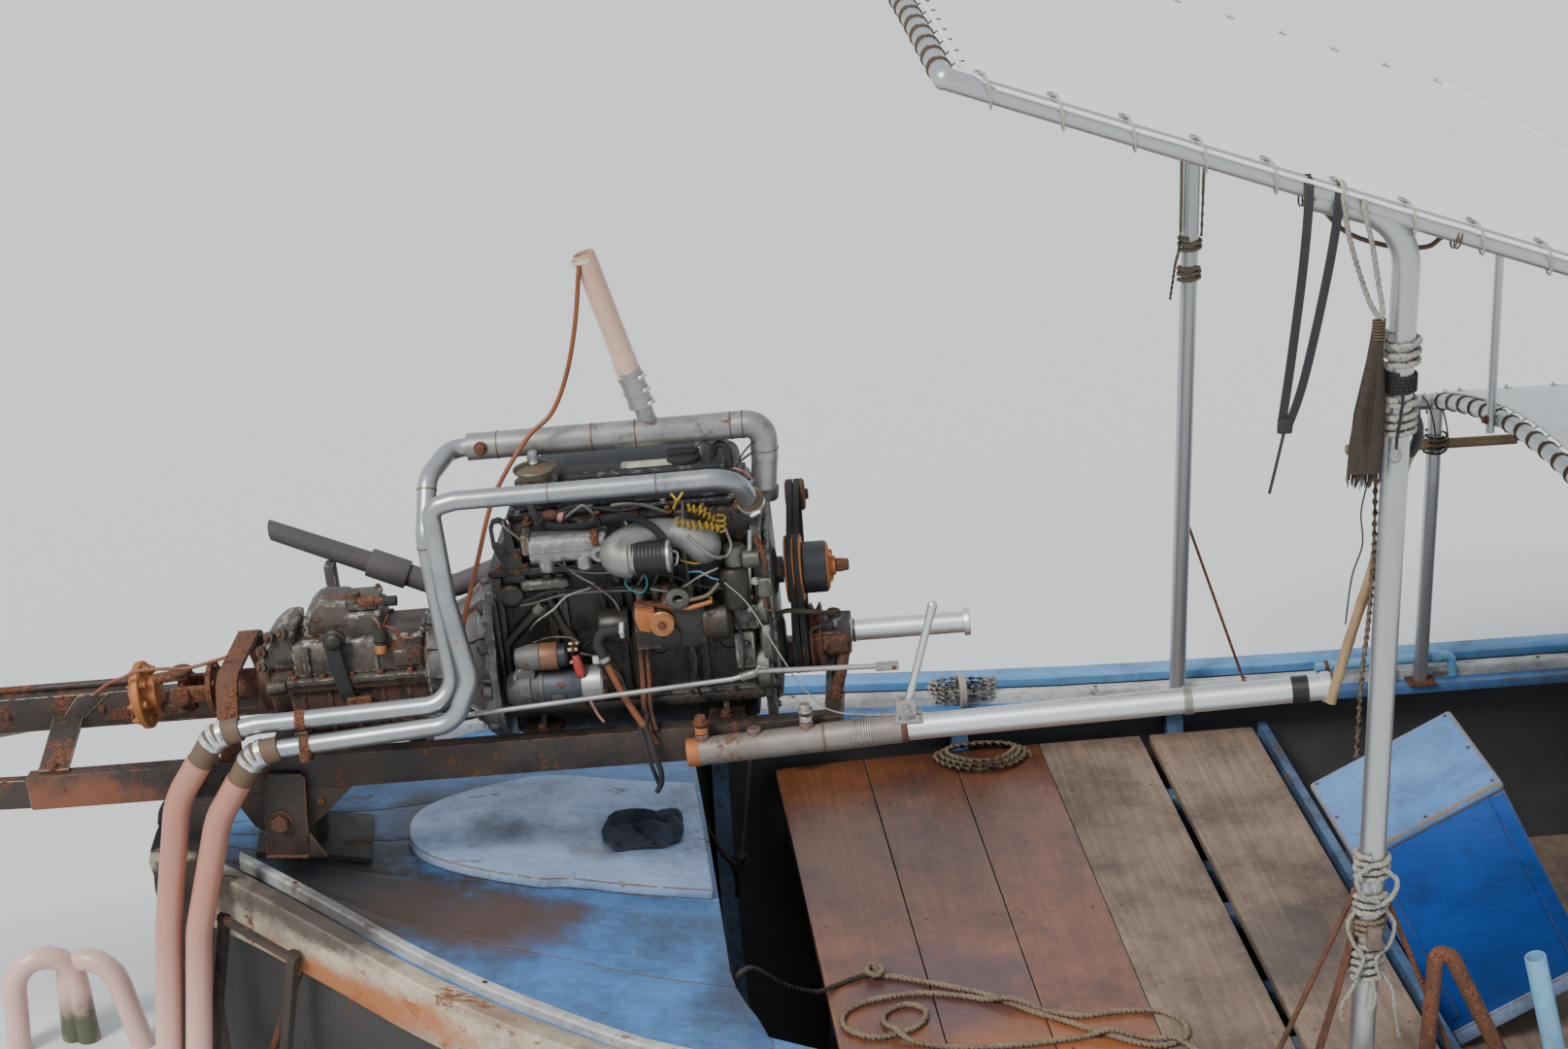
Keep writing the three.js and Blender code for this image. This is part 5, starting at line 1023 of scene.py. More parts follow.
VARNISHED = Timber("varnished_boards", (0.17, 0.058, 0.028), rough=0.36, under=(0.30, 0.19, 0.13),
                   second=(0.27, 0.098, 0.038), worn=0.16, dirt=0.34, dirt_tone=(0.035, 0.018, 0.022),
                   edge_amount=0.7, axis="y", grain=0.6, scale=5, coat=0.25, bump=0.4,
                   stains=(StainAndLightPatch((0.06, 0.030, 0.045), (-3.22, -0.30, 0.40), (0.30, 0.26, 0.2), 0.7),
                           # The second patch, a brighter orange, is painted light: a pool of sun on the
                           # varnish. The first is a dark stain.
                           StainAndLightPatch((0.30, 0.10, 0.032), (-2.98, -0.62, 0.40), (0.34, 0.20, 0.2), 0.7)))
BARE_BOARD = Timber("bare_boards", (0.30, 0.215, 0.155), rough=0.75, under=(0.34, 0.26, 0.20),
                    second=(0.20, 0.135, 0.095), worn=0.22, dirt=0.42, dirt_tone=(0.055, 0.040, 0.038),
                    edge_amount=0.6, axis="y", grain=0.7, scale=6, bump=0.5,
                    stains=(StainAndLightPatch((0.06, 0.05, 0.05), (-2.40, -0.25, 0.40), (0.22, 0.30, 0.2), 0.6),))
FRAME_BLUE = Timber("frame_blue", (0.055, 0.13, 0.26), rough=0.55, under=(0.16, 0.11, 0.08),
                    second=(0.09, 0.17, 0.30), worn=0.32, dirt=0.5, dirt_tone=(0.030, 0.026, 0.026),
                    edge_amount=0.8, axis="y", grain=0.4, scale=8, bump=0.5)
STEM_WOOD = Timber("stem_varnish", (0.17, 0.065, 0.028), rough=0.42, under=(0.28, 0.17, 0.11),
                   second=(0.25, 0.10, 0.04), worn=0.16, dirt=0.25, dirt_tone=(0.05, 0.03, 0.025),
                   edge_amount=0.5, axis="z", grain=0.55, scale=5, coat=0.2, bump=0.4)
# The locker's body and lid are one blue paint in two copies: the body's deeper cobalt is painted shade, the
# lid's lighter blue is painted light.
BOX_BLUE_PAINTED_SHADE = Timber("box_blue_painted_shade", (0.010, 0.075, 0.36), rough=0.42, under=(0.24, 0.17, 0.12),
                  second=(0.014, 0.095, 0.42), worn=0.10, dirt=0.26, dirt_tone=(0.02, 0.03, 0.09),
                  edge_amount=0.7, grain=0.3, scale=6, bump=0.35)
BOX_LID_PAINTED_LIGHT = Timber("box_lid_painted_light", (0.09, 0.23, 0.55), rough=0.42, under=(0.30, 0.24, 0.18),
                 second=(0.14, 0.30, 0.60), worn=0.18, dirt=0.28, dirt_tone=(0.06, 0.09, 0.17),
                 edge_amount=0.8, grain=0.3, scale=8, bump=0.4)
BAMBOO = Timber("bamboo", (0.36, 0.25, 0.12), rough=0.5, under=(0.22, 0.14, 0.07),
                second=(0.26, 0.17, 0.08), worn=0.12, dirt=0.3, dirt_tone=(0.09, 0.06, 0.04),
                edge_amount=0.3, axis="z", grain=0.4, scale=12, bump=0.3)
WEBBING = Cloth("black_webbing", (0.018, 0.019, 0.022), rough=0.7, bump=0.4, dirt=0.3,
                dirt_tone=(0.06, 0.055, 0.05))
CANVAS = Cloth("white_canvas", (0.86, 0.87, 0.86), rough=0.72, bump=0.35, dirt=0.14,
               dirt_tone=(0.50, 0.48, 0.43))
RAG_CLOTH = Cloth("dark_rag", (0.030, 0.040, 0.065), rough=0.9, bump=0.6, dirt=0.4,
                  dirt_tone=(0.012, 0.012, 0.014), count=900.0)
TWINE = Cord("twine", (0.66, 0.64, 0.58), rough=0.9, bump=0.6, second=(0.42, 0.38, 0.30), yarns=3.0,
             pitch=700.0)
NATURAL_ROPE = Cord("natural_rope", (0.42, 0.34, 0.24), rough=0.9, bump=0.8, second=(0.22, 0.155, 0.095),
                    yarns=9.0, pitch=260.0)
DARK_ROPE = Cord("dark_rope", (0.10, 0.080, 0.060), rough=0.9, bump=0.8, second=(0.045, 0.035, 0.028),
                 yarns=9.0, pitch=260.0)
WHITE_ROPE = Cord("white_rope", (0.62, 0.60, 0.55), rough=0.9, bump=0.8, second=(0.38, 0.35, 0.30),
                  yarns=9.0, pitch=300.0)
BROWN_CORD = Cord("brown_cord", (0.20, 0.13, 0.08), rough=0.9, bump=0.6, second=(0.10, 0.065, 0.04),
                  yarns=5.0, pitch=500.0)
BLACK_CORD = Cord("black_cord", (0.016, 0.016, 0.018), rough=0.8, bump=0.5, second=(0.04, 0.038, 0.036),
                  yarns=6.0, pitch=500.0)

CAD_FINISH: dict[str, Finish] = {
    "keel": HULL_BLACK, "stem": STEM_WOOD, "frames_aft": FRAME_BLUE, "frames_fore": FRAME_BLUE,
    "bulkhead": FRAME_BLUE, "well_floor": BARE_BOARD, "seats": FRAME_BLUE, "pivot_base": RUSTY_STEEL,
    "stern_braces": RUSTY_STEEL,
}


# Hull
@dataclass
class HullForm:
    """The lines of the hull, in millimetres."""

    deck_drop: float = 12.0
    stations: tuple = (
        (-5030, 150, 790, 60, .55), (-4900, 205, 780, 20, .58), (-4640, 455, 752, -60, .62),
        (-4430, 650, 712, -110, .66), (-4200, 810, 668, -160, .70), (-3900, 940, 610, -200, .72),
        (-3450, 1015, 560, -240, .74), (-2600, 1045, 518, -275, .76), (-1200, 1060, 512, -300, .78),
        (400, 1060, 530, -300, .78), (1800, 985, 590, -280, .74), (2900, 835, 690, -230, .68),
        (3700, 620, 805, -130, .62), (4300, 385, 940, 60, .56), (4700, 190, 1070, 330, .52),
        (4950, 62, 1170, 620, .50))

    def at(self, x: float) -> tuple[float, ...]:
        """Half beam, sheer height, keel height and fullness at x, on smooth curves through the table."""
        rows = self.stations
        i = max(0, min(len(rows) - 2,
                       next((k for k in range(len(rows) - 1) if rows[k + 1][0] >= x), len(rows) - 2)))
        a, b = rows[i], rows[i + 1]
        t = unit((x - a[0]) / (b[0] - a[0]))
        before, after = rows[max(i - 1, 0)], rows[min(i + 2, len(rows) - 1)]
        out = []
        for k in range(1, 5):
            step = b[0] - a[0]
            m0 = (b[k] - before[k]) / (b[0] - before[0]) * step
            m1 = (after[k] - a[k]) / (after[0] - a[0]) * step
            out.append((2 * t ** 3 - 3 * t * t + 1) * a[k] + (t ** 3 - 2 * t * t + t) * m0
                       + (3 * t * t - 2 * t ** 3) * b[k] + (t ** 3 - t * t) * m1)
        return tuple(out)

    def side(self, x: float, inset: float = 0.0, steps: int = 20) -> list[tuple[float, float]]:
        """Half a section from the keel to the sheer: points of (y, z)."""
        half, sheer, keel, full = self.at(x)
        half, keel = half - inset, keel + inset * 1.15
        cy, cz = half * (0.62 + 0.42 * full), keel + (sheer - keel) * (0.5 - 0.52 * full)
        return [(2 * t * (1 - t) * cy + t * t * half,
                 (1 - t) ** 2 * keel + 2 * t * (1 - t) * cz + t * t * sheer)
                for t in (k / steps for k in range(steps + 1))]

    def half_at(self, x: float, z: float, inset: float = 28.0) -> float:
        """Half width at height z."""
        pts = self.side(x, inset)
        for p, q in zip(pts, pts[1:]):
            if q[1] >= z:
                return p[0] + (q[0] - p[0]) * (z - p[1]) / (q[1] - p[1])
        return pts[-1][0]

    def deck_edge(self, x: float) -> float:
        """Height of the decks along the side."""
        return self.at(x)[1] - self.deck_drop

    def deck(self, x: float, y: float = 0.0) -> float:
        """Height of the stern deck, crowned along the middle ahead of the pivot."""
        half, sheer = self.at(x)[:2]
        crown = 78.0 * unit((x + 4530) / 450) if x < -3700 else 0.0
        return sheer - self.deck_drop + crown * (1 - min(1.0, abs(y) / half) ** 2)


FORM = HullForm()


HELM_AFT, HELM_FORE = -3330, -1760
HELM_TOP, HELM_FALL, HELM_RISE = 2690, 0.348, 40


def helm_rail(x: float) -> float:
    """Height of the helm canopy's side rails, which fall towards the bow."""
    return HELM_TOP - HELM_FALL * (x - HELM_AFT)


def stretch(a: float, b: float, step: float) -> list[float]:
    """Positions from a to b at about the given step."""
    count = max(1, round(abs(b - a) / step))
    return [a + (b - a) * k / count for k in range(count + 1)]


@dataclass
class Hull:
    """Planking, strakes, decks, boards and framing."""

    strake_out: float = 46.0
    strake_high: float = 120.0
    board_z: float = 400.0
    board_t: float = 26.0
    aft_planks: tuple = ((-3510, -3271), (-3268, -3031), (-3028, -2787))
    mid_planks: tuple = ((-2784, -2505), (-2478, -2190))
    box_long: float = 388.0
    box_wide: float = 392.0
    box_high: float = 608.0
    box_lean: float = 27.4

    def planking(self) -> None:
        """The skin: a bottom up to the bilge and a side each way."""
        xs = stretch(-4898, 4950, 110)
        bilge = 8
        part = Part("hull_bottom_planks", "hull")
        rows = []
        for x in xs:
            pts = FORM.side(x)
            rows.append([Vector((x, -y, z)) for y, z in pts[bilge:0:-1]]
                        + [Vector((x, y, z)) for y, z in pts[:bilge + 1]])
        part.skin(rows, HULL_BLACK, wall=26)
        part.done(replaces=["hull_bottom"], slot="dark_hull")
        for name, s in SIDES:
            part = Part(f"hull_side_planks_{name}", "hull")
            part.skin([[Vector((x, s * y, z)) for y, z in FORM.side(x)[bilge:]] for x in xs], HULL_BLACK,
                      wall=26)
            for x0, x1, z0, z1 in ((-4690, -4790, 640, 330), (-4560, -4640, 690, 260)):
                rail = [Vector((x0, s * (FORM.half_at(x0, z0, 0) + 4), z0)),
                        Vector((x1, s * (FORM.half_at(x1, z1, 0) + 4), z1))]
                part.tube(rail, 9, BROWN_RUST, n=6)
            part.done(replaces=[f"hull_side_{name}"], slot="dark_hull")

    @staticmethod
    def batten_gap(x: float) -> float:
        """How far the inner batten stands in from the rub strake, wider towards the stern."""
        return 30 + 38 * unit((-3800 - x) / 700)

    def strakes(self) -> None:
        """Outer rub strake with its cap, in chipped cream paint, and the inner batten."""
        xs = stretch(-4895, 4900, 60)
        for name, s in SIDES:
            part = Part(f"rub_strake_{name}_painted", "hull")
            rows = []
            for x in xs:
                half, sheer = FORM.at(x)[:2]
                low, mid = FORM.half_at(x, sheer - self.strake_high, 0), FORM.half_at(x, sheer - 54, 0)
                jag = 1.6 * noise.noise(Vector((x / 90, s * 3.1, 0.2)))
                edge, foot = half + self.strake_out, sheer - self.strake_high
                profile = ((half - 25, sheer + 0.5), (half - 25, sheer + 24 + jag),
                           (half - 20, sheer + 28 + jag), (edge - 6, sheer + 28 - jag), (edge, sheer + 23),
                           (edge - 1 + jag, sheer - 14), (edge - 8, sheer - 18), (edge - 8, sheer - 24),
                           (low + self.strake_out, foot + 4), (low + self.strake_out - 5, foot),
                           (low + 6, foot), (mid + 6, sheer - 54), (half + 3, sheer + 0.5))
                rows.append([Vector((x, s * y, z)) for y, z in profile])
            part.skin(rows, STRAKE_PAINT if s < 0 else STRAKE_BLUE, closed=True, caps=True)
            part.done(replaces=[f"rub_strake_{name}"], slot="white_wood" if s < 0 else "blue_wood",
                      sharp=40)
            batten = Part(f"deck_batten_{name}", "hull")
            rows = []
            for x in stretch(-4830, 3250, 55):
                half, sheer = FORM.at(x)[:2]
                gap = self.batten_gap(x)
                y, z = half - 28 - gap, FORM.deck(x, half - 40) - 1
                wide, high, jag = 40, 30, 1.5 * noise.noise(Vector((x / 70, s, 4.0)))
                if x > -4700:
                    y = min(y, half - 34)
                profile = ((y - wide, 0), (y - wide + 2, high - 5 + jag), (y - wide + 7, high),
                           (y - 6, high + jag), (y, high - 5), (y, 0))
                rows.append([Vector((x, s * a, z + b)) for a, b in profile])
            batten.skin(rows, BATTEN_PAINT, closed=True, caps=True)
            for x in stretch(-4700, 3200, 420):
                half = FORM.at(x)[0]
                gap = self.batten_gap(x)
                batten.rod((x, s * (half - 48 - gap), FORM.deck(x, half - 40) + 20),
                           (x, s * (half - 48 - gap), FORM.deck(x, half - 40) + 31), 6, BROWN_RUST, n=12)
            batten.done(slot="white_wood", sharp=40)

    def stern(self) -> None:
        """The charred end-grain block that carries the pivot."""
        part = Part("stern_block_charred", "hull")
        rows = []
        for x in stretch(-5030, -4898.5, 12):
            ring = [(y, z) for y, z in FORM.side(x, 0, 30)]
            full = [(-y, z) for y, z in ring[:0:-1]] + ring
            top = [(ring[-1][0] * (1 - 2 * k / 14), ring[-1][1]) for k in range(1, 14)]
            row = []
            for y, z in full + top:
                p = Vector((x, y, z))
                pits = 6 * abs(noise.noise(Vector((y / 14, z / 14, 2.0))))
                rough = 7 * noise.fractal(p / 42, 1.0, 2.0, 4) - pits
                row.append(p + Vector((rough * (x < -5010), -math.copysign(max(0, rough), y),
                                       -abs(rough) * (z > 700))))
            rows.append(row)
        part.skin(rows, CHARRED_WOOD, closed=True, caps=True)
        part.done(replaces=["stern_block"], slot="charred_wood", sharp=50)

    def stern_deck(self) -> None:
        """Six fanned planks, crowned, with the lighter raised platform on them."""
        part = Part("stern_deck_planks", "hull")
        t = 26.0

        def edge(x: float) -> float:
            """Half width of the deck inside the planking."""
            return FORM.half_at(x, FORM.deck_edge(x) - t) - 4

        def front(y: float) -> float:
            """Where the deck ends ahead, swept forward along the gunwales."""
            return -3750 + 185 * max(0.0, (abs(y) - 500) / 330) ** 1.6

        for s in (-1, 1):
            for a, b in ((0.0, 0.30), (0.30, 0.655), (0.655, 1.0)):
                rows = []
                for k in range(31):
                    row = []
                    for j in range(7):
                        f = a + (b - a) * j / 6
                        x1 = front(f * 830)
                        x = -4896 + (x1 + 4896) * k / 30
                        inner = 1.2 if j == 0 else -1.2 if j == 6 else 0.0
                        y = f * edge(x) + inner
                        row.append(Vector((x, s * max(0.6, y), FORM.deck(x, y))))
                    rows.append(row)
                part.skin(rows, DECK_BLUE, wall=24, bevel=1.5)
        part.done(replaces=["stern_deck"], slot="blue_wood")
        part = Part("stern_platform_board", "hull")
        rows = []
        for k in range(25):
            f = k / 24
            row = []
            for j in range(17):
                g = -1 + 2 * j / 16
                y = g * (262 + 12 * f)
                aft = -4452 + 300 * abs(g) ** 2.6
                x = aft + (-3762 - aft) * f
                row.append(Vector((x, y, FORM.deck(x, y) + 27)))
            rows.append(row)
        part.skin(rows, PLATFORM_BLUE, wall=25.5, bevel=3)
        part.done(replaces=["stern_platform"], slot="pale_blue_wood")

    def boards(self) -> None:
        """Varnished boards aft and bare boards ahead, on their bearers."""
        for name, planks, look, slot in (("aft", self.aft_planks, VARNISHED, "varnished_wood"),
                                         ("mid", self.mid_planks, BARE_BOARD, "bare_wood")):
            part = Part(f"{name}_boards_worn", "hull")
            for x0, x1 in planks:
                rows = []
                for x in stretch(x0, x1, 30):
                    half = FORM.half_at(x, self.board_z - self.board_t) - 72
                    rows.append([Vector((x, half * (-1 + j / 12), self.board_z)) for j in range(25)])
                part.skin(rows, look, wall=self.board_t, bevel=2.5)
            for y in (-620, 0, 620):
                part.box((planks[0][0] + 6, y - 32, self.board_z - self.board_t - 40),
                         (planks[-1][1] - 6, y + 32, self.board_z - self.board_t - 1), FRAME_BLUE, 3)
            for x0, x1 in planks:
                for y in (-620, 0, 620):
                    for x in (x0 + 35, x1 - 35):
                        part.rod((x, y + 9, self.board_z - 3), (x, y + 9, self.board_z + 0.4), 4,
                                 BROWN_RUST, n=10, bevel=0)
            part.done(replaces=[f"{name}_boards"], slot=slot)

    def side_decks(self) -> None:
        """Narrow decks along both sides, and the fore deck."""
        for name, s in SIDES:
            part = Part(f"side_deck_{name}_plank", "hull")
            rows = []
            for x in stretch(-3748, 3300, 70):
                z = FORM.deck_edge(x)
                out = FORM.half_at(x, z - 26) - 2
                wide = 105 + 125 * unit((-3400 - x) / 348) ** 0.8
                rows.append([Vector((x, s * (out - wide * (1 - j / 4)), z)) for j in range(5)])
            part.skin(rows, DECK_BLUE, wall=26, bevel=2)
            part.box((-3500, 815 if s > 0 else -875, 470), (-3455, 875 if s > 0 else -815, 525), FRAME_BLUE,
                     3)
            part.done(replaces=[f"side_deck_{name}"], slot="blue_wood")
        part = Part("fore_deck_planks", "hull")
        for a, b in ((-1.0, -0.5), (-0.5, 0.0), (0.0, 0.5), (0.5, 1.0)):
            rows = []
            for x in stretch(3302, 4898, 80):
                z = FORM.deck_edge(x)
                half = max(12.0, FORM.half_at(x, z - 26) - 3)
                rows.append([Vector((x, half * (a + (b - a) * j / 3)
                                     + (1 if j == 0 else -1 if j == 3 else 0), z)) for j in range(4)])
            part.skin(rows, DECK_BLUE, wall=25, bevel=1.5)
        part.done(replaces=["fore_deck"], slot="blue_wood")

    def locker(self) -> None:
        """The blue wooden box that leans by the bulkhead, its lid nailed down and chipped; its body carries
        painted shade and its lid painted light.
        """
        part = Part("locker_box_painted", "hull")
        long, wide, high, lean = self.box_long, self.box_wide, self.box_high, math.radians(self.box_lean)
        foot = -2136 + 0.4 / math.cos(lean) + (385 - 90.4) * math.tan(lean)
        turn = Matrix.Translation((foot, -260, 90.4)) @ Matrix.Rotation(-lean, 4, "Y")
        # Body in the darker copy of the paint (painted shade), lid in the lighter copy (painted light).
        part.box((5, 5, 2), (long - 5, wide - 5, high - 22), BOX_BLUE_PAINTED_SHADE, 3, turn)
        part.box((0, 0, high - 25), (long, wide, high), BOX_LID_PAINTED_LIGHT, 9, turn)
        part.box((12, -4, 3), (long - 4, 6, 46), PLATFORM_BLUE, 3, turn)
        part.box((long - 6, 4, 3), (long + 4, wide - 4, 46), PLATFORM_BLUE, 3, turn)
        part.box((5, 0, 80), (45, 6, high - 27), BOX_BLUE_PAINTED_SHADE, 2, turn)
        part.box((long - 45, 0, 80), (long - 5, 6, high - 27), BOX_BLUE_PAINTED_SHADE, 2, turn)
        for x, y in ((18, 20), (long - 18, 20), (18, wide - 20), (long - 18, wide - 20), (long / 2, 16),
                     (long / 2, wide - 16), (18, wide / 2), (long - 18, wide / 2)):
            spot = turn @ Vector((x, y, high))
            up = turn.to_3x3() @ Vector((0, 0, 1))
            part.rod(spot - up * 2, spot + up * 0.8, 5, BROWN_RUST, n=12, bevel=0.3)
        part.done(replaces=["locker_box"], slot="box_blue")

    def fittings(self) -> None:
        """The rusty bent rail and the pale blue plastic pipe by the starboard post."""
        part = Part("rail_hoop_rusty", "hull")
        y, z = -955.0, FORM.deck_edge(-2300)
        part.tube(bent([(-2302, y, z + 6), (-2296, y, 785), (-2262, y, 772), (-2132, y, z + 6)], 30, 8), 17,
                  BROWN_RUST, n=18)
        part.box((-2332, y - 26, z + 0.4), (-2102, y + 26, z + 10), BROWN_RUST, 2)
        for x in (-2325, -2217, -2109):
            part.bolt((x, y + 16, z + 10), (0, 0, 1), 12, BROWN_RUST)
        part.done(replaces=["rail_hoop"], slot="rust")
        part = Part("rail_pipe_plastic", "hull")
        part.turned([(18, 0), (23, 0), (23, 255), (22, 258), (20, 258), (19.5, 256), (19.5, 8), (18, 0)],
                    (-2016, y, z + 4.6), (-2080, y, 757), PVC_BLUE, 32)
        part.done(replaces=["rail_pipe"], slot="blue_pvc")

    def build(self) -> None:
        """Builds the whole hull."""
        for step in (self.planking, self.strakes, self.stern, self.stern_deck, self.boards, self.side_decks,
                     self.locker, self.fittings):
            step()


# Canopies
@dataclass
class Canopy:
    """One arched cloth roof on its pipes, laced down along its edges."""

    name: str
    x0: float
    x1: float
    aft_z: float
    fall: float
    rise: float
    half: float = 950.0
    pipe: float = 21.0
    over: float = 21.0
    pitch: float = 125.0
    sag: float = 5.0
    lap: float = 20.0
    corner: float = 0.0

    def height(self, x: float, y: float) -> float:
        """Height of the pipe line at a point."""
        return self.aft_z - self.fall * (x - self.x0) + self.rise * (1 - min(1.0, abs(y) / self.half) ** 2)

    def arc(self, x: float, reach: float) -> list[tuple[float, float, float]]:
        """The line of a bow at x that spans the reach on both sides."""
        return [(x, reach * (-1 + k / 12), self.height(x, reach * (-1 + k / 12))) for k in range(25)]

    def cloth(self, node: str, supports: list[str]) -> None:
        """The sheet itself: hemmed, slightly slack between its bows, on the pipes."""
        part = Part(f"{self.name}_cloth", "hull")
        nx, ny = 72, 40
        aft, fore = self.x0 - self.lap, self.x1 + 20
        rows = []
        for i in range(nx + 1):
            x = aft + (fore - aft) * i / nx
            near = max(0.0, self.corner - (x - aft))
            row = []
            for j in range(ny + 1):
                g = -1 + 2 * j / ny
                y = g * (self.half + self.over - self.corner + math.sqrt(self.corner ** 2 - near ** 2))
                edge = max(0.0, (abs(y) - self.half) / self.over)
                z = self.height(x, y) + self.pipe + 2.5 - 10 * edge ** 2
                mid = 1 - g * g
                slack = self.sag * math.sin(math.pi * ((x - self.x0) / 770 % 1.0)) * mid
                fold = 1.6 * noise.noise(Vector((x / 55, y / 300, 1.0))) * (1 - mid * 0.5)
                row.append(Vector((x, y, z - max(0.0, slack) * 0.6 + fold + 1.5)))
            rows.append(row)
        part.skin(rows, CANVAS, wall=1.2)
        cloth = part.done(replaces=[node], slot="white_tarp")
        hem = Part(f"{self.name}_hem", "hull")
        for s in (-1, 1):
            y = s * (self.half + self.over)
            line = [(x, y, self.height(x, y) + self.pipe - 6 + 1.5 * noise.noise(Vector((x / 70, s, 0))))
                    for x in stretch(aft + self.corner, fore, 25)]
            hem.tube(line, 4.2, CANVAS, n=8)
        for x, cut in ((aft, self.corner), (fore, 0.0)):
            reach = self.half + self.over - cut
            line = [(x, y, self.height(x, y) + self.pipe + 1.5) for y in stretch(-reach, reach, 60)]
            hem.tube(line, 4.2, CANVAS, n=8)
        count = int((fore - aft - 70) / self.pitch)
        holes = [aft + 35 + (fore - aft - 70) * k / count for k in range(count + 1)]
        for s in (-1, 1):
            for x in holes:
                y = s * (self.half - 17)
                spot = Vector((x, y, self.height(x, y) + self.pipe + 4))
                up = Vector((self.fall, 2 * self.rise * y / self.half ** 2, 1)).normalized()
                hem.turned([(6, 0), (11, 0), (12, 1.2), (11, 2.6), (7, 2.8), (6, 1.4), (6, 0)],
                           spot + up * 0.2, spot + up * 5, EYELET, 20)
                # A thin black disc fills the eyelet's hole: painted shade for the dark of the hole.
                hem.rod(spot + up * 0.2, spot + up * 0.8, 6.6, RUBBER_AND_HOLE_SHADE, n=14, bevel=0)
        hem.done(slot="white_tarp")
        lace = Part(f"{self.name}_lacing", "hull")
        for s in (-1, 1):
            line = []
            for x, after in zip(holes, holes[1:] + [None]):
                round_pipe = ((0, -17, 28), (3, 0, 31), (6, 18, 27), (9, 29, 14), (12, 30, -2),
                              (15, 20, -23), (18, 0, -30), (22, -21, -21))
                line += [(x + dx, s * (self.half + out), self.height(x + dx, self.half) + up)
                         for dx, out, up in round_pipe]
                if after is not None:
                    line += [(x + (after - x) * f, s * (self.half - 28),
                              self.height(x + (after - x) * f, self.half) + up)
                             for f, up in ((0.42, -15), (0.7, -17), (0.9, -6))]
                    line.append((after - 3, s * (self.half - 23), self.height(after, self.half) + 17))
            lace.tube(flowing(line, 3), 2.2, TWINE, n=6)
        lace.done()

    def bow_ties(self, x: float, pitch: float, look: "Finish") -> None:
        """Cord turned round the bow at x, every so often, that holds the cloth's hem to it."""
        part = Part(f"{self.name}_bow_ties", "hull")
        for k, y in enumerate(stretch(-self.half + 60, self.half - 60, pitch)):
            slope = -2 * self.rise * y / self.half ** 2
            centre = Vector((x, y, self.height(x, y)))
            way = Vector((0, 1, slope)).normalized() * 6
            part.tube(wound(centre - way, centre + way, self.pipe + 1.8, 2.2, 12), 1.9, look, n=6)
            end = centre + Vector((self.pipe + 1, 0, 3))
            part.tube(flowing([end, end + Vector((10, 2, 6)), end + Vector((26, 3 - 6 * (k % 2), 9))], 3),
                      1.7, look, n=5)
        part.done()


@dataclass
class HelmCanopy(Canopy):
    """The roof over the helm, with its posts, lashings and what hangs from it."""

    post_x: float = -2440.0
    far_x: float = -2400.0

    def frame_pipes(self) -> None:
        """Side rails, bows and the two posts."""
        part = Part("helm_canopy_pipes", "hull")
        for s in (-1, 1):
            ends = [(x, s * self.half, self.height(x, self.half)) for x in (self.x0, self.x1)]
            part.rod(*ends, self.pipe, GALVANISED, n=20)
        for x in (self.x0, -2560, self.x1):
            part.tube(self.arc(x, self.half), self.pipe, GALVANISED, n=18)
            for s in (-1, 1):
                part.ball((x, s * self.half, self.height(x, self.half)), self.pipe + 1.0, GALVANISED)
        y = -(self.half - 10)
        foot = FORM.deck_edge(self.post_x)
        post = bent([(self.post_x, y, foot + 0.5), (self.post_x, y, self.height(self.post_x, y) - 8),
                     (self.post_x - 190, y, self.height(self.post_x - 190, y) - 18)], 150, 12)
        part.tube(post, 27, GALVANISED, n=26)
        part.box((self.post_x - 45, y - 40, foot + 0.4), (self.post_x + 45, y + 40, foot + 8), BROWN_RUST,
                 2)
        far_foot = FORM.deck_edge(self.far_x)
        part.rod((self.far_x, self.half - 10, far_foot + 0.5),
                 (self.far_x, self.half - 10, self.height(self.far_x, self.half - 10)), 22, GALVANISED,
                 n=24)
        part.box((self.far_x - 40, self.half - 50, far_foot + 0.4),
                 (self.far_x + 40, self.half + 25, far_foot + 8), BROWN_RUST, 2)
        part.done(replaces=["helm_canopy_frame"], slot="galvanised")


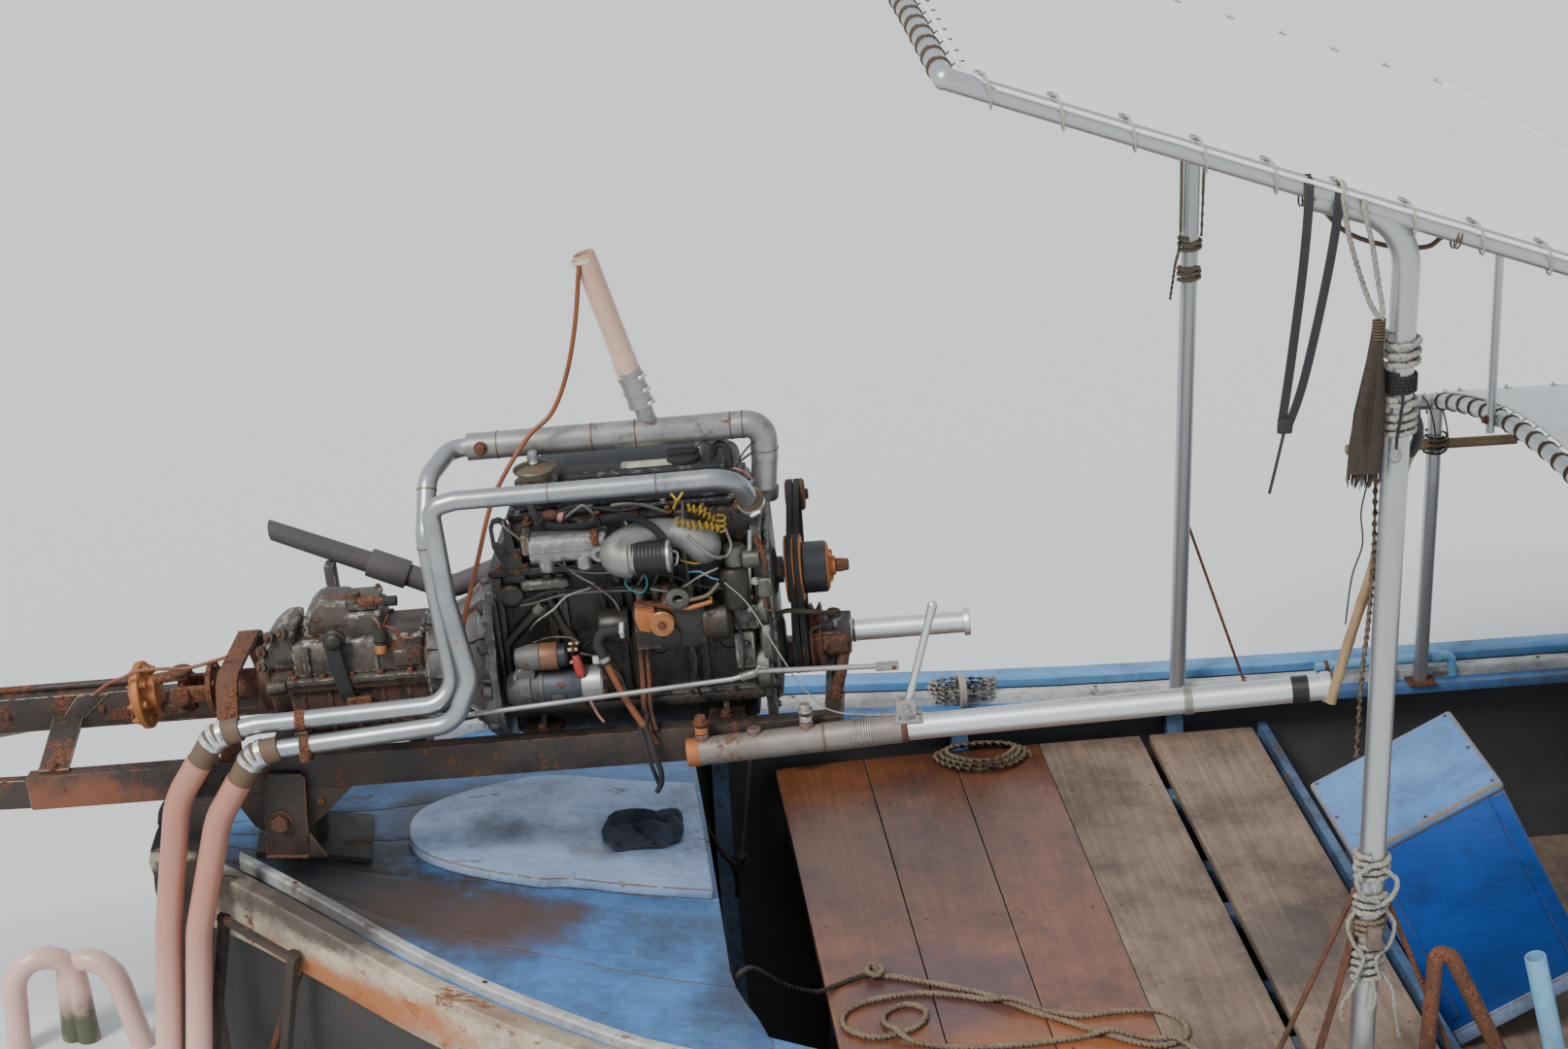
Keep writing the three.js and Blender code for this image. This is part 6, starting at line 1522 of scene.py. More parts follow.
@dataclass
class PassengerCanopy(Canopy):
    """The lower, longer roof over the passengers."""

    posts: tuple = (-1720, -330, 1060, 2450)
    strut_y: float = 450.0

    def frame_pipes(self) -> None:
        """Side rails, end bows, posts and the struts up to the helm canopy."""
        part = Part("passenger_canopy_pipes", "hull")
        for s in (-1, 1):
            part.rod((self.x0 - 62, s * self.half, self.aft_z), (self.x1, s * self.half, self.aft_z),
                     self.pipe, GALVANISED, n=20)
            for x in self.posts:
                y = min(self.half - 10, FORM.at(x)[0] - 88)
                foot = FORM.deck_edge(x)
                part.tube(bent([(x, s * y, foot + 0.5), (x, s * y, self.aft_z - 220),
                                (x, s * self.half, self.aft_z)], 60, 5), 20, GALVANISED, n=20)
                part.box((x - 38, s * y - 38, foot + 0.4), (x + 38, s * y + 38, foot + 8), BROWN_RUST, 2)
            y = s * self.strut_y
            low = self.height(self.x0, y)
            top = helm_rail(HELM_FORE) + HELM_RISE * (1 - (y / self.half) ** 2) - self.pipe
            part.rod((self.x0 - 28, y, low - 34), (-1758, y, top - 6), 11, GALVANISED, n=16)
            part.rod((self.x0 - 46, y, low), (self.x0 + 30, y, low), 6, BROWN_RUST, n=14)
            part.bolt((self.x0 - 40, y, low), (-1, 0, 0), 17, BROWN_RUST)
            part.bolt((self.x0 + 22, y, low), (1, 0, 0), 17, BROWN_RUST)
        for x in (self.posts[0], self.posts[-1]):
            part.tube(self.arc(x, self.half), self.pipe, GALVANISED, n=18)
        part.done(replaces=["passenger_canopy_frame"], slot="galvanised")
        part = Part("passenger_canopy_bows", "hull")
        for x in self.posts[1:-1]:
            part.tube(self.arc(x, self.half - 22), self.pipe, GALVANISED, n=18)
        part.rod((self.posts[0] + 23, 0, self.aft_z + self.rise - 9),
                 (self.posts[-1] - 23, 0, self.aft_z + self.rise - 9), 13, GALVANISED)
        part.done(replaces=["passenger_bows"], slot="galvanised")


@dataclass
class Rigging:
    """Lashings, stays and hanging gear on the helm canopy's posts and rails."""

    post_x: float = -2440.0
    post_y: float = -940.0
    post_r: float = 27.0
    far_x: float = -2400.0
    far_y: float = 940.0

    def wraps(self, part: Part, low: float, high: float, r: float, turns: float, look: "Finish",
              x: Optional[float] = None, y: Optional[float] = None, post_r: Optional[float] = None) -> None:
        """Turns of rope round a post between two heights."""
        x, y = self.post_x if x is None else x, self.post_y if y is None else y
        reach = (self.post_r if post_r is None else post_r) + r * 0.9
        part.tube(wound((x, y, low), (x, y, high), reach, turns, 22), r, look, n=10, strands=3, lay=r * 9)

    def near_post(self) -> None:
        """White rope, black cord and a wooden block bound to the starboard post."""
        part = Part("near_post_lashings", "hull")
        x, y = self.post_x, self.post_y
        for low, high, turns in ((2088, 2148, 3.1), (2008, 2022, 1.2), (1948, 1992, 2.6), (972, 1026, 3.2),
                                 (893, 935, 2.4), (736, 818, 4.3)):
            self.wraps(part, low, high, 7.0, turns, WHITE_ROPE)
        self.wraps(part, 2034, 2072, 4.5, 5.2, BLACK_CORD)
        self.wraps(part, 842, 884, 6.0, 3.0, NATURAL_ROPE)
        part.box((x - 16, y - 56, 822), (x + 14, y - 36, 872), BARE_BOARD, 4)
        part.tube(flowing([(x - 2, y - 36, 2040), (x - 6, y - 40, 2000), (x - 10, y - 38, 1960),
                           (x - 12, y - 39, 1925)], 5), 3.2, BLACK_CORD, n=8)
        ring = [(x - 12 + 11 * math.cos(TAU * k / 16), y - 39, 1912 + 14 * math.sin(TAU * k / 16))
                for k in range(17)]
        part.tube(ring, 2.4, SPOTTED_STEEL, n=8)
        for route in (((x - 30, y - 12, 900), (x - 52, y - 24, 872), (x - 40, y - 34, 830),
                       (x - 20, y - 42, 800), (x - 34, y - 40, 752)),
                      ((x + 26, y - 20, 902), (x + 46, y - 30, 868), (x + 34, y - 38, 824),
                       (x + 6, y - 44, 796), (x + 20, y - 40, 744)),
                      ((x - 20, y - 30, 760), (x - 44, y - 46, 726), (x - 62, y - 44, 690),
                       (x - 58, y - 40, 652)),
                      ((x + 18, y - 30, 764), (x + 44, y - 46, 722), (x + 52, y - 48, 672),
                       (x + 66, y - 44, 606)),
                      ((x + 2, y - 34, 748), (x + 8, y - 48, 704), (x - 6, y - 50, 656))):
            part.tube(flowing(route, 6), 5.0, WHITE_ROPE, n=9, strands=3, lay=40)
        for route in (((x - 10, y - 33, 1010), (x - 44, y - 44, 990), (x - 30, y - 48, 950),
                       (x + 4, y - 44, 930)),
                      ((x + 12, y - 33, 1004), (x + 42, y - 42, 976), (x + 30, y - 46, 940),
                       (x + 2, y - 42, 918))):
            part.tube(flowing(route, 6), 6.0, WHITE_ROPE, n=9, strands=3, lay=46)
        part.done()
        part = Part("near_post_stays", "hull")
        deck = FORM.deck_edge(x)
        part.rod((x - 12, y, 990), (x - 200, y + 5, deck + 3), 6, BROWN_RUST, n=12)
        part.rod((x + 16, y, 960), (x + 206, y + 2, deck + 3), 6, BROWN_RUST, n=12)
        part.prism("x", [(y - 9, 0), (y + 9, 0), (y + 9, 8), (y - 9, 8)], x - 220, x - 180, BROWN_RUST, 1)
        rows = [[Vector((a + dx, b, z)) for dx, b in ((-4, y - 13), (-4, y + 13), (4, y + 13), (4, y - 13))]
                for a, z in ((x - 28, 850), (x - 62, 690), (x - 104, deck + 3))]
        part.skin(rows, BROWN_RUST, closed=True, caps=True, bevel=1)
        for a in (x - 200, x - 104, x + 206):
            part.box((a - 22, y - 18, deck + 0.4), (a + 22, y + 20, deck + 6), BROWN_RUST, 1.5)
            part.bolt((a, y + 12, deck + 6), (0, 0, 1), 9, BROWN_RUST)
        part.done()

    def far_post(self) -> None:
        """Natural rope on the port post, its hanging ends and the thin stay."""
        part = Part("far_post_lashings", "hull")
        x, y = self.far_x, self.far_y
        for low, high, turns in ((1770, 1802, 2.2), (1690, 1724, 2.4)):
            self.wraps(part, low, high, 6.0, turns, NATURAL_ROPE, x, y, 22)
        top = helm_rail(x) - 10
        for route in (((x - 24, y, top), (x - 31, y - 6, 2220), (x - 29, y - 8, 2000),
                       (x - 28, y - 10, 1800), (x - 40, y - 12, 1730), (x - 50, y - 10, 1640)),
                      ((x + 22, y - 10, top), (x + 29, y - 14, 2200), (x + 28, y - 14, 1980),
                       (x + 27, y - 12, 1806))):
            part.tube(flowing(route, 6), 4.6, NATURAL_ROPE, n=8, strands=3, lay=38)
        deck = FORM.deck_edge(x)
        part.rod((x + 16, y, 1010), (x + 196, y, deck + 3), 4, BROWN_RUST, n=10)
        part.box((x + 178, y - 14, deck + 0.4), (x + 216, y + 14, deck + 6), BROWN_RUST, 1.5)
        part.done()

    def broom(self) -> None:
        """The soft broom hung up by its rope, with its dark tail of cord."""
        y = self.post_y - 35
        part = Part("hung_broom", "hull")
        rows = []
        for k in range(15):
            t = k / 14
            centre = Vector((-2499 - 14 * t, y, 2186 - 300 * t))
            wide, thick = 11 + 23 * min(1.0, t * 1.25) ** 1.2, 10 + 7 * t
            row = []
            for j in range(26):
                a = TAU * j / 26
                rough = 1 + 0.13 * noise.noise(Vector((4 * math.cos(a), 4 * math.sin(a), 2 * t)))
                row.append(centre + Vector((wide * math.cos(a) * rough, thick * math.sin(a) * rough,
                                            -5 * rough * (k == 14))))
            rows.append(row)
        part.skin(rows, BRISTLE, closed=True, caps=True)
        for k in range(70):
            a, m = 2.399963 * k, 0.4 + 0.6 * ((k * 37) % 70) / 70
            foot = Vector((-2513 + 34 * m * math.cos(a), y + 16 * m * math.sin(a),
                           1868 - 22 * ((k * 53) % 9) / 9))
            head = Vector((-2501 + 12 * m * math.cos(a), y + 11 * m * math.sin(a), 2140))
            part.tube([head, (head + foot) / 2 + Vector((8 * math.cos(a), 5 * math.sin(a), 0)), foot], 1.2,
                      BRISTLE, n=4)
        part.tube(wound((-2499, y, 2150), (-2498, y, 2192), 12, 7, 12), 2.0, BROWN_CORD, n=6)
        part.done()
        part = Part("broom_rope", "hull")
        rail = Vector((-2570, -950, helm_rail(-2570)))
        route = [rail + Vector((0, 24, 4)), rail + Vector((-4, 10, 27)), rail + Vector((-7, -16, 24)),
                 rail + Vector((-9, -27, -4)), (-2562, -978, 2345), (-2525, -976, 2240), (-2503, y, 2200),
                 (-2494, y - 6, 2206), (-2504, y - 2, 2262), (-2521, -978, 2343), (-2537, -979, 2400),
                 (-2540, -977, 2428)]
        line = flowing(route, 8)
        part.tube(line, 6.0, WHITE_ROPE, n=10, strands=3, lay=48)
        rope = part.done()
        part = Part("broom_tail_cord", "hull")
        line = flowing([(-2500, y - 2, 1880), (-2514, y - 2, 1800), (-2508, y - 2, 1730),
                        (-2526, y - 2, 1660), (-2534, y - 2, 1560)], 8)
        part.tube(line, 1.8, BLACK_CORD, n=7)
        tail = part.done()

    def pole(self) -> None:
        """Bamboo pole with a grey hook, hung on the starboard post, and the rope beside it."""
        part = Part("hooked_bamboo", "hull")
        y = self.post_y + 42
        hook = flowing([(-2436, y - 6, 1926), (-2430, y - 4, 1960), (-2404, y, 1972), (-2384, y, 1942),
                        (-2386, y, 1904), (-2404, y, 1872)], 6)
        part.tube(hook, 11, SLEEVE_BLACK, n=16, radius=lambda t: 1 - 0.25 * (t < 0.08))
        stem = [Vector((-2400, y, 1880)), Vector((-2455, y, 1660)), Vector((-2500, y, 1487)),
                Vector((-2532, y, 1352))]
        part.tube(flowing(stem, 10), 10.5, BAMBOO, n=16,
                  radius=lambda t: 1 + 0.10 * (abs((t * 6) % 1 - 0.5) > 0.46))
        part.done()
        part = Part("hanging_rope", "hull")
        x = self.post_x - 32
        line = flowing([(x, self.post_y + 6, 1960), (x - 3, self.post_y + 8, 1880),
                        (x + 2, self.post_y + 10, 1709), (x, self.post_y + 10, 1560),
                        (x - 8, self.post_y + 10, 1413), (x - 10, self.post_y + 10, 1240)], 8)
        part.tube(line, 6.5, NATURAL_ROPE, n=10, strands=3, lay=50)
        rope = part.done()

    def sling(self) -> None:
        """A black webbing loop over the rail, and the thin bent rod under the roof."""
        part = Part("webbing_sling", "hull")
        a, b = -2646, -2583
        za, zb = (helm_rail(x) for x in (a, b))
        route = flowing([(b, -950, zb + 24), (b - 4, -977, zb - 4), (b - 22, -979, zb - 150),
                         (-2640, -978, 2080), (-2668, -978, 1985), (-2676, -978, 1972), (-2680, -978, 1990),
                         (-2668, -978, 2110), (a - 6, -979, za - 150), (a, -977, za - 4),
                         (a, -950, za + 24)], 5)
        rows = [[p + Vector((dx, dy, 0)) for dx, dy in ((-9, -1.2), (9, -1.2), (9, 1.2), (-9, 1.2))]
                for p in route]
        part.skin(rows, WEBBING, closed=True, caps=True)
        part.box((-2688, -988, 1972), (-2660, -968, 2004), WEBBING, 5)
        part.tube(flowing([(-2676, -980, 1974), (-2690, -980, 1900), (-2700, -980, 1850)], 6), 3.4, WEBBING,
                  n=8)
        part.done()
        part = Part("bent_cane", "hull")
        cane = flowing([(-2652, -934, 2440), (-2631, -920, 2425), (-2597, -905, 2392), (-2545, -900, 2342),
                        (-2464, -900, 2312), (-2390, -900, 2306), (-2362, -905, 2325), (-2346, -925, 2338)],
                       6)
        part.tube(cane, 5, BROWN_CORD, n=10)
        for x, z in ((-2648, 2440), (-2348, 2342)):
            part.tube(wound((x - 8, -947, z), (x + 8, -947, z - 3), 25, 2.2, 14), 2.0, BROWN_CORD, n=6)
        part.done()

    def far_pole(self) -> None:
        """Pale pole tied under the passengers' port rail."""
        part = Part("port_pole", "hull")
        part.rod((-1964, 930, 1196), (-1500, 930, 1198), 14, BAMBOO, n=18)
        for x in (-1745, -1712):
            part.tube(wound((x - 8, 940, 1252), (x + 8, 940, 1254), 78, 1.2, 30), 2.6, BROWN_CORD, n=6)
        part.tube(wound((-1722, 936, 1170), (-1718, 936, 1230), 28, 4.2, 16), 3.0, BLACK_CORD, n=6)
        part.done()

    def build(self) -> None:
        """Builds all of the rigging."""
        for step in (self.near_post, self.far_post, self.broom, self.pole, self.sling, self.far_pole):
            step()


@dataclass
class DeckGear:
    """Ropes and the rag that lie on the boards and decks, and small fittings there."""

    board_z: float = 400.0
    rope_r: float = 7.5

    def rope(self, name: str, line: Sequence[Vector], r: float, look: "Finish", far_end: str,
             lay: str) -> None:
        part = Part(name, "hull")
        part.tube(line, r, look, n=12, strands=3, lay=r * 8)
        obj = part.done()

    def mooring(self) -> None:
        """The pale mooring rope flaked on the boards, tied to the darker rope from the stern deck."""
        route = ((-3392, -246), (-3340, -262), (-3286, -289), (-3160, -360), (-3064, -451), (-2967, -528),
                 (-2880, -600), (-2800, -640), (-2735, -610), (-2733, -540), (-2779, -492), (-2867, -484),
                 (-2961, -488), (-3082, -427), (-3207, -366), (-3306, -340), (-3410, -355), (-3480, -400),
                 (-3486, -470), (-3420, -515), (-3330, -486), (-3296, -420), (-3340, -385), (-3398, -430),
                 (-3372, -520), (-3270, -578), (-3108, -592), (-2951, -580), (-2850, -592), (-2760, -640),
                 (-2712, -708), (-2770, -770), (-2950, -772), (-3150, -700), (-3300, -650), (-3430, -622),
                 (-3478, -700), (-3400, -782), (-3260, -800), (-3150, -788))
        self.rope("mooring_rope", laid(route, self.board_z, self.rope_r), self.rope_r, NATURAL_ROPE, "bare",
                  "loose")
        dark = flowing([(-3748, -540, 588), (-3722, -530, 612), (-3690, -505, 600), (-3620, -430, 510),
                        (-3540, -335, 428), (-3490, -280, 407), (-3430, -248, 407), (-3396, -244, 408)], 8)
        self.rope("stern_line_dark", dark, 6.5, DARK_ROPE, "knot", "loose")
        part = Part("rope_knot", "hull")
        part.tube(flowing([(-3412, -236, 408), (-3390, -228, 420), (-3372, -246, 424), (-3388, -262, 416),
                           (-3410, -252, 424), (-3400, -234, 430), (-3380, -240, 414)], 6), 7, NATURAL_ROPE,
                  n=10, strands=3, lay=50)
        part.done()

    def coils(self) -> None:
        """A coil on the port boards and a hank on the port side deck."""
        r = self.rope_r
        line = []
        for k in range(3 * 26 + 1):
            a = TAU * k / 26
            reach = 132 - 5.6 * r * 0.36 * k / 26 + 6 * math.sin(3 * a)
            line.append(Vector((-2955 + reach * math.cos(a), 838 + reach * 0.62 * math.sin(a),
                                self.board_z + r + 2.1 * r * k / 26 * 0.5)))
        self.rope("coiled_rope", line, r, NATURAL_ROPE, "bare", "coiled")
        line = []
        deck = FORM.deck_edge(-2990)
        for k in range(5 * 20 + 1):
            a = TAU * k / 20
            line.append(Vector((-2990 + (88 + 4 * math.sin(k / 9)) * math.cos(a), 952 + 24 * math.sin(a),
                                deck + 6.5 + 13.2 * k / 20)))
        part = Part("rope_hank", "hull")
        part.tube(line, 6.2, WHITE_ROPE, n=10, strands=3, lay=50)
        part.tube(wound((-3000, 952, deck + 36), (-2984, 952, deck + 36), 44, 3.1, 22), 5.0, WHITE_ROPE,
                  n=8)
        part.done()

    def bilge(self) -> None:
        """The slack rope with a knot that hangs in the gap between stern deck and boards."""
        line = flowing([(-3560, 850, 524), (-3575, 826, 500), (-3600, 740, 400), (-3622, 640, 330),
                        (-3640, 545, 300), (-3680, 490, 350), (-3730, 450, 470), (-3756, 436, 572)], 8)
        self.rope("bilge_rope", line, 7.0, DARK_ROPE, "object", "hanging")
        part = Part("bilge_knot", "hull")
        c = Vector((-3641, 545, 300))
        part.tube(flowing([c + Vector(d)
                           for d in ((-16, 10, 8), (10, 16, 14), (18, -8, 2), (-4, -18, -12), (-20, 0, -4),
                                     (2, 14, -14), (20, 4, 10), (-2, -14, 18), (-10, -2, -26),
                                     (-6, -6, -60), (-8, -4, -96))], 5), 7.0, DARK_ROPE, n=9, strands=3,
                  lay=44)
        part.done()

    def rag(self) -> None:
        """A dark oily rag dropped on the raised platform."""
        part = Part("oily_rag", "hull")
        rows, flat = [], 0.0
        n = 30
        for i in range(n + 1):
            row = []
            for j in range(n + 1):
                u, v = -1 + 2 * i / n, -1 + 2 * j / n
                round_off = 1 - 0.16 * (u * v) ** 2
                x = -3905 + 98 * u * round_off + 10 * noise.noise(Vector((u * 1.4, v * 1.4, 3)))
                y = -12 + 96 * v * round_off + 34 * u + 12 * noise.noise(Vector((u * 1.4, v * 1.4, 8)))
                edge = 1 - max(abs(u), abs(v)) ** 4
                broad = abs(noise.noise(Vector((u * 1.6 + v * 0.7, v * 2.1, 0.4)))) * 62
                fold = broad + 9 * abs(noise.noise(Vector((u * 5, v * 5, 1.0))))
                row.append(Vector((x, y, FORM.deck(x, y) + 27 + 2.4 + fold * (0.25 + 0.75 * edge))))
            rows.append(row)
        part.skin(rows, RAG_CLOTH, wall=1.6)
        rag = part.done()
        for a, b in zip(rows, rows[1:]):
            for p, q, r, t in zip(a, a[1:], b, b[1:]):
                flat += ((q - p).cross(r - p).length + (q - t).cross(r - t).length) / 2

    def pipe_end(self) -> None:
        """Pale blue plastic pipe with an elbow on the port side deck, and its clips."""
        part = Part("port_drain_pipe", "hull")
        deck = FORM.deck_edge(-1760)
        line = bent([(-2010, 962, deck + 52), (-1660, 962, deck + 62), (-1628, 962, deck + 60),
                     (-1620, 962, deck + 3)], 26, 6)
        part.tube(line, 13.5, PVC_BLUE, n=20)
        part.turned([(13, 0), (17, 1), (17, 30), (13, 31)], (-1690, 962, deck + 61),
                    (-1640, 962, deck + 62), PVC_BLUE, 24)
        for x in (-1980, -1800):
            part.box((x - 14, 945, deck + 0.4), (x + 14, 979, deck + 41), BARE_BOARD, 3)
            part.band((x, 962, deck + 53 + (x + 2010) * 0.0285), (1, 0, 0.03), 14, 10, BROWN_RUST)
        part.done()

    def build(self) -> None:
        """Builds all of the deck gear."""
        for step in (self.mooring, self.coils, self.bilge, self.rag, self.pipe_end):
            step()


# Engine frame
@dataclass
class EngineBed:
    """The two long channels, their cross bars and the hoop round the gearbox output, in engine space."""

    fore: float = 1265.0
    low: float = 63.0
    high: float = 143.0

    def channel(self, part: Part, path: Sequence[tuple[float, float, float]], s: int, low: float,
                high: float, finish: "Finish", wide: float = 40.0) -> None:
        """Adds a C channel along a path of (u, v, height shift), open inwards on side s."""
        t = 5.0
        rows = []
        for u, v, dw in path:
            a, b = v, v - s * wide
            corners = ((a, low), (a, high), (b, high), (b, high - t), (a - s * t, high - t),
                       (a - s * t, low + t), (b, low + t), (b, low))
            rows.append([Vector((u, y, w + dw)) for y, w in corners])
        part.skin(rows, finish, closed=True, caps=True, bevel=1.2)

    def build(self) -> None:
        """Builds the bed."""
        part = engine_part("frame_rails_rusty")
        for s in (-1, 1):
            self.channel(part, [(u, s * 230, 0) for u in stretch(-560, self.fore, 300)], s, self.low,
                         self.high, RUSTY_STEEL)
            arm = [(-560, s * 228, 0), (-640, s * 222, -1), (-760, s * 206, -8), (-880, s * 178, -6),
                   (-1000, s * 130, 30), (-1120, s * 84, 84), (-1180, s * 62, 104)]
            self.channel(part, arm, s, self.low + 4, self.high - 6, TAIL_PAINT, 26)
            outline = [(-110, 64), (170, 64), (110, 10), (70, -22), (38, -40), (-38, -40), (-66, -22)]
            a, b = sorted((s * 217, s * 227))
            part.prism("y", outline, a, b, RUSTY_STEEL, 1.5)
            part.bolt((92, s * 227, 34), (0, s, 0), 13, BROWN_RUST)
        for u0, u1 in ((-40, 0), (285, 325), (1225, 1265)):
            part.box((u0, -226, self.low + 6), (u1, 226, self.low + 46), RUSTY_STEEL, 2)
        for s in (-1, 1):
            for u in (-480, -300, -120, 60, 430, 700, 980):
                part.ball((u, s * 230.5, 110 + 6 * math.sin(u)), 3.2, BROWN_RUST)
        hoop = [(-96, -212, 120), (-96, -210, 190), (-96, -150, 296), (-96, -118, 312), (-96, 118, 312),
                (-96, 150, 296), (-96, 210, 190), (-96, 212, 120)]
        rows = []
        for p in bent(hoop, 12, 3):
            q = Vector(p)
            centre = Vector((-96, 0, 190))
            inn = (centre - q).normalized() * 16
            rows.append([q + Vector((-24, 0, 0)), q + Vector((24, 0, 0)), q + Vector((24, 0, 0)) + inn,
                         q + Vector((-24, 0, 0)) + inn])
        part.skin(rows, BROWN_RUST, closed=True, caps=True, bevel=1.5)
        for s in (-1, 1):
            part.box((-124, s * 212 - 9, 60), (-68, s * 212 + 9, 150), BROWN_RUST, 2)
        part.done(replaces=["frame_rails"], slot="rust", sharp=40)


@dataclass
class Pivot:
    """The fork on its post, with the cross bolt that the frame tilts on."""

    plate_in: float = 240.0
    plate_out: float = 252.0

    def build(self) -> None:
        """Builds the fork and its base."""
        part = Part("pivot_fork_plates", "swivel",
                    ENGINE_SPACE @ Matrix.Rotation(math.radians(4.2), 4, "Y"))
        for s in (-1, 1):
            a, b = sorted((s * self.plate_in, s * self.plate_out))
            part.prism("y", [(-42, -92), (56, -92), (62, 104), (54, 116), (-20, 116), (-32, 100)], a, b,
                       RUSTY_STEEL, 2.5)
            part.rod((0, s * 215, 0), (0, s * 268, 0), 12, BROWN_RUST)
            part.rod((0, s * self.plate_out, 0), (0, s * 256, 0), 27, BROWN_RUST, n=28, bevel=1)
            part.rod((0, s * 256, 0), (0, s * 272, 0), 21, BROWN_RUST, n=6, bevel=2)
            part.prism("y", [(57, -90), (96, -90), (60, -30)], *sorted((s * 243, s * 249)), RUSTY_STEEL, 1)
            part.tube([(-40, s * self.plate_out, -88), (54, s * self.plate_out, -88)], 4, BROWN_RUST, n=8)
        part.box((-36, -250, -92), (36, 250, -62), RUSTY_STEEL, 3)
        part.rod((0, 0, -92), (0, 0, -205), 30, RUSTY_STEEL, n=32, bevel=2)
        part.done(replaces=["pivot_fork"], slot="rust", sharp=40)


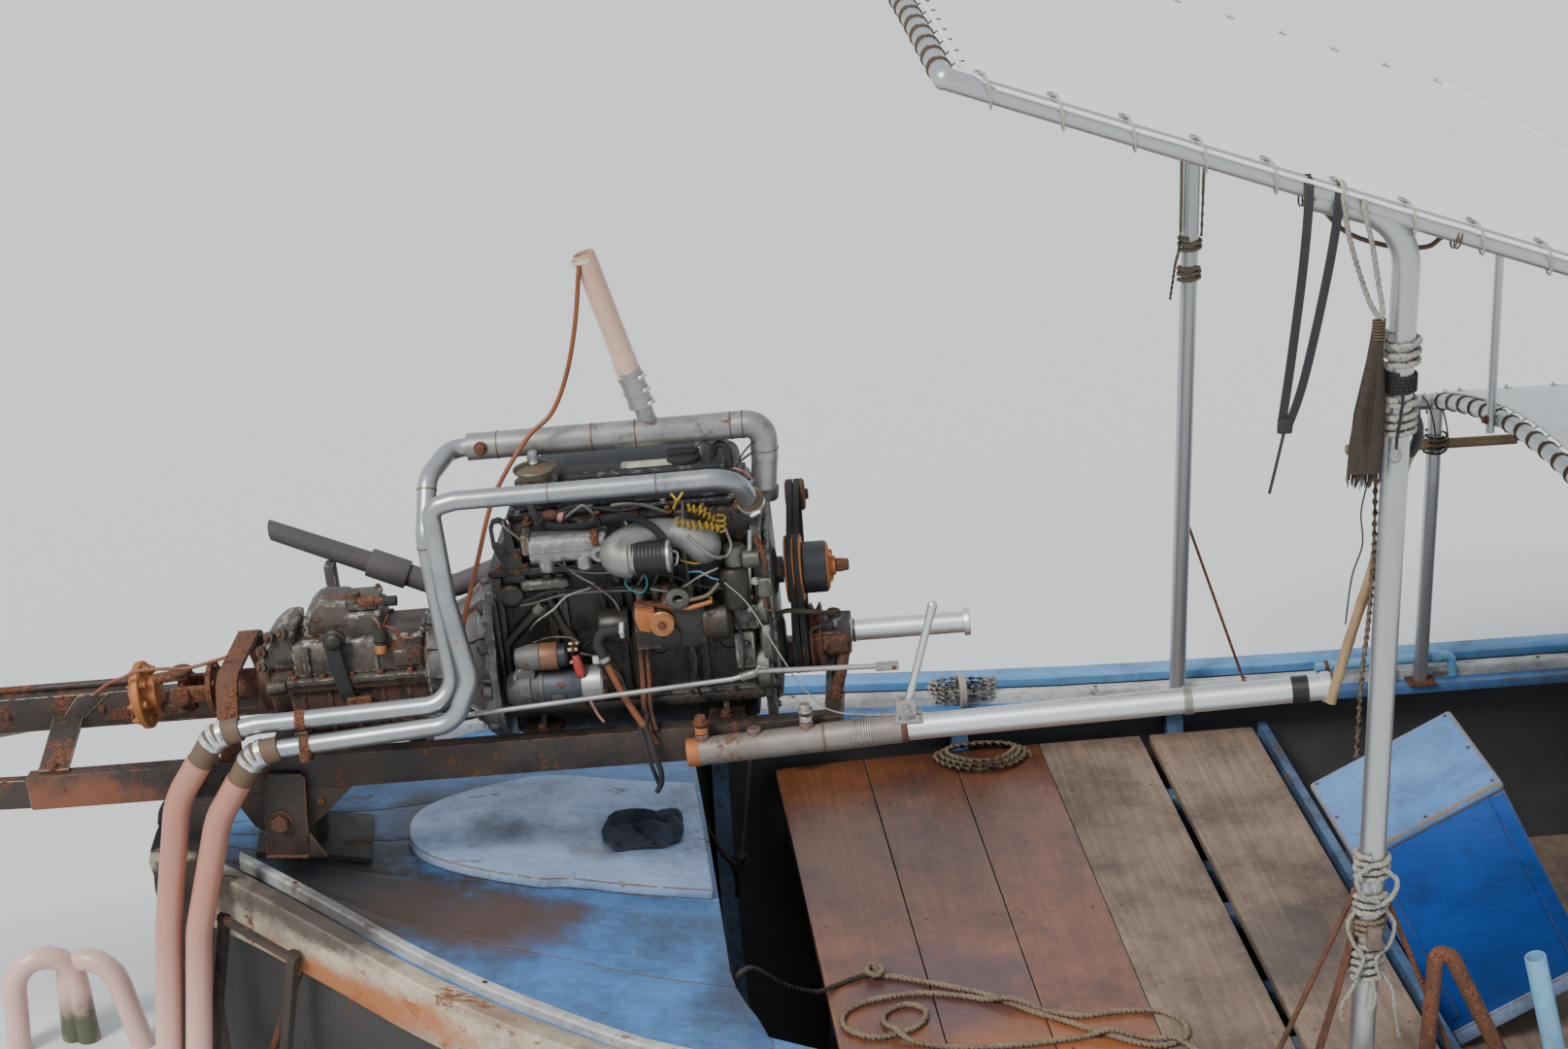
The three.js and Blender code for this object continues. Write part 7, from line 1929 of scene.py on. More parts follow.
@dataclass
class Gearbox:
    """Reversing gearbox: grey upper casting, rusty lower one, shift tower and dark strap."""

    flange: float = 271.0

    def build(self) -> None:
        """Builds the gearbox with its bolts and fittings."""
        part = engine_part("gearbox_castings")
        low, top = self.flange - 26, self.flange
        part.turned([(36, -52), (60, -52), (66, -44), (68, -22), (86, -12), (90, 40), (40, 44), (36, 40),
                     (36, -52)], (0, 0, 230), (1, 0, 230), GEAR_BROWN, 36, bevel=1.5)
        part.prism("y", [(-34, 290), (46, 290), (58, 386), (22, 386), (-8, 362), (-30, 336)], -80, 66,
                   GEAR_GREY, 12, 4)
        part.prism("y", [(70, 350), (186, 350), (182, 436), (112, 440), (88, 418), (74, 386)], -58, 40,
                   GEAR_GREY, 12, 4)
        for p in ((-24, -70, 300), (-18, -70, 336), (6, -76, 372), (36, -78, 380)):
            part.turned([(0, 0), (12, 0), (14, 3), (14, 14), (0, 18)], p, (p[0] - 6, p[1] - 10, p[2] + 3),
                        GEAR_GREY, 16)
            part.bolt((p[0] - 7, p[1] - 13, p[2] + 4), (-0.5, -0.8, 0.3), 12, BROWN_RUST)
        part.prism("x", [(-95, 150), (-80, 128), (80, 128), (95, 150), (95, low), (-95, low)], 28, 344,
                   GEAR_BROWN, 8, 3)
        for u in (60, 120, 180, 240, 300):
            part.box((u - 5, -99, 140), (u + 5, -90, low - 2), GEAR_BROWN, 3)
            part.box((u - 5, 90, 140), (u + 5, 99, low - 2), GEAR_BROWN, 3)
        rim = []
        for k in range(25):
            u = 28 + 316.6 * k / 24
            rim.append((u, -108 - 1.5 * math.sin(k * 2.1)))
        outline = rim + [(344.6, 108), (28, 108)]
        part.prism("z", outline, low, low + 10, GEAR_BROWN, 2)
        part.prism("z", [(a + (0 if a > 30 else -3), b * 1.02) for a, b in outline], low + 10.2, low + 13.5,
                   OILY_BLACK_AND_SLOT_SHADE, 0)
        part.prism("z", outline, low + 13.6, top + 2, GEAR_GREY, 3)
        for u in (46, 110, 176, 242, 310):
            for s in (-1, 1):
                part.bolt((u, s * 98, top + 2), (0, 0, 1), 14, BROWN_RUST)
        shell = [(-92, top), (92, top), (88, 330), (74, 353), (-74, 353), (-88, 330)]
        part.prism("x", shell, 44, 344, GEAR_GREY, 10, 3)
        part.box((70, -97, top), (86, -86, 350), GEAR_GREY, 4)
        part.box((232, -97, top), (240, -86, 352), GEAR_GREY, 3)
        part.box((276, -96, top + 14), (338, -88, top + 52), GEAR_GREY, 5)
        part.turned([(0, 0), (40, 0), (44, 6), (44, 60), (36, 72), (0, 74)], (262, -40, 300),
                    (340, -40, 300), GEAR_GREY, 28)
        part.prism("x", [(-60, 345), (60, 345), (56, 398), (44, 408), (-44, 408), (-56, 398)], 118, 252,
                   GEAR_GREY, 8, 3)
        part.box((108, -70, 344), (262, 70, 352), GEAR_GREY, 3)
        for u in (116, 254):
            for v in (-62, 62):
                part.bolt((u, v, 352), (0, 0, 1), 12, BROWN_RUST)
        part.box((126, -52, 408), (246, 52, 425), GEAR_GREY, 6)
        for u in (136, 236):
            for v in (-42, 42):
                part.bolt((u, v, 425), (0, 0, 1), 11, BROWN_RUST)
        part.turned([(0, 0), (20, 0), (24, 4), (24, 18), (17, 22), (17, 34), (0, 36)], (192, -28, 412),
                    (192, -28, 440), GEAR_GREY, 24)
        part.prism("y", [(122, 425), (142, 415), (206, 431), (210, 440), (196, 446), (160, 438),
                         (128, 441)], -36, -20, BROWN_RUST, 4, 3)
        part.turned([(0, 0), (13, 0), (13, 34), (9, 38), (9, 60), (0, 62)], (206, -40, 424),
                    (270, -44, 424), BROWN_RUST, 20)
        part.rod((262, -44, 424), (292, -46, 424), 12, RUBBER_AND_HOLE_SHADE)
        part.turned([(0, 0), (22, 0), (25, 3), (25, 12), (18, 16), (18, 26), (13, 30), (0, 31)],
                    (150, -90, 362), (150, -124, 362), OILY_BLACK_AND_SLOT_SHADE, 28)
        rows = []
        for u, w in ((140, 382), (144, 350), (150, 300), (156, 262), (166, 214)):
            rows.append([Vector((u - 17, -113, w)), Vector((u + 17, -113, w)), Vector((u + 17, -107, w)),
                         Vector((u - 17, -107, w))])
        part.skin(rows, BLACK_ENAMEL, closed=True, caps=True, bevel=1)
        part.turned([(0, 0), (15, 0), (16, 3), (16, 26), (12, 30), (12, 44), (0, 46)], (254, -84, 372),
                    (252, -98, 330), RUBBER_AND_HOLE_SHADE, 18)
        part.rod((252.4, -97, 340), (251.4, -102, 322), 13, ORANGE_RUST)
        for k, (a, b) in enumerate((((255, -84, 372), (276, -86, 408)),
                                    ((252, -84, 372), (240, -80, 402)))):
            line = flowing([a, ((a[0] + b[0]) / 2 + 6, -96, (a[2] + b[2]) / 2 + 10), b], 6)
            part.tube(line, 1.6, (RED_WIRE, PINK_WIRE)[k], n=6)
        part.tube(flowing([(262, -90, 385), (290, -96, 376), (300, -98, 358), (330, -98, 352)], 6), 1.6,
                  RED_WIRE, n=6)
        part.rod((326, -98, 352), (344, -98, 351), 3, RUBBER_AND_HOLE_SHADE)
        part.turned([(0, 0), (26, 0), (28, 4), (28, 16), (20, 20), (0, 22)], (66, 20, 350), (60, 20, 372),
                    GEAR_GREY, 24)
        for p in ((50, -34, 342), (62, -10, 352), (46, 24, 346)):
            part.ball(p, 15, GEAR_GREY, (1.1, 1, 0.8))
            part.bolt((p[0] - 4, p[1], p[2] + 10), (-0.3, 0, 1), 12, BROWN_RUST)
        part.turned([(0, 0), (17, 0), (19, 3), (19, 26), (15, 30), (0, 30)], (28, -56, 296),
                    (-12, -56, 292), BROWN_RUST, 24)
        part.turned([(0, 0), (15, 0), (16, 3), (16, 40), (12, 44), (0, 44)], (20, -78, 250),
                    (-30, -80, 247), GEAR_GREY, 24)
        part.box((160, -118, 190), (215, -104, 226), BROWN_RUST, 3)
        for u in (170, 205):
            part.bolt((u, -118, 208), (0, -1, 0), 15, BROWN_RUST)
        part.done(replaces=["gearbox"], slot="cast_alloy", sharp=38)


@dataclass
class BellHousing:
    """The flared, ribbed casting between gearbox and engine."""

    centre: float = 247.0

    def build(self) -> None:
        """Builds the housing: a spun flare cut flat below, with ribs and bolt ears."""
        part = engine_part("bell_housing_ribbed")
        bm = bmesh.new()
        profile = [(60, 345), (112, 345), (118, 352), (122, 400), (136, 440), (160, 468), (176, 478),
                   (176, 500), (196, 503), (196, 519.6), (170, 519.6), (60, 519.6)]
        verts = [bm.verts.new((r, 0, z)) for r, z in profile]
        edges = [bm.edges.new(p) for p in zip(verts, verts[1:])] + [bm.edges.new((verts[-1], verts[0]))]
        bmesh.ops.spin(bm, geom=verts + edges, cent=(0, 0, 0), axis=(0, 0, 1), dvec=(0, 0, 0), angle=TAU,
                       steps=56, use_merge=True, use_normal_flip=False, use_duplicate=False)
        turn = toward(Vector((0, 0, self.centre)), Vector((1, 0, self.centre)))
        bmesh.ops.transform(bm, matrix=turn, verts=bm.verts)
        bmesh.ops.remove_doubles(bm, verts=bm.verts, dist=MERGE)
        cut = bmesh.ops.bisect_plane(bm, geom=bm.verts[:] + bm.edges[:] + bm.faces[:],
                                     plane_co=(0, 0, 58.5), plane_no=(0, 0, -1), clear_outer=True)
        bmesh.ops.holes_fill(bm, edges=[e for e in cut["geom_cut"] if isinstance(e, bmesh.types.BMEdge)],
                             sides=0)
        part.take(bm, CAST_GREY, 2)
        for deg in (-68, -38, -8, 22, 52, 82, 112, 142, 172, 202):
            a = math.radians(deg)
            d = Vector((0, math.cos(a), math.sin(a)))
            side = Vector((0, -math.sin(a), math.cos(a)))
            c = Vector((0, 0, self.centre))
            rows = []
            for u, r in ((352, 121), (400, 127), (440, 146), (470, 172), (502, 194)):
                p = c + Vector((u, 0, 0))
                rows.append([p + d * (r - 12) - side * 4, p + d * (r - 12) + side * 4,
                             p + d * (r + 5) + side * 2.5, p + d * (r + 5) - side * 2.5])
            part.skin(rows, CAST_GREY, closed=True, caps=True, bevel=1)
        for deg in (-30, 0, 30, 60, 90, 120, 150, 180, 210):
            a = math.radians(deg)
            p = Vector((502, 187 * math.cos(a), self.centre + 187 * math.sin(a)))
            part.turned([(0, 0), (13, 0), (15, 3), (15, 18), (0, 18)], p, p - Vector((1, 0, 0)), CAST_GREY,
                        18)
            part.bolt(p - Vector((16, 0, 0)), (-1, 0, 0), 14, BROWN_RUST)
        part.turned([(0, 0), (58, 0), (64, 5), (64, 26), (50, 40), (0, 42)], (512, -128, 208),
                    (440, -128, 208), CAST_GREY, 32)
        part.prism("x", [(-186, 300), (-150, 400), (-96, 446), (-60, 452), (-60, 420), (-140, 360),
                         (-170, 300)], 496, 519, CAST_GREY, 3)
        part.done(replaces=["bell_housing"], slot="cast_alloy", sharp=38)


# Wires and small hoses on the near side: points in the engine's frame, radius, finish.
WIRES: tuple = (
    (((643, -112, 712), (639, -150, 688), (645, -170, 651), (664, -175, 629), (702, -180, 618),
      (761, -188, 622), (808, -196, 636), (854, -206, 641), (898, -218, 622), (924, -226, 594)), 9.0,
     RUBBER_AND_HOLE_SHADE),
    (((558, -140, 436), (597, -145, 440), (645, -150, 457), (706, -152, 460), (759, -150, 461),
      (818, -150, 455), (871, -150, 454)), 3.6, RUBBER_AND_HOLE_SHADE),
    (((560, -142, 428), (610, -148, 433), (670, -152, 448), (740, -154, 452), (830, -152, 447),
      (880, -160, 440)), 2.6, WIRE_GREY),
    (((596, -140, 367), (614, -152, 391), (656, -155, 418), (690, -155, 447), (744, -152, 462)), 2.4,
     WIRE_PALE),
    (((692, -150, 526), (701, -152, 510), (725, -154, 489), (752, -150, 468)), 2.4, WIRE_PALE),
    (((785, -150, 490), (771, -152, 468), (764, -152, 444), (769, -150, 418), (762, -145, 396)), 3.4,
     RUBBER_AND_HOLE_SHADE),
    (((684, -150, 611), (705, -155, 627), (730, -155, 645), (753, -155, 655), (772, -155, 629),
      (755, -150, 613), (733, -150, 619)), 4.0, WIRE_GREY),
    (((810, -140, 644), (840, -145, 647), (884, -145, 640), (926, -140, 618)), 4.6, WIRE_GREY),
    (((696, -150, 646), (738, -150, 654), (781, -150, 644), (825, -150, 635), (870, -150, 639)), 3.4,
     RUBBER_AND_HOLE_SHADE),
    (((945, -168, 672), (955, -172, 656), (947, -168, 636)), 3.0, YELLOW_WIRE),
    (((971, -168, 672), (958, -172, 656)), 3.0, YELLOW_WIRE),
    (((952, -190, 524), (985, -192, 515), (1012, -184, 519)), 2.2, YELLOW_WIRE),
    (((1005, -174, 427), (1008, -178, 405), (1022, -179, 400), (1033, -174, 416)), 3.4, YELLOW_WIRE),
    (((963, -178, 491), (989, -182, 491), (1010, -184, 477), (1027, -178, 467)), 2.4, PALE_BLUE_WIRE),
    (((1078, -90, 690), (1101, -90, 679), (1120, -80, 653)), 2.4, PINK_WIRE),
    (((1076, -120, 639), (1096, -115, 656), (1119, -98, 655)), 2.6, WIRE_PALE),
    (((1082, -118, 640), (1103, -112, 659), (1118, -100, 660)), 2.2, PALE_BLUE_WIRE),
    (((1074, -90, 676), (1094, -84, 700), (1124, -70, 716)), 2.6, RUBBER_AND_HOLE_SHADE),
    (((1076, -80, 668), (1100, -70, 712), (1128, -62, 738)), 2.2, RUBBER_AND_HOLE_SHADE),
    (((1033, -40, 690), (1036, -41, 716), (1046, -43, 730), (1060, -47, 728), (1069, -52, 710),
      (1070, -58, 688), (1068, -70, 660)), 8.0, RUBBER_AND_HOLE_SHADE),
    (((984, -60, 706), (1001, -60, 734), (1021, -60, 745), (1037, -56, 728)), 1.8, RUBBER_AND_HOLE_SHADE),
    (((1084, -76, 652), (1100, -88, 636), (1111, -104, 612), (1110, -118, 572)), 14.0, RUBBER_AND_HOLE_SHADE),
    (((833, -200, 505), (829, -214, 491), (841, -222, 478), (863, -222, 470), (875, -220, 484),
      (874, -214, 503), (859, -206, 511), (840, -200, 508)), 2.2, TEAL_WIRE),
    (((1054, -180, 588), (1063, -182, 547), (1052, -182, 524), (1036, -176, 520)), 2.8, WIRE_PALE),
    (((600, -150, 340), (640, -156, 352), (684, -160, 350), (706, -166, 338)), 2.8, WIRE_GREY),
    (((748, -150, 470), (790, -168, 438), (806, -176, 402), (800, -172, 384)), 2.4, WIRE_GREY),
    (((880, -200, 468), (916, -206, 462), (952, -208, 470), (986, -200, 486), (1030, -186, 498)), 2.4,
     WIRE_PALE),
    (((884, -190, 500), (930, -196, 492), (972, -196, 470), (1004, -190, 456), (1044, -186, 448)), 3.0,
     RUBBER_AND_HOLE_SHADE),
    (((1040, -176, 392), (1060, -182, 350), (1066, -184, 300), (1060, -178, 252)), 3.0, RUBBER_AND_HOLE_SHADE),
    (((950, -190, 330), (960, -196, 290), (952, -190, 240), (958, -168, 192)), 4.0, OILY_BLACK_AND_SLOT_SHADE),
    (((700, -136, 300), (742, -142, 286), (780, -140, 240), (790, -136, 200)), 3.4, WIRE_GREY),
    (((840, -210, 176), (836, -240, 156), (845, -262, 142), (852, -276, 112), (862, -276, 66),
      (858, -262, 30), (846, -250, 4)), 6.5, RUBBER_AND_HOLE_SHADE),
    (((826, -206, 180), (824, -238, 158), (831, -264, 143), (838, -278, 110), (846, -276, 70),
      (850, -256, 34), (852, -240, 8)), 5.0, RUBBER_AND_HOLE_SHADE),
)


# Coiled yellow wires: both ends, turns, radius of a turn.
COILS: tuple = (
    ((978, -190, 646), (1000, -192, 638), 2, 7.5),
    ((1002, -192, 640), (1020, -194, 628), 2, 9.5),
    ((1020, -195, 626), (1036, -196, 612), 2, 7.0),
    ((950, -213, 626), (986, -215, 612), 3, 6.5),
    ((986, -215, 614), (1014, -216, 612), 2, 8.5),
    ((1014, -215, 612), (1046, -214, 600), 3, 7.0),
    ((1052, -206, 630), (1047, -205, 592), 3, 9.0),
)


@dataclass
class EngineBlock:
    """The oily black block with head, covers, sump and everything bolted to its near side."""

    length: tuple = (520.4, 1100.0)

    def castings(self) -> None:
        """Block, head and sump."""
        part = engine_part("engine_block_castings")
        a, b = self.length
        part.box((a, -122, 190), (b, 122, 498), OILY_BLACK_AND_SLOT_SHADE, 6)
        for u in (a + 8, 640, 668, 790, 816, 938, 966, b - 26):
            for s in (-1, 1):
                part.box((u, s * 128 - 7, 196), (u + 18, s * 128 + 7 - 2 * s, 494), OILY_BLACK_AND_SLOT_SHADE, 3)
        for u in (604, 729, 877, 1030):
            part.turned([(0, 0), (22, 0), (26, 2), (26, 4), (20, 4.5), (18, 1.5), (0, 1.5)], (u, -122, 300),
                        (u, -130, 300), OILY_BLACK_AND_SLOT_SHADE, 28)
            part.box((u - 44, -127, 352), (u + 44, -121, 452), OILY_BLACK_AND_SLOT_SHADE, 4)
        part.box((a, -142, 498.4), (b, 142, 514), OILY_BLACK_AND_SLOT_SHADE, 3)
        head = a + 58
        part.box((head + 4, -121, 514), (b - 4, 121, 518), CAST_GREY, 0)
        part.box((head, -120, 518.4), (b, 120, 612), OILY_BLACK_AND_SLOT_SHADE, 7)
        part.box((head - 4, -106, 611), (b - 6, 106, 622), OILY_BLACK_AND_SLOT_SHADE, 3)
        for k in range(10):
            u = a + 24 + (b - a - 48) * k / 9
            for s in (-1, 1):
                part.bolt((u, s * 131, 514), (0, 0, 1), 15, BROWN_RUST)
        for k in range(7):
            u = head + 20 + (b - head - 60) * k / 6
            part.bolt((u, -120, 588), (0, -1, 0), 13, OILY_BLACK_AND_SLOT_SHADE)
            part.turned([(0, 0), (9, 0), (11, 3), (11, 12), (6, 14), (6, 22), (0, 22)], (u + 22, -118, 604),
                        (u + 22, -128, 640), BROWN_RUST, 14)
        part.box((a, -150, 164), (b, 150, 186), OILY_BLACK_AND_SLOT_SHADE, 3)
        part.prism("x", [(-130, 166), (130, 166), (118, 110), (96, 97), (-96, 97), (-118, 110)], a + 14,
                   b - 20, OILY_BLACK_AND_SLOT_SHADE, 10, 3)
        part.box((a, -140, 186.2), (b, 140, 190.5), CAST_GREY, 0)
        for k in range(12):
            u = a + 14 + (b - a - 28) * k / 11
            for s in (-1, 1):
                part.bolt((u, s * 142, 186), (0, 0, 1), 11, OILY_BLACK_AND_SLOT_SHADE)
        for u in (600, 1010):
            for s in (-1, 1):
                part.box((u - 40, min(s * 120, s * 189.4), 116), (u + 40, max(s * 120, s * 189.4), 140),
                         RUSTY_STEEL, 3)
                part.prism("x", [(s * 120, 140), (s * 150, 140), (s * 120, 190)], u - 6, u + 6, RUSTY_STEEL,
                           1)
                part.bolt((u, s * 172, 140), (0, 0, 1), 20, BROWN_RUST)
        part.box((a - 0.2, -150, 190), (a + 12, -100, 440), OILY_BLACK_AND_SLOT_SHADE, 3)
        part.done(replaces=["engine_block"], slot="oily_iron", sharp=38)

    def rocker(self) -> None:
        """Pressed rocker cover with cap, blank plate and breather disc."""
        part = engine_part("rocker_cover_pressed")
        part.box((574, -112, 622.6), (1092, 104, 630), COVER_BLACK, 2)
        part.prism("y", [(580, 629), (1086, 629), (1082, 676), (1064, 693), (640, 693), (604, 682),
                         (584, 656)], -104, 96, COVER_BLACK, 14, 4)
        part.box((690, -86, 684), (1062, 74, 703), COVER_BLACK, 9)
        for u in (600, 760, 920, 1070):
            part.bolt((u, -106, 630), (0, 0, 1), 13, CAST_GREY)
        part.box((832, -74, 702), (948, -36, 704.2), BLANK_PLATE, 0.6)
        part.box((832, -74, 702), (845, -36, 704.6), CAST_BRIGHT, 0.4)
        part.turned([(0, 0), (36, 0), (38, 3), (38, 11), (35, 14), (0, 15)], (970, -46, 702),
                    (970, -46, 730), RUBBER_AND_HOLE_SHADE, 36)
        part.prism("z", [(936, -56), (1004, -56), (1007, -46), (1004, -36), (936, -36), (933, -46)], 716,
                   728, RUBBER_AND_HOLE_SHADE, 3)
        part.turned([(0, 0), (30, 0), (33, 3), (33, 14), (38, 17), (38, 26), (47, 29), (48, 33), (46, 36),
                     (30, 41), (0, 44)], (648, -96, 696), (648, -96, 740), BREATHER, 40)
        part.turned([(0, 0), (10, 0), (11, 2), (7, 8), (7, 16), (11, 18), (11, 26), (8, 29), (0, 29)],
                    (648, -96, 740), (648, -96, 768), CAST_BRIGHT, 20)
        part.turned([(0, 0), (46, 0), (48, 4), (48, 14), (0, 14)], (648, -96, 688), (648, -96, 708),
                    CAST_GREY, 32)
        part.done(replaces=["rocker_cover"], slot="oily_iron", sharp=38)

    def timing(self) -> None:
        """Olive-grey timing cover with its bosses, ribs and bolts."""
        part = engine_part("timing_cover_cast")
        part.prism("x", [(-150, 120), (150, 120), (146, 420), (120, 560), (80, 615), (-80, 615),
                         (-118, 560), (-148, 430)], 1100.6, 1124, TIMING_CAST, 3)
        part.prism("x", [(-128, 150), (128, 150), (126, 420), (96, 540), (-96, 540), (-126, 430)], 1123,
                   1138, TIMING_CAST, 8, 3)
        part.turned([(0, 0), (66, 0), (66, 14), (58, 22), (46, 26), (0, 26)], (1122, 0, 235),
                    (1160, 0, 235), TIMING_CAST, 40)
        part.turned([(0, 0), (58, 0), (58, 14), (50, 20), (30, 24), (30, 36), (0, 36)], (1122, 0, 406),
                    (1160, 0, 406), TIMING_CAST, 40)
        part.turned([(0, 0), (60, 0), (62, 4), (62, 18), (52, 24), (0, 24)], (1108, -118, 300),
                    (1150, -118, 300), TIMING_CAST, 36)
        part.turned([(0, 0), (52, 0), (54, 4), (54, 26), (44, 30), (0, 30)], (1090, -128, 236),
                    (1150, -128, 236), TIMING_CAST, 36)
        part.turned([(0, 0), (36, 0), (38, 4), (38, 26), (30, 30), (0, 30)], (1096, -134, 372),
                    (1150, -134, 372), TIMING_CAST, 32)
        for v, w in ((-140, 140), (-144, 196), (-146, 262), (-142, 330), (-146, 410), (-128, 500),
                     (-104, 580), (-40, 606), (40, 606), (104, 580), (128, 500), (146, 410), (144, 330),
                     (144, 262), (144, 196), (140, 140), (-60, 130), (60, 130)):
            part.bolt((1124, v * 0.96, w), (1, 0, 0), 13, CAST_GREY)
        part.done(replaces=["timing_cover"], slot="cast_alloy", sharp=38)

    def intake(self) -> None:
        """Bright cast intake manifold, its bend, ribbed black sleeve and second lobe."""
        part = engine_part("intake_manifold_cast")
        part.box((616, -222, 576), (634, -168, 621), BREATHER, 4)
        part.prism("x", [(-226, 566), (-218, 554), (-174, 554), (-166, 566), (-166, 604), (-176, 614),
                         (-214, 614), (-226, 602)], 630, 800, CAST_DULL, 9, 3)
        part.box((632, -229, 582), (806, -166, 586), CAST_DULL, 1.5)
        for u in (663, 746):
            part.prism("z", [(u - 15, -224), (u + 15, -224), (u + 17, -118), (u - 17, -118)], 529, 572,
                       CAST_DULL, 11, 4)
        part.tube(bent([(1016, -196, 580), (1016, -190, 545), (1016, -120, 540)], 24, 5), 20, CAST_DULL,
                  n=18)
        bend = flowing([(956, -184, 590), (906, -192, 594), (866, -206, 590), (836, -224, 581),
                        (824, -240, 568), (838, -246, 560), (862, -248, 560)], 6)
        part.tube(bend, 36, CAST_DULL, n=30,
                  radius=lambda t: 0.76 + 0.34 * min(1, 1.7 * t) - 0.14 * (t > 0.93))
        part.ball((824, -236, 570), 38, CAST_DULL, (1, 0.94, 1.12))
        lobe = flowing([(930, -186, 592), (962, -190, 586), (992, -192, 570), (1004, -184, 552),
                        (1000, -160, 545)], 6)
        part.tube(lobe, 38, CAST_DULL, n=30, radius=lambda t: 0.72 + 0.28 * min(1, 2.2 * t))
        part.turned([(26, 0), (33, 0), (34, 2), (34, 8), (31, 10), (26, 10)], (946, -185, 590),
                    (960, -187, 588), CAST_DULL, 30)
        part.tube(flowing([(975, -226, 596), (1000, -232, 570), (1022, -228, 545), (1040, -210, 530)], 6),
                  4, CAST_DULL, n=10)
        part.box((768, -232, 590), (784, -206, 622), BROWN_RUST, 3)
        part.turned([(8, 0), (17, 0), (17, 7), (8, 7), (8, 0)], (784, -236, 574), (784, -244, 574),
                    CAST_DULL, 20)
        ribs: list[tuple[float, float]] = [(30, 0), (36, 0)]
        for k in range(8):
            ribs += [(36, 3 + 8.4 * k), (34.5, 5 + 8.4 * k), (34.5, 7 + 8.4 * k), (36, 9 + 8.4 * k)]
        ribs += [(36, 74), (30, 74), (30, 0)]
        part.turned(ribs, (856, -246, 560), (930, -248, 560), SLEEVE_BLACK, 36)
        part.turned([(25, 0), (34.5, 0), (35.5, 2), (35.5, 8), (33, 10), (26, 10), (25, 8), (25, 0)],
                    (928, -248, 560), (940, -248, 560), CAST_BRIGHT, 36)
        # A thin black disc inside the sleeve: painted shade for the dark inside the open pipe.
        part.rod((914, -248, 560), (915, -248, 560), 31, RUBBER_AND_HOLE_SHADE, n=30, bevel=0)
        part.tube(flowing([(938, -256, 540), (950, -262, 548), (952, -250, 566), (938, -246, 572)], 5), 2.6,
                  CAST_BRIGHT, n=8)
        part.done(replaces=["intake_manifold"], slot="bright_alloy", sharp=45)

    def starter(self) -> None:
        """Starter with its solenoid, terminals and red boot."""
        part = engine_part("starter_motor_worn")
        part.turned([(0, -46), (30, -46), (36, -40), (40, -10), (40, 6), (36, 10), (36, 24), (40, 26),
                     (40, 34), (38, 36), (0, 36)], (586, -190, 252), (700, -190, 252), CAST_GREY, 36)
        part.turned([(0, 0), (37.5, 0), (38, 2), (38, 84), (37, 86), (0, 86)], (622, -190, 252),
                    (720, -190, 252), STARTER_BLUE, 40)
        part.turned([(0, 0), (39, 0), (40, 2), (40, 42), (36, 47), (0, 48)], (706, -190, 252),
                    (760, -190, 252), CAST_BRIGHT, 40)
        for deg in range(0, 360, 60):
            a = math.radians(deg + 20)
            part.bolt((754, -190 + 30 * math.cos(a), 252 + 30 * math.sin(a)), (1, 0, 0), 8, BROWN_RUST)
        part.turned([(0, 0), (5, 0), (6, 1), (6, 3), (0, 4)], (660, -226, 268), (660, -234, 270),
                    BROWN_RUST, 16)
        part.box((640, -230, 232), (668, -222, 246), CAST_GREY, 1)
        part.turned([(0, -34), (16, -34), (22, -30), (28, -8), (29, 0), (29, 22), (27, 24), (0, 24)],
                    (598, -200, 328), (650, -200, 328), CAST_GREY, 32)
        part.turned([(0, 0), (29.5, 0), (30, 2), (30, 36), (29, 38), (0, 38)], (622, -200, 328),
                    (660, -200, 328), SOLENOID, 36)
        part.turned([(0, 0), (26, 0), (26, 18), (20, 24), (0, 26)], (659, -200, 328), (690, -200, 328),
                    BLACK_ENAMEL, 32)
        part.prism("y", [(542, 236), (560, 300), (600, 330), (606, 300), (600, 240), (560, 226)], -214,
                   -176, CAST_GREY, 6, 2)
        for p in ((684, -212, 344), (684, -190, 348), (684, -206, 312)):
            part.rod(p, (p[0] + 22, p[1], p[2]), 5, BRONZE, n=12)
            part.bolt((p[0] + 10, p[1], p[2]), (1, 0, 0), 11, BROWN_RUST)
        boot = flowing([(700, -213, 330), (702, -216, 316), (705, -217, 300), (708, -217, 286)], 5)
        part.tube(boot, 10, RED_BOOT, n=16, radius=lambda t: 0.82 + 0.3 * math.sin(2.4 * t))
        part.tube(flowing([(707, -217, 290), (712, -220, 262), (720, -222, 225), (733, -224, 190),
                           (744, -222, 170)], 5), 3.4, PINK_WIRE, n=8)
        part.done(replaces=["starter"], slot="cast_alloy", sharp=38)

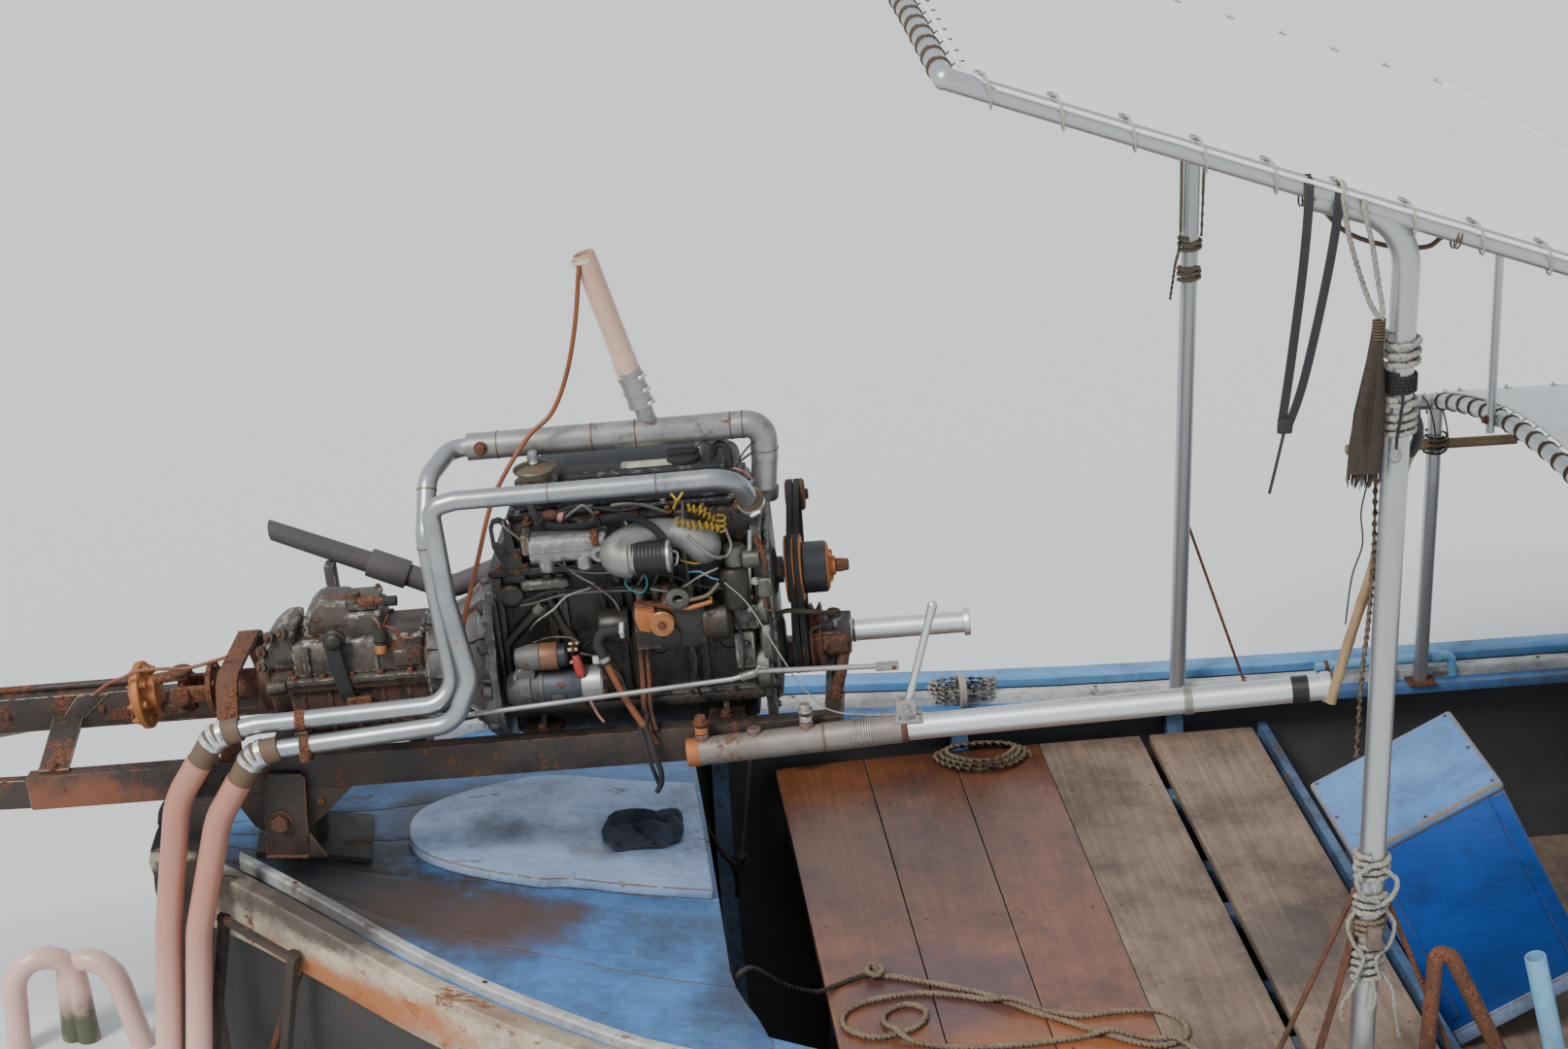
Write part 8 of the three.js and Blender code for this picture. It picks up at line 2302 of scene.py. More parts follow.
    def pump(self) -> None:
        """Injection pump, rusty bracket with its brass roller, canister and the clutter beside them."""
        part = engine_part("injection_pump_oily")
        part.box((832, -200, 322), (992, -140, 420), OILY_BLACK_AND_SLOT_SHADE, 8)
        for k in range(4):
            u = 852 + 36 * k
            part.turned([(0, 0), (15, 0), (15, 8), (10, 12), (10, 30), (13, 32), (13, 44), (7, 48),
                         (0, 48)], (u, -172, 418), (u, -172, 470), BREATHER, 18)
        part.turned([(0, 0), (37, 0), (38, 3), (38, 60), (34, 66), (0, 66)], (822, -170, 376),
                    (770, -170, 376), OILY_BLACK_AND_SLOT_SHADE, 32)
        part.turned([(0, 0), (42, 0), (44, 4), (44, 52), (30, 62), (0, 64)], (986, -172, 372),
                    (1050, -172, 372), OILY_BLACK_AND_SLOT_SHADE, 32)
        part.turned([(0, 0), (26, 0), (28, 3), (28, 10), (16, 14), (0, 15)], (905, -200, 356),
                    (905, -216, 356), OILY_BLACK_AND_SLOT_SHADE, 28)
        part.turned([(10, 0), (24, 0), (26, 3), (26, 14), (22, 17), (12, 17), (10, 14), (10, 0)],
                    (938, -206, 448), (938, -222, 446), TIMING_CAST, 28)
        part.turned([(0, 0), (32, 0), (34, 4), (34, 84), (28, 92), (0, 94)], (1062, -166, 400),
                    (1062, -166, 494), OILY_BLACK_AND_SLOT_SHADE, 36)
        part.turned([(0, 0), (24, 0), (24, 40), (20, 44), (0, 44)], (1066, -160, 494), (1066, -158, 540),
                    TIMING_CAST, 30)
        part.turned([(0, 0), (20, 0), (22, 3), (22, 36), (0, 38)], (1084, -168, 508), (1112, -168, 508),
                    TIMING_CAST, 24)
        part.box((1050, -170, 340), (1104, -140, 398), TIMING_CAST, 5)
        part.box((1046, -176, 250), (1090, -150, 336), TIMING_CAST, 6)
        for w in (268, 310, 352, 386):
            part.bolt((1074, -176 if w < 330 else -170, w), (0, -1, 0), 13, CAST_GREY)
        part.prism("y", [(842, 436), (880, 438), (884, 420), (868, 366), (846, 372), (838, 400)], -206,
                   -198, ORANGE_RUST, 1.5)
        part.box((842, -214, 430), (912, -186, 437), BROWN_RUST, 2)
        part.turned([(6, -9), (26, -9), (26, -6), (21, -3), (21, 3), (26, 6), (26, 9), (6, 9), (6, -9)],
                    (898, -218, 391), (898, -228, 391), BRASS_WORN, 32)
        part.prism("y", [(866, 416), (898, 414), (914, 400), (912, 380), (896, 370), (872, 372)], -212,
                   -206, ORANGE_RUST, 1.5)
        part.bolt((898, -229, 391), (0, -1, 0), 13, BROWN_RUST)
        part.turned([(0, 0), (10, 0), (13, 4), (13, 14), (9, 20), (9, 34), (12, 36), (12, 44), (0, 46)],
                    (912, -196, 430), (914, -196, 480), BROWN_RUST, 18)
        part.tube(flowing([(905, -206, 436), (950, -214, 440), (1000, -212, 446), (1030, -204, 470)], 5), 5,
                  BREATHER, n=10)
        part.tube(bent([(888, -192, 424), (960, -210, 420), (1010, -206, 430)], 20, 4), 6, ORANGE_RUST,
                  n=10)
        for k in range(4):
            u = 852 + 36 * k
            head = 580 + 128 * k
            line = flowing([(u, -172, 468), (u + 2, -176, 500),
                            ((u + head) / 2, -184 - 6 * k, 520 + 14 * k), (head, -150, 612 + 6 * (k % 2)),
                            (head, -126, 634)], 7)
            part.tube(line, 3.2, WIRE_GREY, n=8)
        part.done(replaces=["injection_pump"], slot="oily_iron", sharp=38)

    def eye(self) -> None:
        """Black lifting eye with its slot, and a thin black disc for its hole: painted shade."""
        part = engine_part("lifting_eye")
        ring = [(537, 566), (536, 614), (544, 632), (560, 636), (576, 628), (582, 600), (590, 540),
                (598, 500), (572, 489), (552, 530)]
        slot = [(546, 578), (545, 608), (550, 620), (560, 621), (567, 612), (566, 582), (558, 572)]
        bm = bmesh.new()
        outer = [bm.verts.new((u, -134, w)) for u, w in ring]
        inner = [bm.verts.new((u, -134, w)) for u, w in slot]
        edges = [bm.edges.new((a, b)) for loop in (outer, inner) for a, b in zip(loop, loop[1:] + loop[:1])]
        bmesh.ops.triangle_fill(bm, edges=edges, use_beauty=True, use_dissolve=False)
        bmesh.ops.recalc_face_normals(bm, faces=bm.faces)
        bmesh.ops.solidify(bm, geom=bm.faces[:], thickness=6)
        part.take(bm, BLACK_ENAMEL, 1.2)
        # The hole is not cut: this thin black disc is painted shade for it.
        part.rod((568, -143, 553), (568, -140, 553), 6, RUBBER_AND_HOLE_SHADE, n=14, bevel=0)
        for u, w in ((590, 546), (586, 508)):
            part.bolt((u, -138, w), (0, -1, 0), 14, BROWN_RUST)
        part.box((556, -138, 480), (600, -120, 560), BLACK_ENAMEL, 2)
        part.done(slot="oily_iron")

    def side_clutter(self) -> None:
        """Oil pipes, dipstick tube, drum, elbows, clips and straps on the near side."""
        part = engine_part("engine_side_pipes")
        part.turned([(0, 0), (24, 0), (27, 4), (27, 30), (20, 34), (20, 31), (0, 31)], (566, -118, 452),
                    (566, -152, 452), OILY_BLACK_AND_SLOT_SHADE, 32)
        part.box((590, -150, 462), (696, -124, 486), TIMING_CAST, 8)
        part.tube([(548, -148, 344), (596, -152, 392), (632, -150, 426)], 10.5, OILY_BLACK_AND_SLOT_SHADE, n=16)
        part.turned([(10, 0), (13, 0), (13, 22), (10, 22), (10, 0)], (618, -151, 413), (634, -150, 428),
                    TIMING_CAST, 20)
        part.tube([(645, -132, 440), (668, -134, 372), (690, -134, 330)], 12, OILY_BLACK_AND_SLOT_SHADE, n=14)
        elbow = bent([(818, -206, 384), (760, -212, 378), (752, -214, 352), (766, -217, 306)], 30, 6)
        part.tube(elbow, 11.5, RUBBER_AND_HOLE_SHADE, n=18)
        part.band((808, -206.6, 383), (1, 0, 0), 12, 9, CLIP_WHITE, CLIP_WHITE, (0, -1, -0.6))
        part.box((735, -210, 304), (750, -198, 320), CLIP_WHITE, 2)
        part.turned([(10, 0), (13.5, 0), (13.5, 10), (10, 10), (10, 0)], (761, -216, 322), (766, -217, 308),
                    CAST_BRIGHT, 20)
        tube = flowing([(764, -216.5, 314), (790, -222, 242), (812, -229, 196), (836, -236, 152),
                        (856, -247, 116)], 6)
        part.tube(tube, 8.2, ORANGE_TUBE, n=16)
        for base, r in ((0, 6.5), (14, 5.0)):
            part.tube(flowing([(838 + base, -168, 338), (836 + base, -176, 250), (834 + base, -200, 180),
                               (846 + base, -238, 146)], 5), r, BROWN_RUST, n=12)
        part.prism("y", [(1102, 576), (1110, 576), (1098, 470), (1090, 384), (1082, 384), (1090, 470)],
                   -176, -172, CAST_BRIGHT, 1)
        for u, w, r, look in ((1106, 456, 9, CAST_BRIGHT), (1106, 500, 6, CAST_BRIGHT),
                              (1094, 420, 6, BROWN_RUST)):
            part.bolt((u, -176, w), (0, -1, 0), r * 1.4, look)
        part.box((1112, -182, 420), (1140, -168, 462), TIMING_CAST, 3)
        part.tube(flowing([(1126, -176, 422), (1120, -180, 398), (1134, -182, 386), (1140, -178, 402)], 4),
                  2.6, BROWN_RUST, n=8)
        part.tube(flowing([(1116, -172, 560), (1128, -176, 520), (1132, -176, 470)], 5), 7, BROWN_RUST,
                  n=12)
        part.done(slot="oily_iron")

    def wiring(self) -> None:
        """Breather hose, coiled and looped wires and the thick hose under the header's bend."""
        part = engine_part("engine_wiring")
        for points, r, look in WIRES:
            part.tube(flowing(points, 7), r, look, n=14 if r > 5 else 7)
        for a, b, turns, size in COILS:
            part.tube(wound(a, b, size, turns), 2.2, YELLOW_WIRE, n=7)
        for k in (0.3, 0.62):
            line = flowing(WIRES[0][0], 7)
            at = int(k * len(line))
            part.band(line[at], line[at + 1] - line[at - 1], 9.2, 7, RUBBER_AND_HOLE_SHADE, RUBBER_AND_HOLE_SHADE, (0, -1, 0.3))
        part.ball((676, -150, 636), 17, BROWN_RUST, (1.3, 0.8, 0.8))
        part.turned([(0, 0), (11, 0), (13, 3), (13, 12), (0, 15)], (694, -150, 632), (712, -154, 628),
                    PINK_WIRE, 16)
        for p in ((1009, -176, 412), (836, -150, 455), (560, -142, 430)):
            part.ball(p, 6, RUBBER_AND_HOLE_SHADE)
        part.done(slot="oily_iron", sharp=50)

    def build(self) -> None:
        """Builds every piece of the engine's body."""
        for step in (self.castings, self.rocker, self.timing, self.intake, self.starter, self.pump,
                     self.eye, self.side_clutter, self.wiring):
            step()


@dataclass
class Pulleys:
    """Grooved pulleys and their belts."""

    crank_w: float = 235.0
    fan_w: float = 406.0

    @staticmethod
    def grooves(count: int, outer: float, inner: float, pitch: float,
                bore: float = 0.0) -> list[tuple[float, float]]:
        """Profile of a pulley with V grooves."""
        pts: list[tuple[float, float]] = [(bore, 0), (outer - 3, 0), (outer, 2)]
        at = 2.0
        for _ in range(count):
            pts += [(outer, at + 2), (inner, at + pitch * 0.42), (inner, at + pitch * 0.62),
                    (outer, at + pitch)]
            at += pitch
        pts += [(outer, at + 2), (outer - 4, at + 4), (bore, at + 4)]
        return pts

    def build(self) -> None:
        """Builds three pulleys and two belts."""
        part = engine_part("crank_pulley_grooved", "crank_pulley")
        part.turned(self.grooves(3, 79, 64, 20, 16), (1166, 0, self.crank_w), (1240, 0, self.crank_w),
                    BROWN_RUST, 56, bevel=0.6)
        part.turned([(0, 0), (24, 0), (26, 3), (26, 10), (20, 14), (20, 22), (0, 24)],
                    (1220, 0, self.crank_w), (1252, 0, self.crank_w), BROWN_RUST, 32)
        part.done(replaces=["crank_pulley"], slot="rust", sharp=25)
        part = engine_part("fan_pulley_drum", "fan_pulley")
        part.turned(self.grooves(2, 76, 62, 16, 14), (1164, 0, self.fan_w), (1240, 0, self.fan_w),
                    ORANGE_RUST, 56, bevel=0.6)
        part.turned([(14, 0), (57, 0), (58, 2), (58, 50), (56, 53), (14, 53), (14, 0)],
                    (1203, 0, self.fan_w), (1260, 0, self.fan_w), BLACK_ENAMEL, 48, bevel=0.8)
        part.turned([(0, 0), (53, 0), (54, 3), (47, 6), (22, 8), (22, 20), (0, 20)], (1255, 0, self.fan_w),
                    (1290, 0, self.fan_w), ORANGE_RUST, 40)
        for k in range(4):
            a = TAU * k / 4 + 0.5
            part.bolt((1261, 38 * math.cos(a), self.fan_w + 38 * math.sin(a)), (1, 0, 0), 12, ORANGE_RUST)
        part.rod((1274, 0, self.fan_w), (1292, 0, self.fan_w), 17, BROWN_RUST, n=6, bevel=1.5)
        part.turned([(0, 0), (14, 0), (14, 12), (10, 15), (0, 15)], (1290, 0, self.fan_w),
                    (1306, 0, self.fan_w), BROWN_RUST, 24)
        part.done(replaces=["fan_pulley"], slot="orange_rust", sharp=25)
        part = engine_part("generator_pulley_grooved", "generator_pulley")
        low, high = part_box("generator_pulley")
        centre = ENGINE_SPACE.inverted() @ ((low + high) / 2)
        part.turned([(0, -22), (32, -22), (37, -18), (37, -14), (27, -4), (27, 4), (37, 14), (37, 18),
                     (32, 22), (12, 24), (12, 30), (0, 31)], centre, centre + Vector((1, 0, 0)), BROWN_RUST,
                    40)
        part.done(replaces=["generator_pulley"], slot="rust", sharp=25)
        self.belts(centre)

    @staticmethod
    def round_all(circles: Sequence[tuple[float, float, float]],
                  steps: int = 40) -> list[tuple[float, float]]:
        """The shortest closed line round a set of circles.

        Args:
            circles: middle and radius of each circle.
            steps: points tried on each circle.

        Returns:
            The line's points in order.
        """
        pts = sorted((v + r * math.cos(TAU * k / steps), w + r * math.sin(TAU * k / steps))
                     for v, w, r in circles for k in range(steps))
        loop = []
        for run in (pts, pts[::-1]):
            half: list[tuple[float, float]] = []
            for p in run:
                while len(half) > 1 and ((half[-1][0] - half[-2][0]) * (p[1] - half[-2][1])
                                         - (half[-1][1] - half[-2][1]) * (p[0] - half[-2][0])) <= 0:
                    half.pop()
                half.append(p)
            loop += half[:-1]
        return loop

    def belts(self, generator: Vector) -> None:
        """Two rubber belts round the three pulleys."""
        wheels = ((0.0, self.crank_w, 74.0), (0.0, self.fan_w, 71.0), (generator.y, generator.z, 33.0))
        for name, u in (("belt_1", 1177.5), ("belt_2", 1193.5)):
            line = self.round_all(wheels)
            part = engine_part(f"{name}_rubber")
            rows = []
            for k in range(len(line) + 1):
                (v0, w0), (v, w), (v1, w1) = (line[(k + d) % len(line)] for d in (-1, 0, 1))
                out = Vector((0, w1 - w0, v0 - v1)).normalized()
                p = Vector((u, v, w))
                rows.append([p + out * 4 + Vector((-6.5, 0, 0)), p + out * 4 + Vector((6.5, 0, 0)),
                             p - out * 5 + Vector((4, 0, 0)), p - out * 5 + Vector((-4, 0, 0))])
            part.skin(rows, RUBBER_AND_HOLE_SHADE, closed=True, bevel=0)
            part.done(replaces=[name], slot="rubber")


@dataclass
class Generator:
    """The generator on the far side, with black plugs as its cooling slots, painted shade, and its tie bar.
    """

    def build(self) -> None:
        """Builds the generator."""
        part = engine_part("generator_slotted")
        part.turned([(0, 0), (44, 0), (56, 8), (60, 16), (60, 52), (57, 54), (57, 96), (60, 98), (60, 140),
                     (54, 152), (20, 160), (0, 160)], (934, 212, 500), (1100, 212, 500), CAST_GREY, 44)
        # The cooling slots are black rods through the end cap: painted shade for the dark inside the slots.
        for k in range(10):
            a = TAU * k / 10
            c, s = math.cos(a), math.sin(a)
            part.rod((1084, 212 + 40 * c, 500 + 40 * s), (1095, 212 + 40 * c, 500 + 40 * s), 5, OILY_BLACK_AND_SLOT_SHADE,
                     n=10)
        part.prism("x", [(118, 470), (170, 452), (176, 462), (120, 486)], 1000, 1012, BROWN_RUST, 2)
        part.prism("x", [(118, 560), (196, 552), (200, 566), (120, 574)], 1070, 1078, BROWN_RUST, 2)
        part.done(replaces=["generator"], slot="cast_alloy")


# Cooling hoses
@dataclass
class SeaHose:
    """A milky suction or outlet hose from a pipe's end over the side and into the water."""

    name: str
    pipe: tuple
    foot: tuple
    loop: tuple
    radius: float = 30.0
    cut_z: float = 470.0

    def path(self) -> list[Vector]:
        """The hose's line in boat millimetres, from its pipe to its end in the water."""
        to_boat = HULL_SPACE.inverted() @ ENGINE_SPACE
        a, b = (to_boat @ Vector(p) for p in self.pipe[-2:])
        way = (b - a).normalized()
        x, y = self.foot
        top = bent([b + way * 0.6, b + way * 110, (x + 70, y, 700), (x + 14, y, 120)], 150, 8)
        sunk = (x - 20, y + 40, -190)
        across = (self.loop[0][0] + 30, 230, -230)
        low = bent([(x + 14, y, 120), (x + 6, y, 10), sunk, across, *self.loop], 84, 8)
        return top + low[1:]

    def build(self, node: str) -> None:
        """Builds the upper and the lower part."""
        count = 120
        line = spaced(self.path(), count)
        cut = min(range(count), key=lambda k: abs(line[k].z - self.cut_z) + (k > count / 2) * 1e4)
        upper, lower = spaced(line[:cut + 1], 30), spaced(line[cut:], 40)
        r = self.radius
        for k, (pts, label) in enumerate(((upper, "upper"), (lower, "lower"))):
            part = Part(f"{self.name}_{label}", "hull")
            bm_path = flowing(pts, 2)
            part.tube(bm_path, r, HOSE, n=24)
            obj = part.done(slot="clear_hose", ride=False)
            if k == 0:
                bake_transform(obj)
            else:
                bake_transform(obj)
        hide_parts(node)
        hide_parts(node)


# Tail
def shaft_w(u: float) -> float:
    """Height of the propeller shaft's line, which falls five degrees towards the stern."""
    return 230.0 + (u + 235.0) * math.tan(math.radians(5))


def on_shaft(u: float, v: float = 0.0, dw: float = 0.0) -> Vector:
    """A point by the propeller shaft."""
    return Vector((u, v, shaft_w(u) + dw))


@dataclass
class Tail:
    """The long tail: channel, shaft tube, flanges, joint, propeller, splash plate and skeg."""

    prop_u: float = -3400.0
    blades: int = 3

    def channel(self) -> None:
        """Painted channel over the shaft, its bow rod, tube, splash plate and skeg."""
        part = engine_part("tail_channel_painted")
        part.prism("z", [(-1240, -38), (-353, -38), (-353, 38), (-1240, 38)], 246, 252, TAIL_PAINT, 1.5)
        for s in (-1, 1):
            a, b = sorted((s * 38, s * 32))
            part.prism("y", [(-353, 168), (-353, 250), (-1500, 250), (-1500, 120), (-1240, 120),
                             (-1180, 160), (-620, 168)], a, b, TAIL_PAINT, 1.5)
            part.prism("x", [(s * 34, 204), (s * 34, 196), (s * 214, 144.4), (s * 214, 151)], -535, -465,
                       TAIL_PAINT, 1)
            part.bolt((-500, s * 205, 153), (0, 0, 1), 17, BROWN_RUST)
            for u in (-420, -640, -900, -1160):
                part.bolt((u, s * 38, 214), (0, s, 0), 14, BROWN_RUST)
        part.box((-1500, -30, 110), (-1234, 30, 120), TAIL_PAINT, 2)
        part.box((-1500, -38, 244), (-1240, 38, 252), TAIL_PAINT, 2)
        part.prism("y", [(-470, 250), (-398, 250), (-520, 146), (-560, 146)], -42, -38, TAIL_PAINT, 1)
        part.tube(bent([(-357, 0, 259), (-1490, 0, 259), (-3100, 0, shaft_w(-3100) + 30)], 300, 6), 9,
                  TAIL_PAINT, n=14)
        for u in (-1900, -2300, -2700):
            t = (u + 1500) / -1600
            part.rod((u, 0, 259 + (shaft_w(-3100) + 30 - 259) * t), on_shaft(u, 0, 24), 8, TAIL_PAINT, n=12)
            part.ball(on_shaft(u, 0, 30), 12, WELD, (1.2, 1, 0.6))
        part.turned([(20, 0), (31, 0), (31, 2028), (20, 2028), (20, 0)], on_shaft(-1240), on_shaft(-3270),
                    TAIL_PAINT, 28)
        for u in (-1262, -1900, -2600, -3190):
            part.turned([(30, 0), (36, 2), (37, 8), (36, 26), (30, 28), (30, 0)], on_shaft(u),
                        on_shaft(u - 30), WELD, 28)
        part.turned([(30, 0), (40, 2), (40, 186), (30, 190), (30, 0)], on_shaft(-3010), on_shaft(-3200),
                    TAIL_PAINT, 28)

        def edge(u: float, drop: float) -> tuple[float, float]:
            """A corner of a plate, measured from the shaft's line."""
            return u, shaft_w(u) + drop

        part.prism("y", [edge(-2980, 20), edge(-2990, 34), edge(-3236, 172), edge(-3560, 172),
                         edge(-3560, 162), edge(-3244, 162), edge(-3060, 20)], -70, 70, TAIL_PAINT, 2)
        part.prism("y", [edge(-2980, -20), edge(-3130, -120), edge(-3240, -206), edge(-3540, -190),
                         edge(-3540, -178), edge(-3262, -168), edge(-3240, -20)], -5, 5, TAIL_PAINT, 1.5)
        part.done(replaces=["tail_channel"], slot="rust", sharp=35)

    def shaft(self) -> None:
        """Shaft with its orange flange disc and the aft half of the joint."""
        part = engine_part("propeller_shaft_flanged", "propshaft")
        part.rod(on_shaft(-322), on_shaft(self.prop_u - 60), 19, BROWN_RUST, n=28)
        part.turned([(0, 0), (74, 0), (78, 3), (78, 16), (74, 19), (46, 19), (42, 22), (40, 44), (0, 45)],
                    on_shaft(-337), on_shaft(-292), ORANGE_RUST, 48)
        part.turned([(0, -9), (60, -9), (64, -6), (64, 0), (0, 0)], on_shaft(-337), on_shaft(-292),
                    ORANGE_RUST, 40)
        way = (on_shaft(-292) - on_shaft(-337)).normalized()
        for k in range(8):
            a = TAU * k / 8
            spot = on_shaft(-318) + Vector((0, math.cos(a), math.sin(a))) * 60
            part.bolt(spot, way, 17, ORANGE_RUST)
            part.bolt(spot - way * 21, -way, 15, ORANGE_RUST, stud=6)
        tilt = (Matrix.Translation((-235, 0, 230)) @ Matrix.Rotation(math.radians(-5), 4, "Y")
                @ Matrix.Translation((235, 0, 0)))
        for s in (-1, 1):
            part.box((-298, -19, min(s * 26, s * 43)), (-214, 19, max(s * 26, s * 43)), BROWN_RUST, 5, tilt)
            part.turned([(0, 0), (24, 0), (26, 2), (26, 8), (22, 12), (0, 13)], (-235, 0, 230 + s * 40),
                        (-235, 0, 230 + s * 60), BROWN_RUST, 32)
        part.rod((-235, 0, 180), (-235, 0, 280), 13, BROWN_RUST)
        part.rod((-235, -48, 230), (-235, 48, 230), 10, BROWN_RUST)
        part.done(replaces=["propeller_shaft"], slot="rust")
        part = engine_part("output_yoke_forged", "output_yoke")
        part.turned([(0, 0), (57, 0), (60, 3), (60, 12), (40, 14), (35.4, 20), (35.4, 148), (0, 148)],
                    (-172, 0, 230), (-24, 0, 230), BROWN_RUST, 40)
        for s in (-1, 1):
            part.box((-257, min(s * 27, s * 43), 210), (-168, max(s * 27, s * 43), 250), BROWN_RUST, 6)
            part.turned([(0, 0), (23, 0), (24, 2), (24, 5), (20, 8), (0, 9)], (-235, s * 43, 230),
                        (-235, s * 60, 230), BROWN_RUST, 30)
        for k in range(6):
            a = TAU * k / 6 + 0.5
            part.bolt((-160, 48 * math.cos(a), 230 + 48 * math.sin(a)), (1, 0, 0), 13, BROWN_RUST)
        part.done(replaces=["output_yoke"], slot="oily_iron")

    def drip_tube(self) -> None:
        """Thin orange tube that arches over the joint."""
        part = engine_part("joint_drip_tube")
        line = flowing([(-430, -42, 252), (-394, -44, 275), (-350, -62, 296), (-309, -68, 312),
                        (-255, -68, 312), (-206, -62, 306), (-162, -58, 312), (-104, -70, 330)], 7)
        part.tube(line, 4.2, ORANGE_TUBE, n=10)
        part.done(slot="rubber")

    def propeller(self) -> None:
        """Three twisted blades on a turned hub."""
        part = engine_part("propeller_blades", "propshaft")
        part.turned([(19.6, -62), (26, -60), (36, -40), (41, -15), (42, 30), (38, 52), (30, 62),
                     (19.6, 62)], on_shaft(self.prop_u), on_shaft(self.prop_u + 100), BRONZE, 36)
        part.turned([(0, -92), (12, -92), (16, -88), (16, -76), (26, -74), (26, -62), (0, -62)],
                    on_shaft(self.prop_u), on_shaft(self.prop_u + 100), BRONZE, 6)
        for k in range(self.blades):
            turn = (Matrix.Translation(on_shaft(self.prop_u)) @ Matrix.Rotation(math.radians(-5), 4, "Y")
                    @ Matrix.Rotation(TAU * k / self.blades, 4, "X"))
            rows = []
            for i in range(15):
                r = 30 + 115 * i / 14
                narrowing = 1 if i < 13 else 0.72 if i == 13 else 0.30
                wide = 95 * math.sin(math.pi * (0.20 + 0.74 * i / 14)) ** 0.8 * narrowing
                twist = math.radians(58 - 0.28 * r)
                thick = 5.5 * (1 - 0.6 * i / 14)
                front, back = [], []
                for j in range(9):
                    c = -0.5 + j / 8
                    bulge = thick * math.sqrt(max(0.0, 1 - (2 * c) ** 2)) + 0.8
                    for face, x in ((front, bulge), (back, -bulge * 0.4)):
                        z = c * wide
                        face.append(turn @ Vector((x * math.cos(twist) + z * math.sin(twist), r,
                                                   -x * math.sin(twist) + z * math.cos(twist))))
                rows.append(front + back[::-1])
            part.skin(rows, BRONZE, closed=True, caps=True)
        part.done(replaces=["propeller"], slot="bronze", sharp=60)

    def build(self) -> None:
        """Builds the tail."""
        self.channel()
        self.drip_tube()
        self.shaft()
        self.propeller()


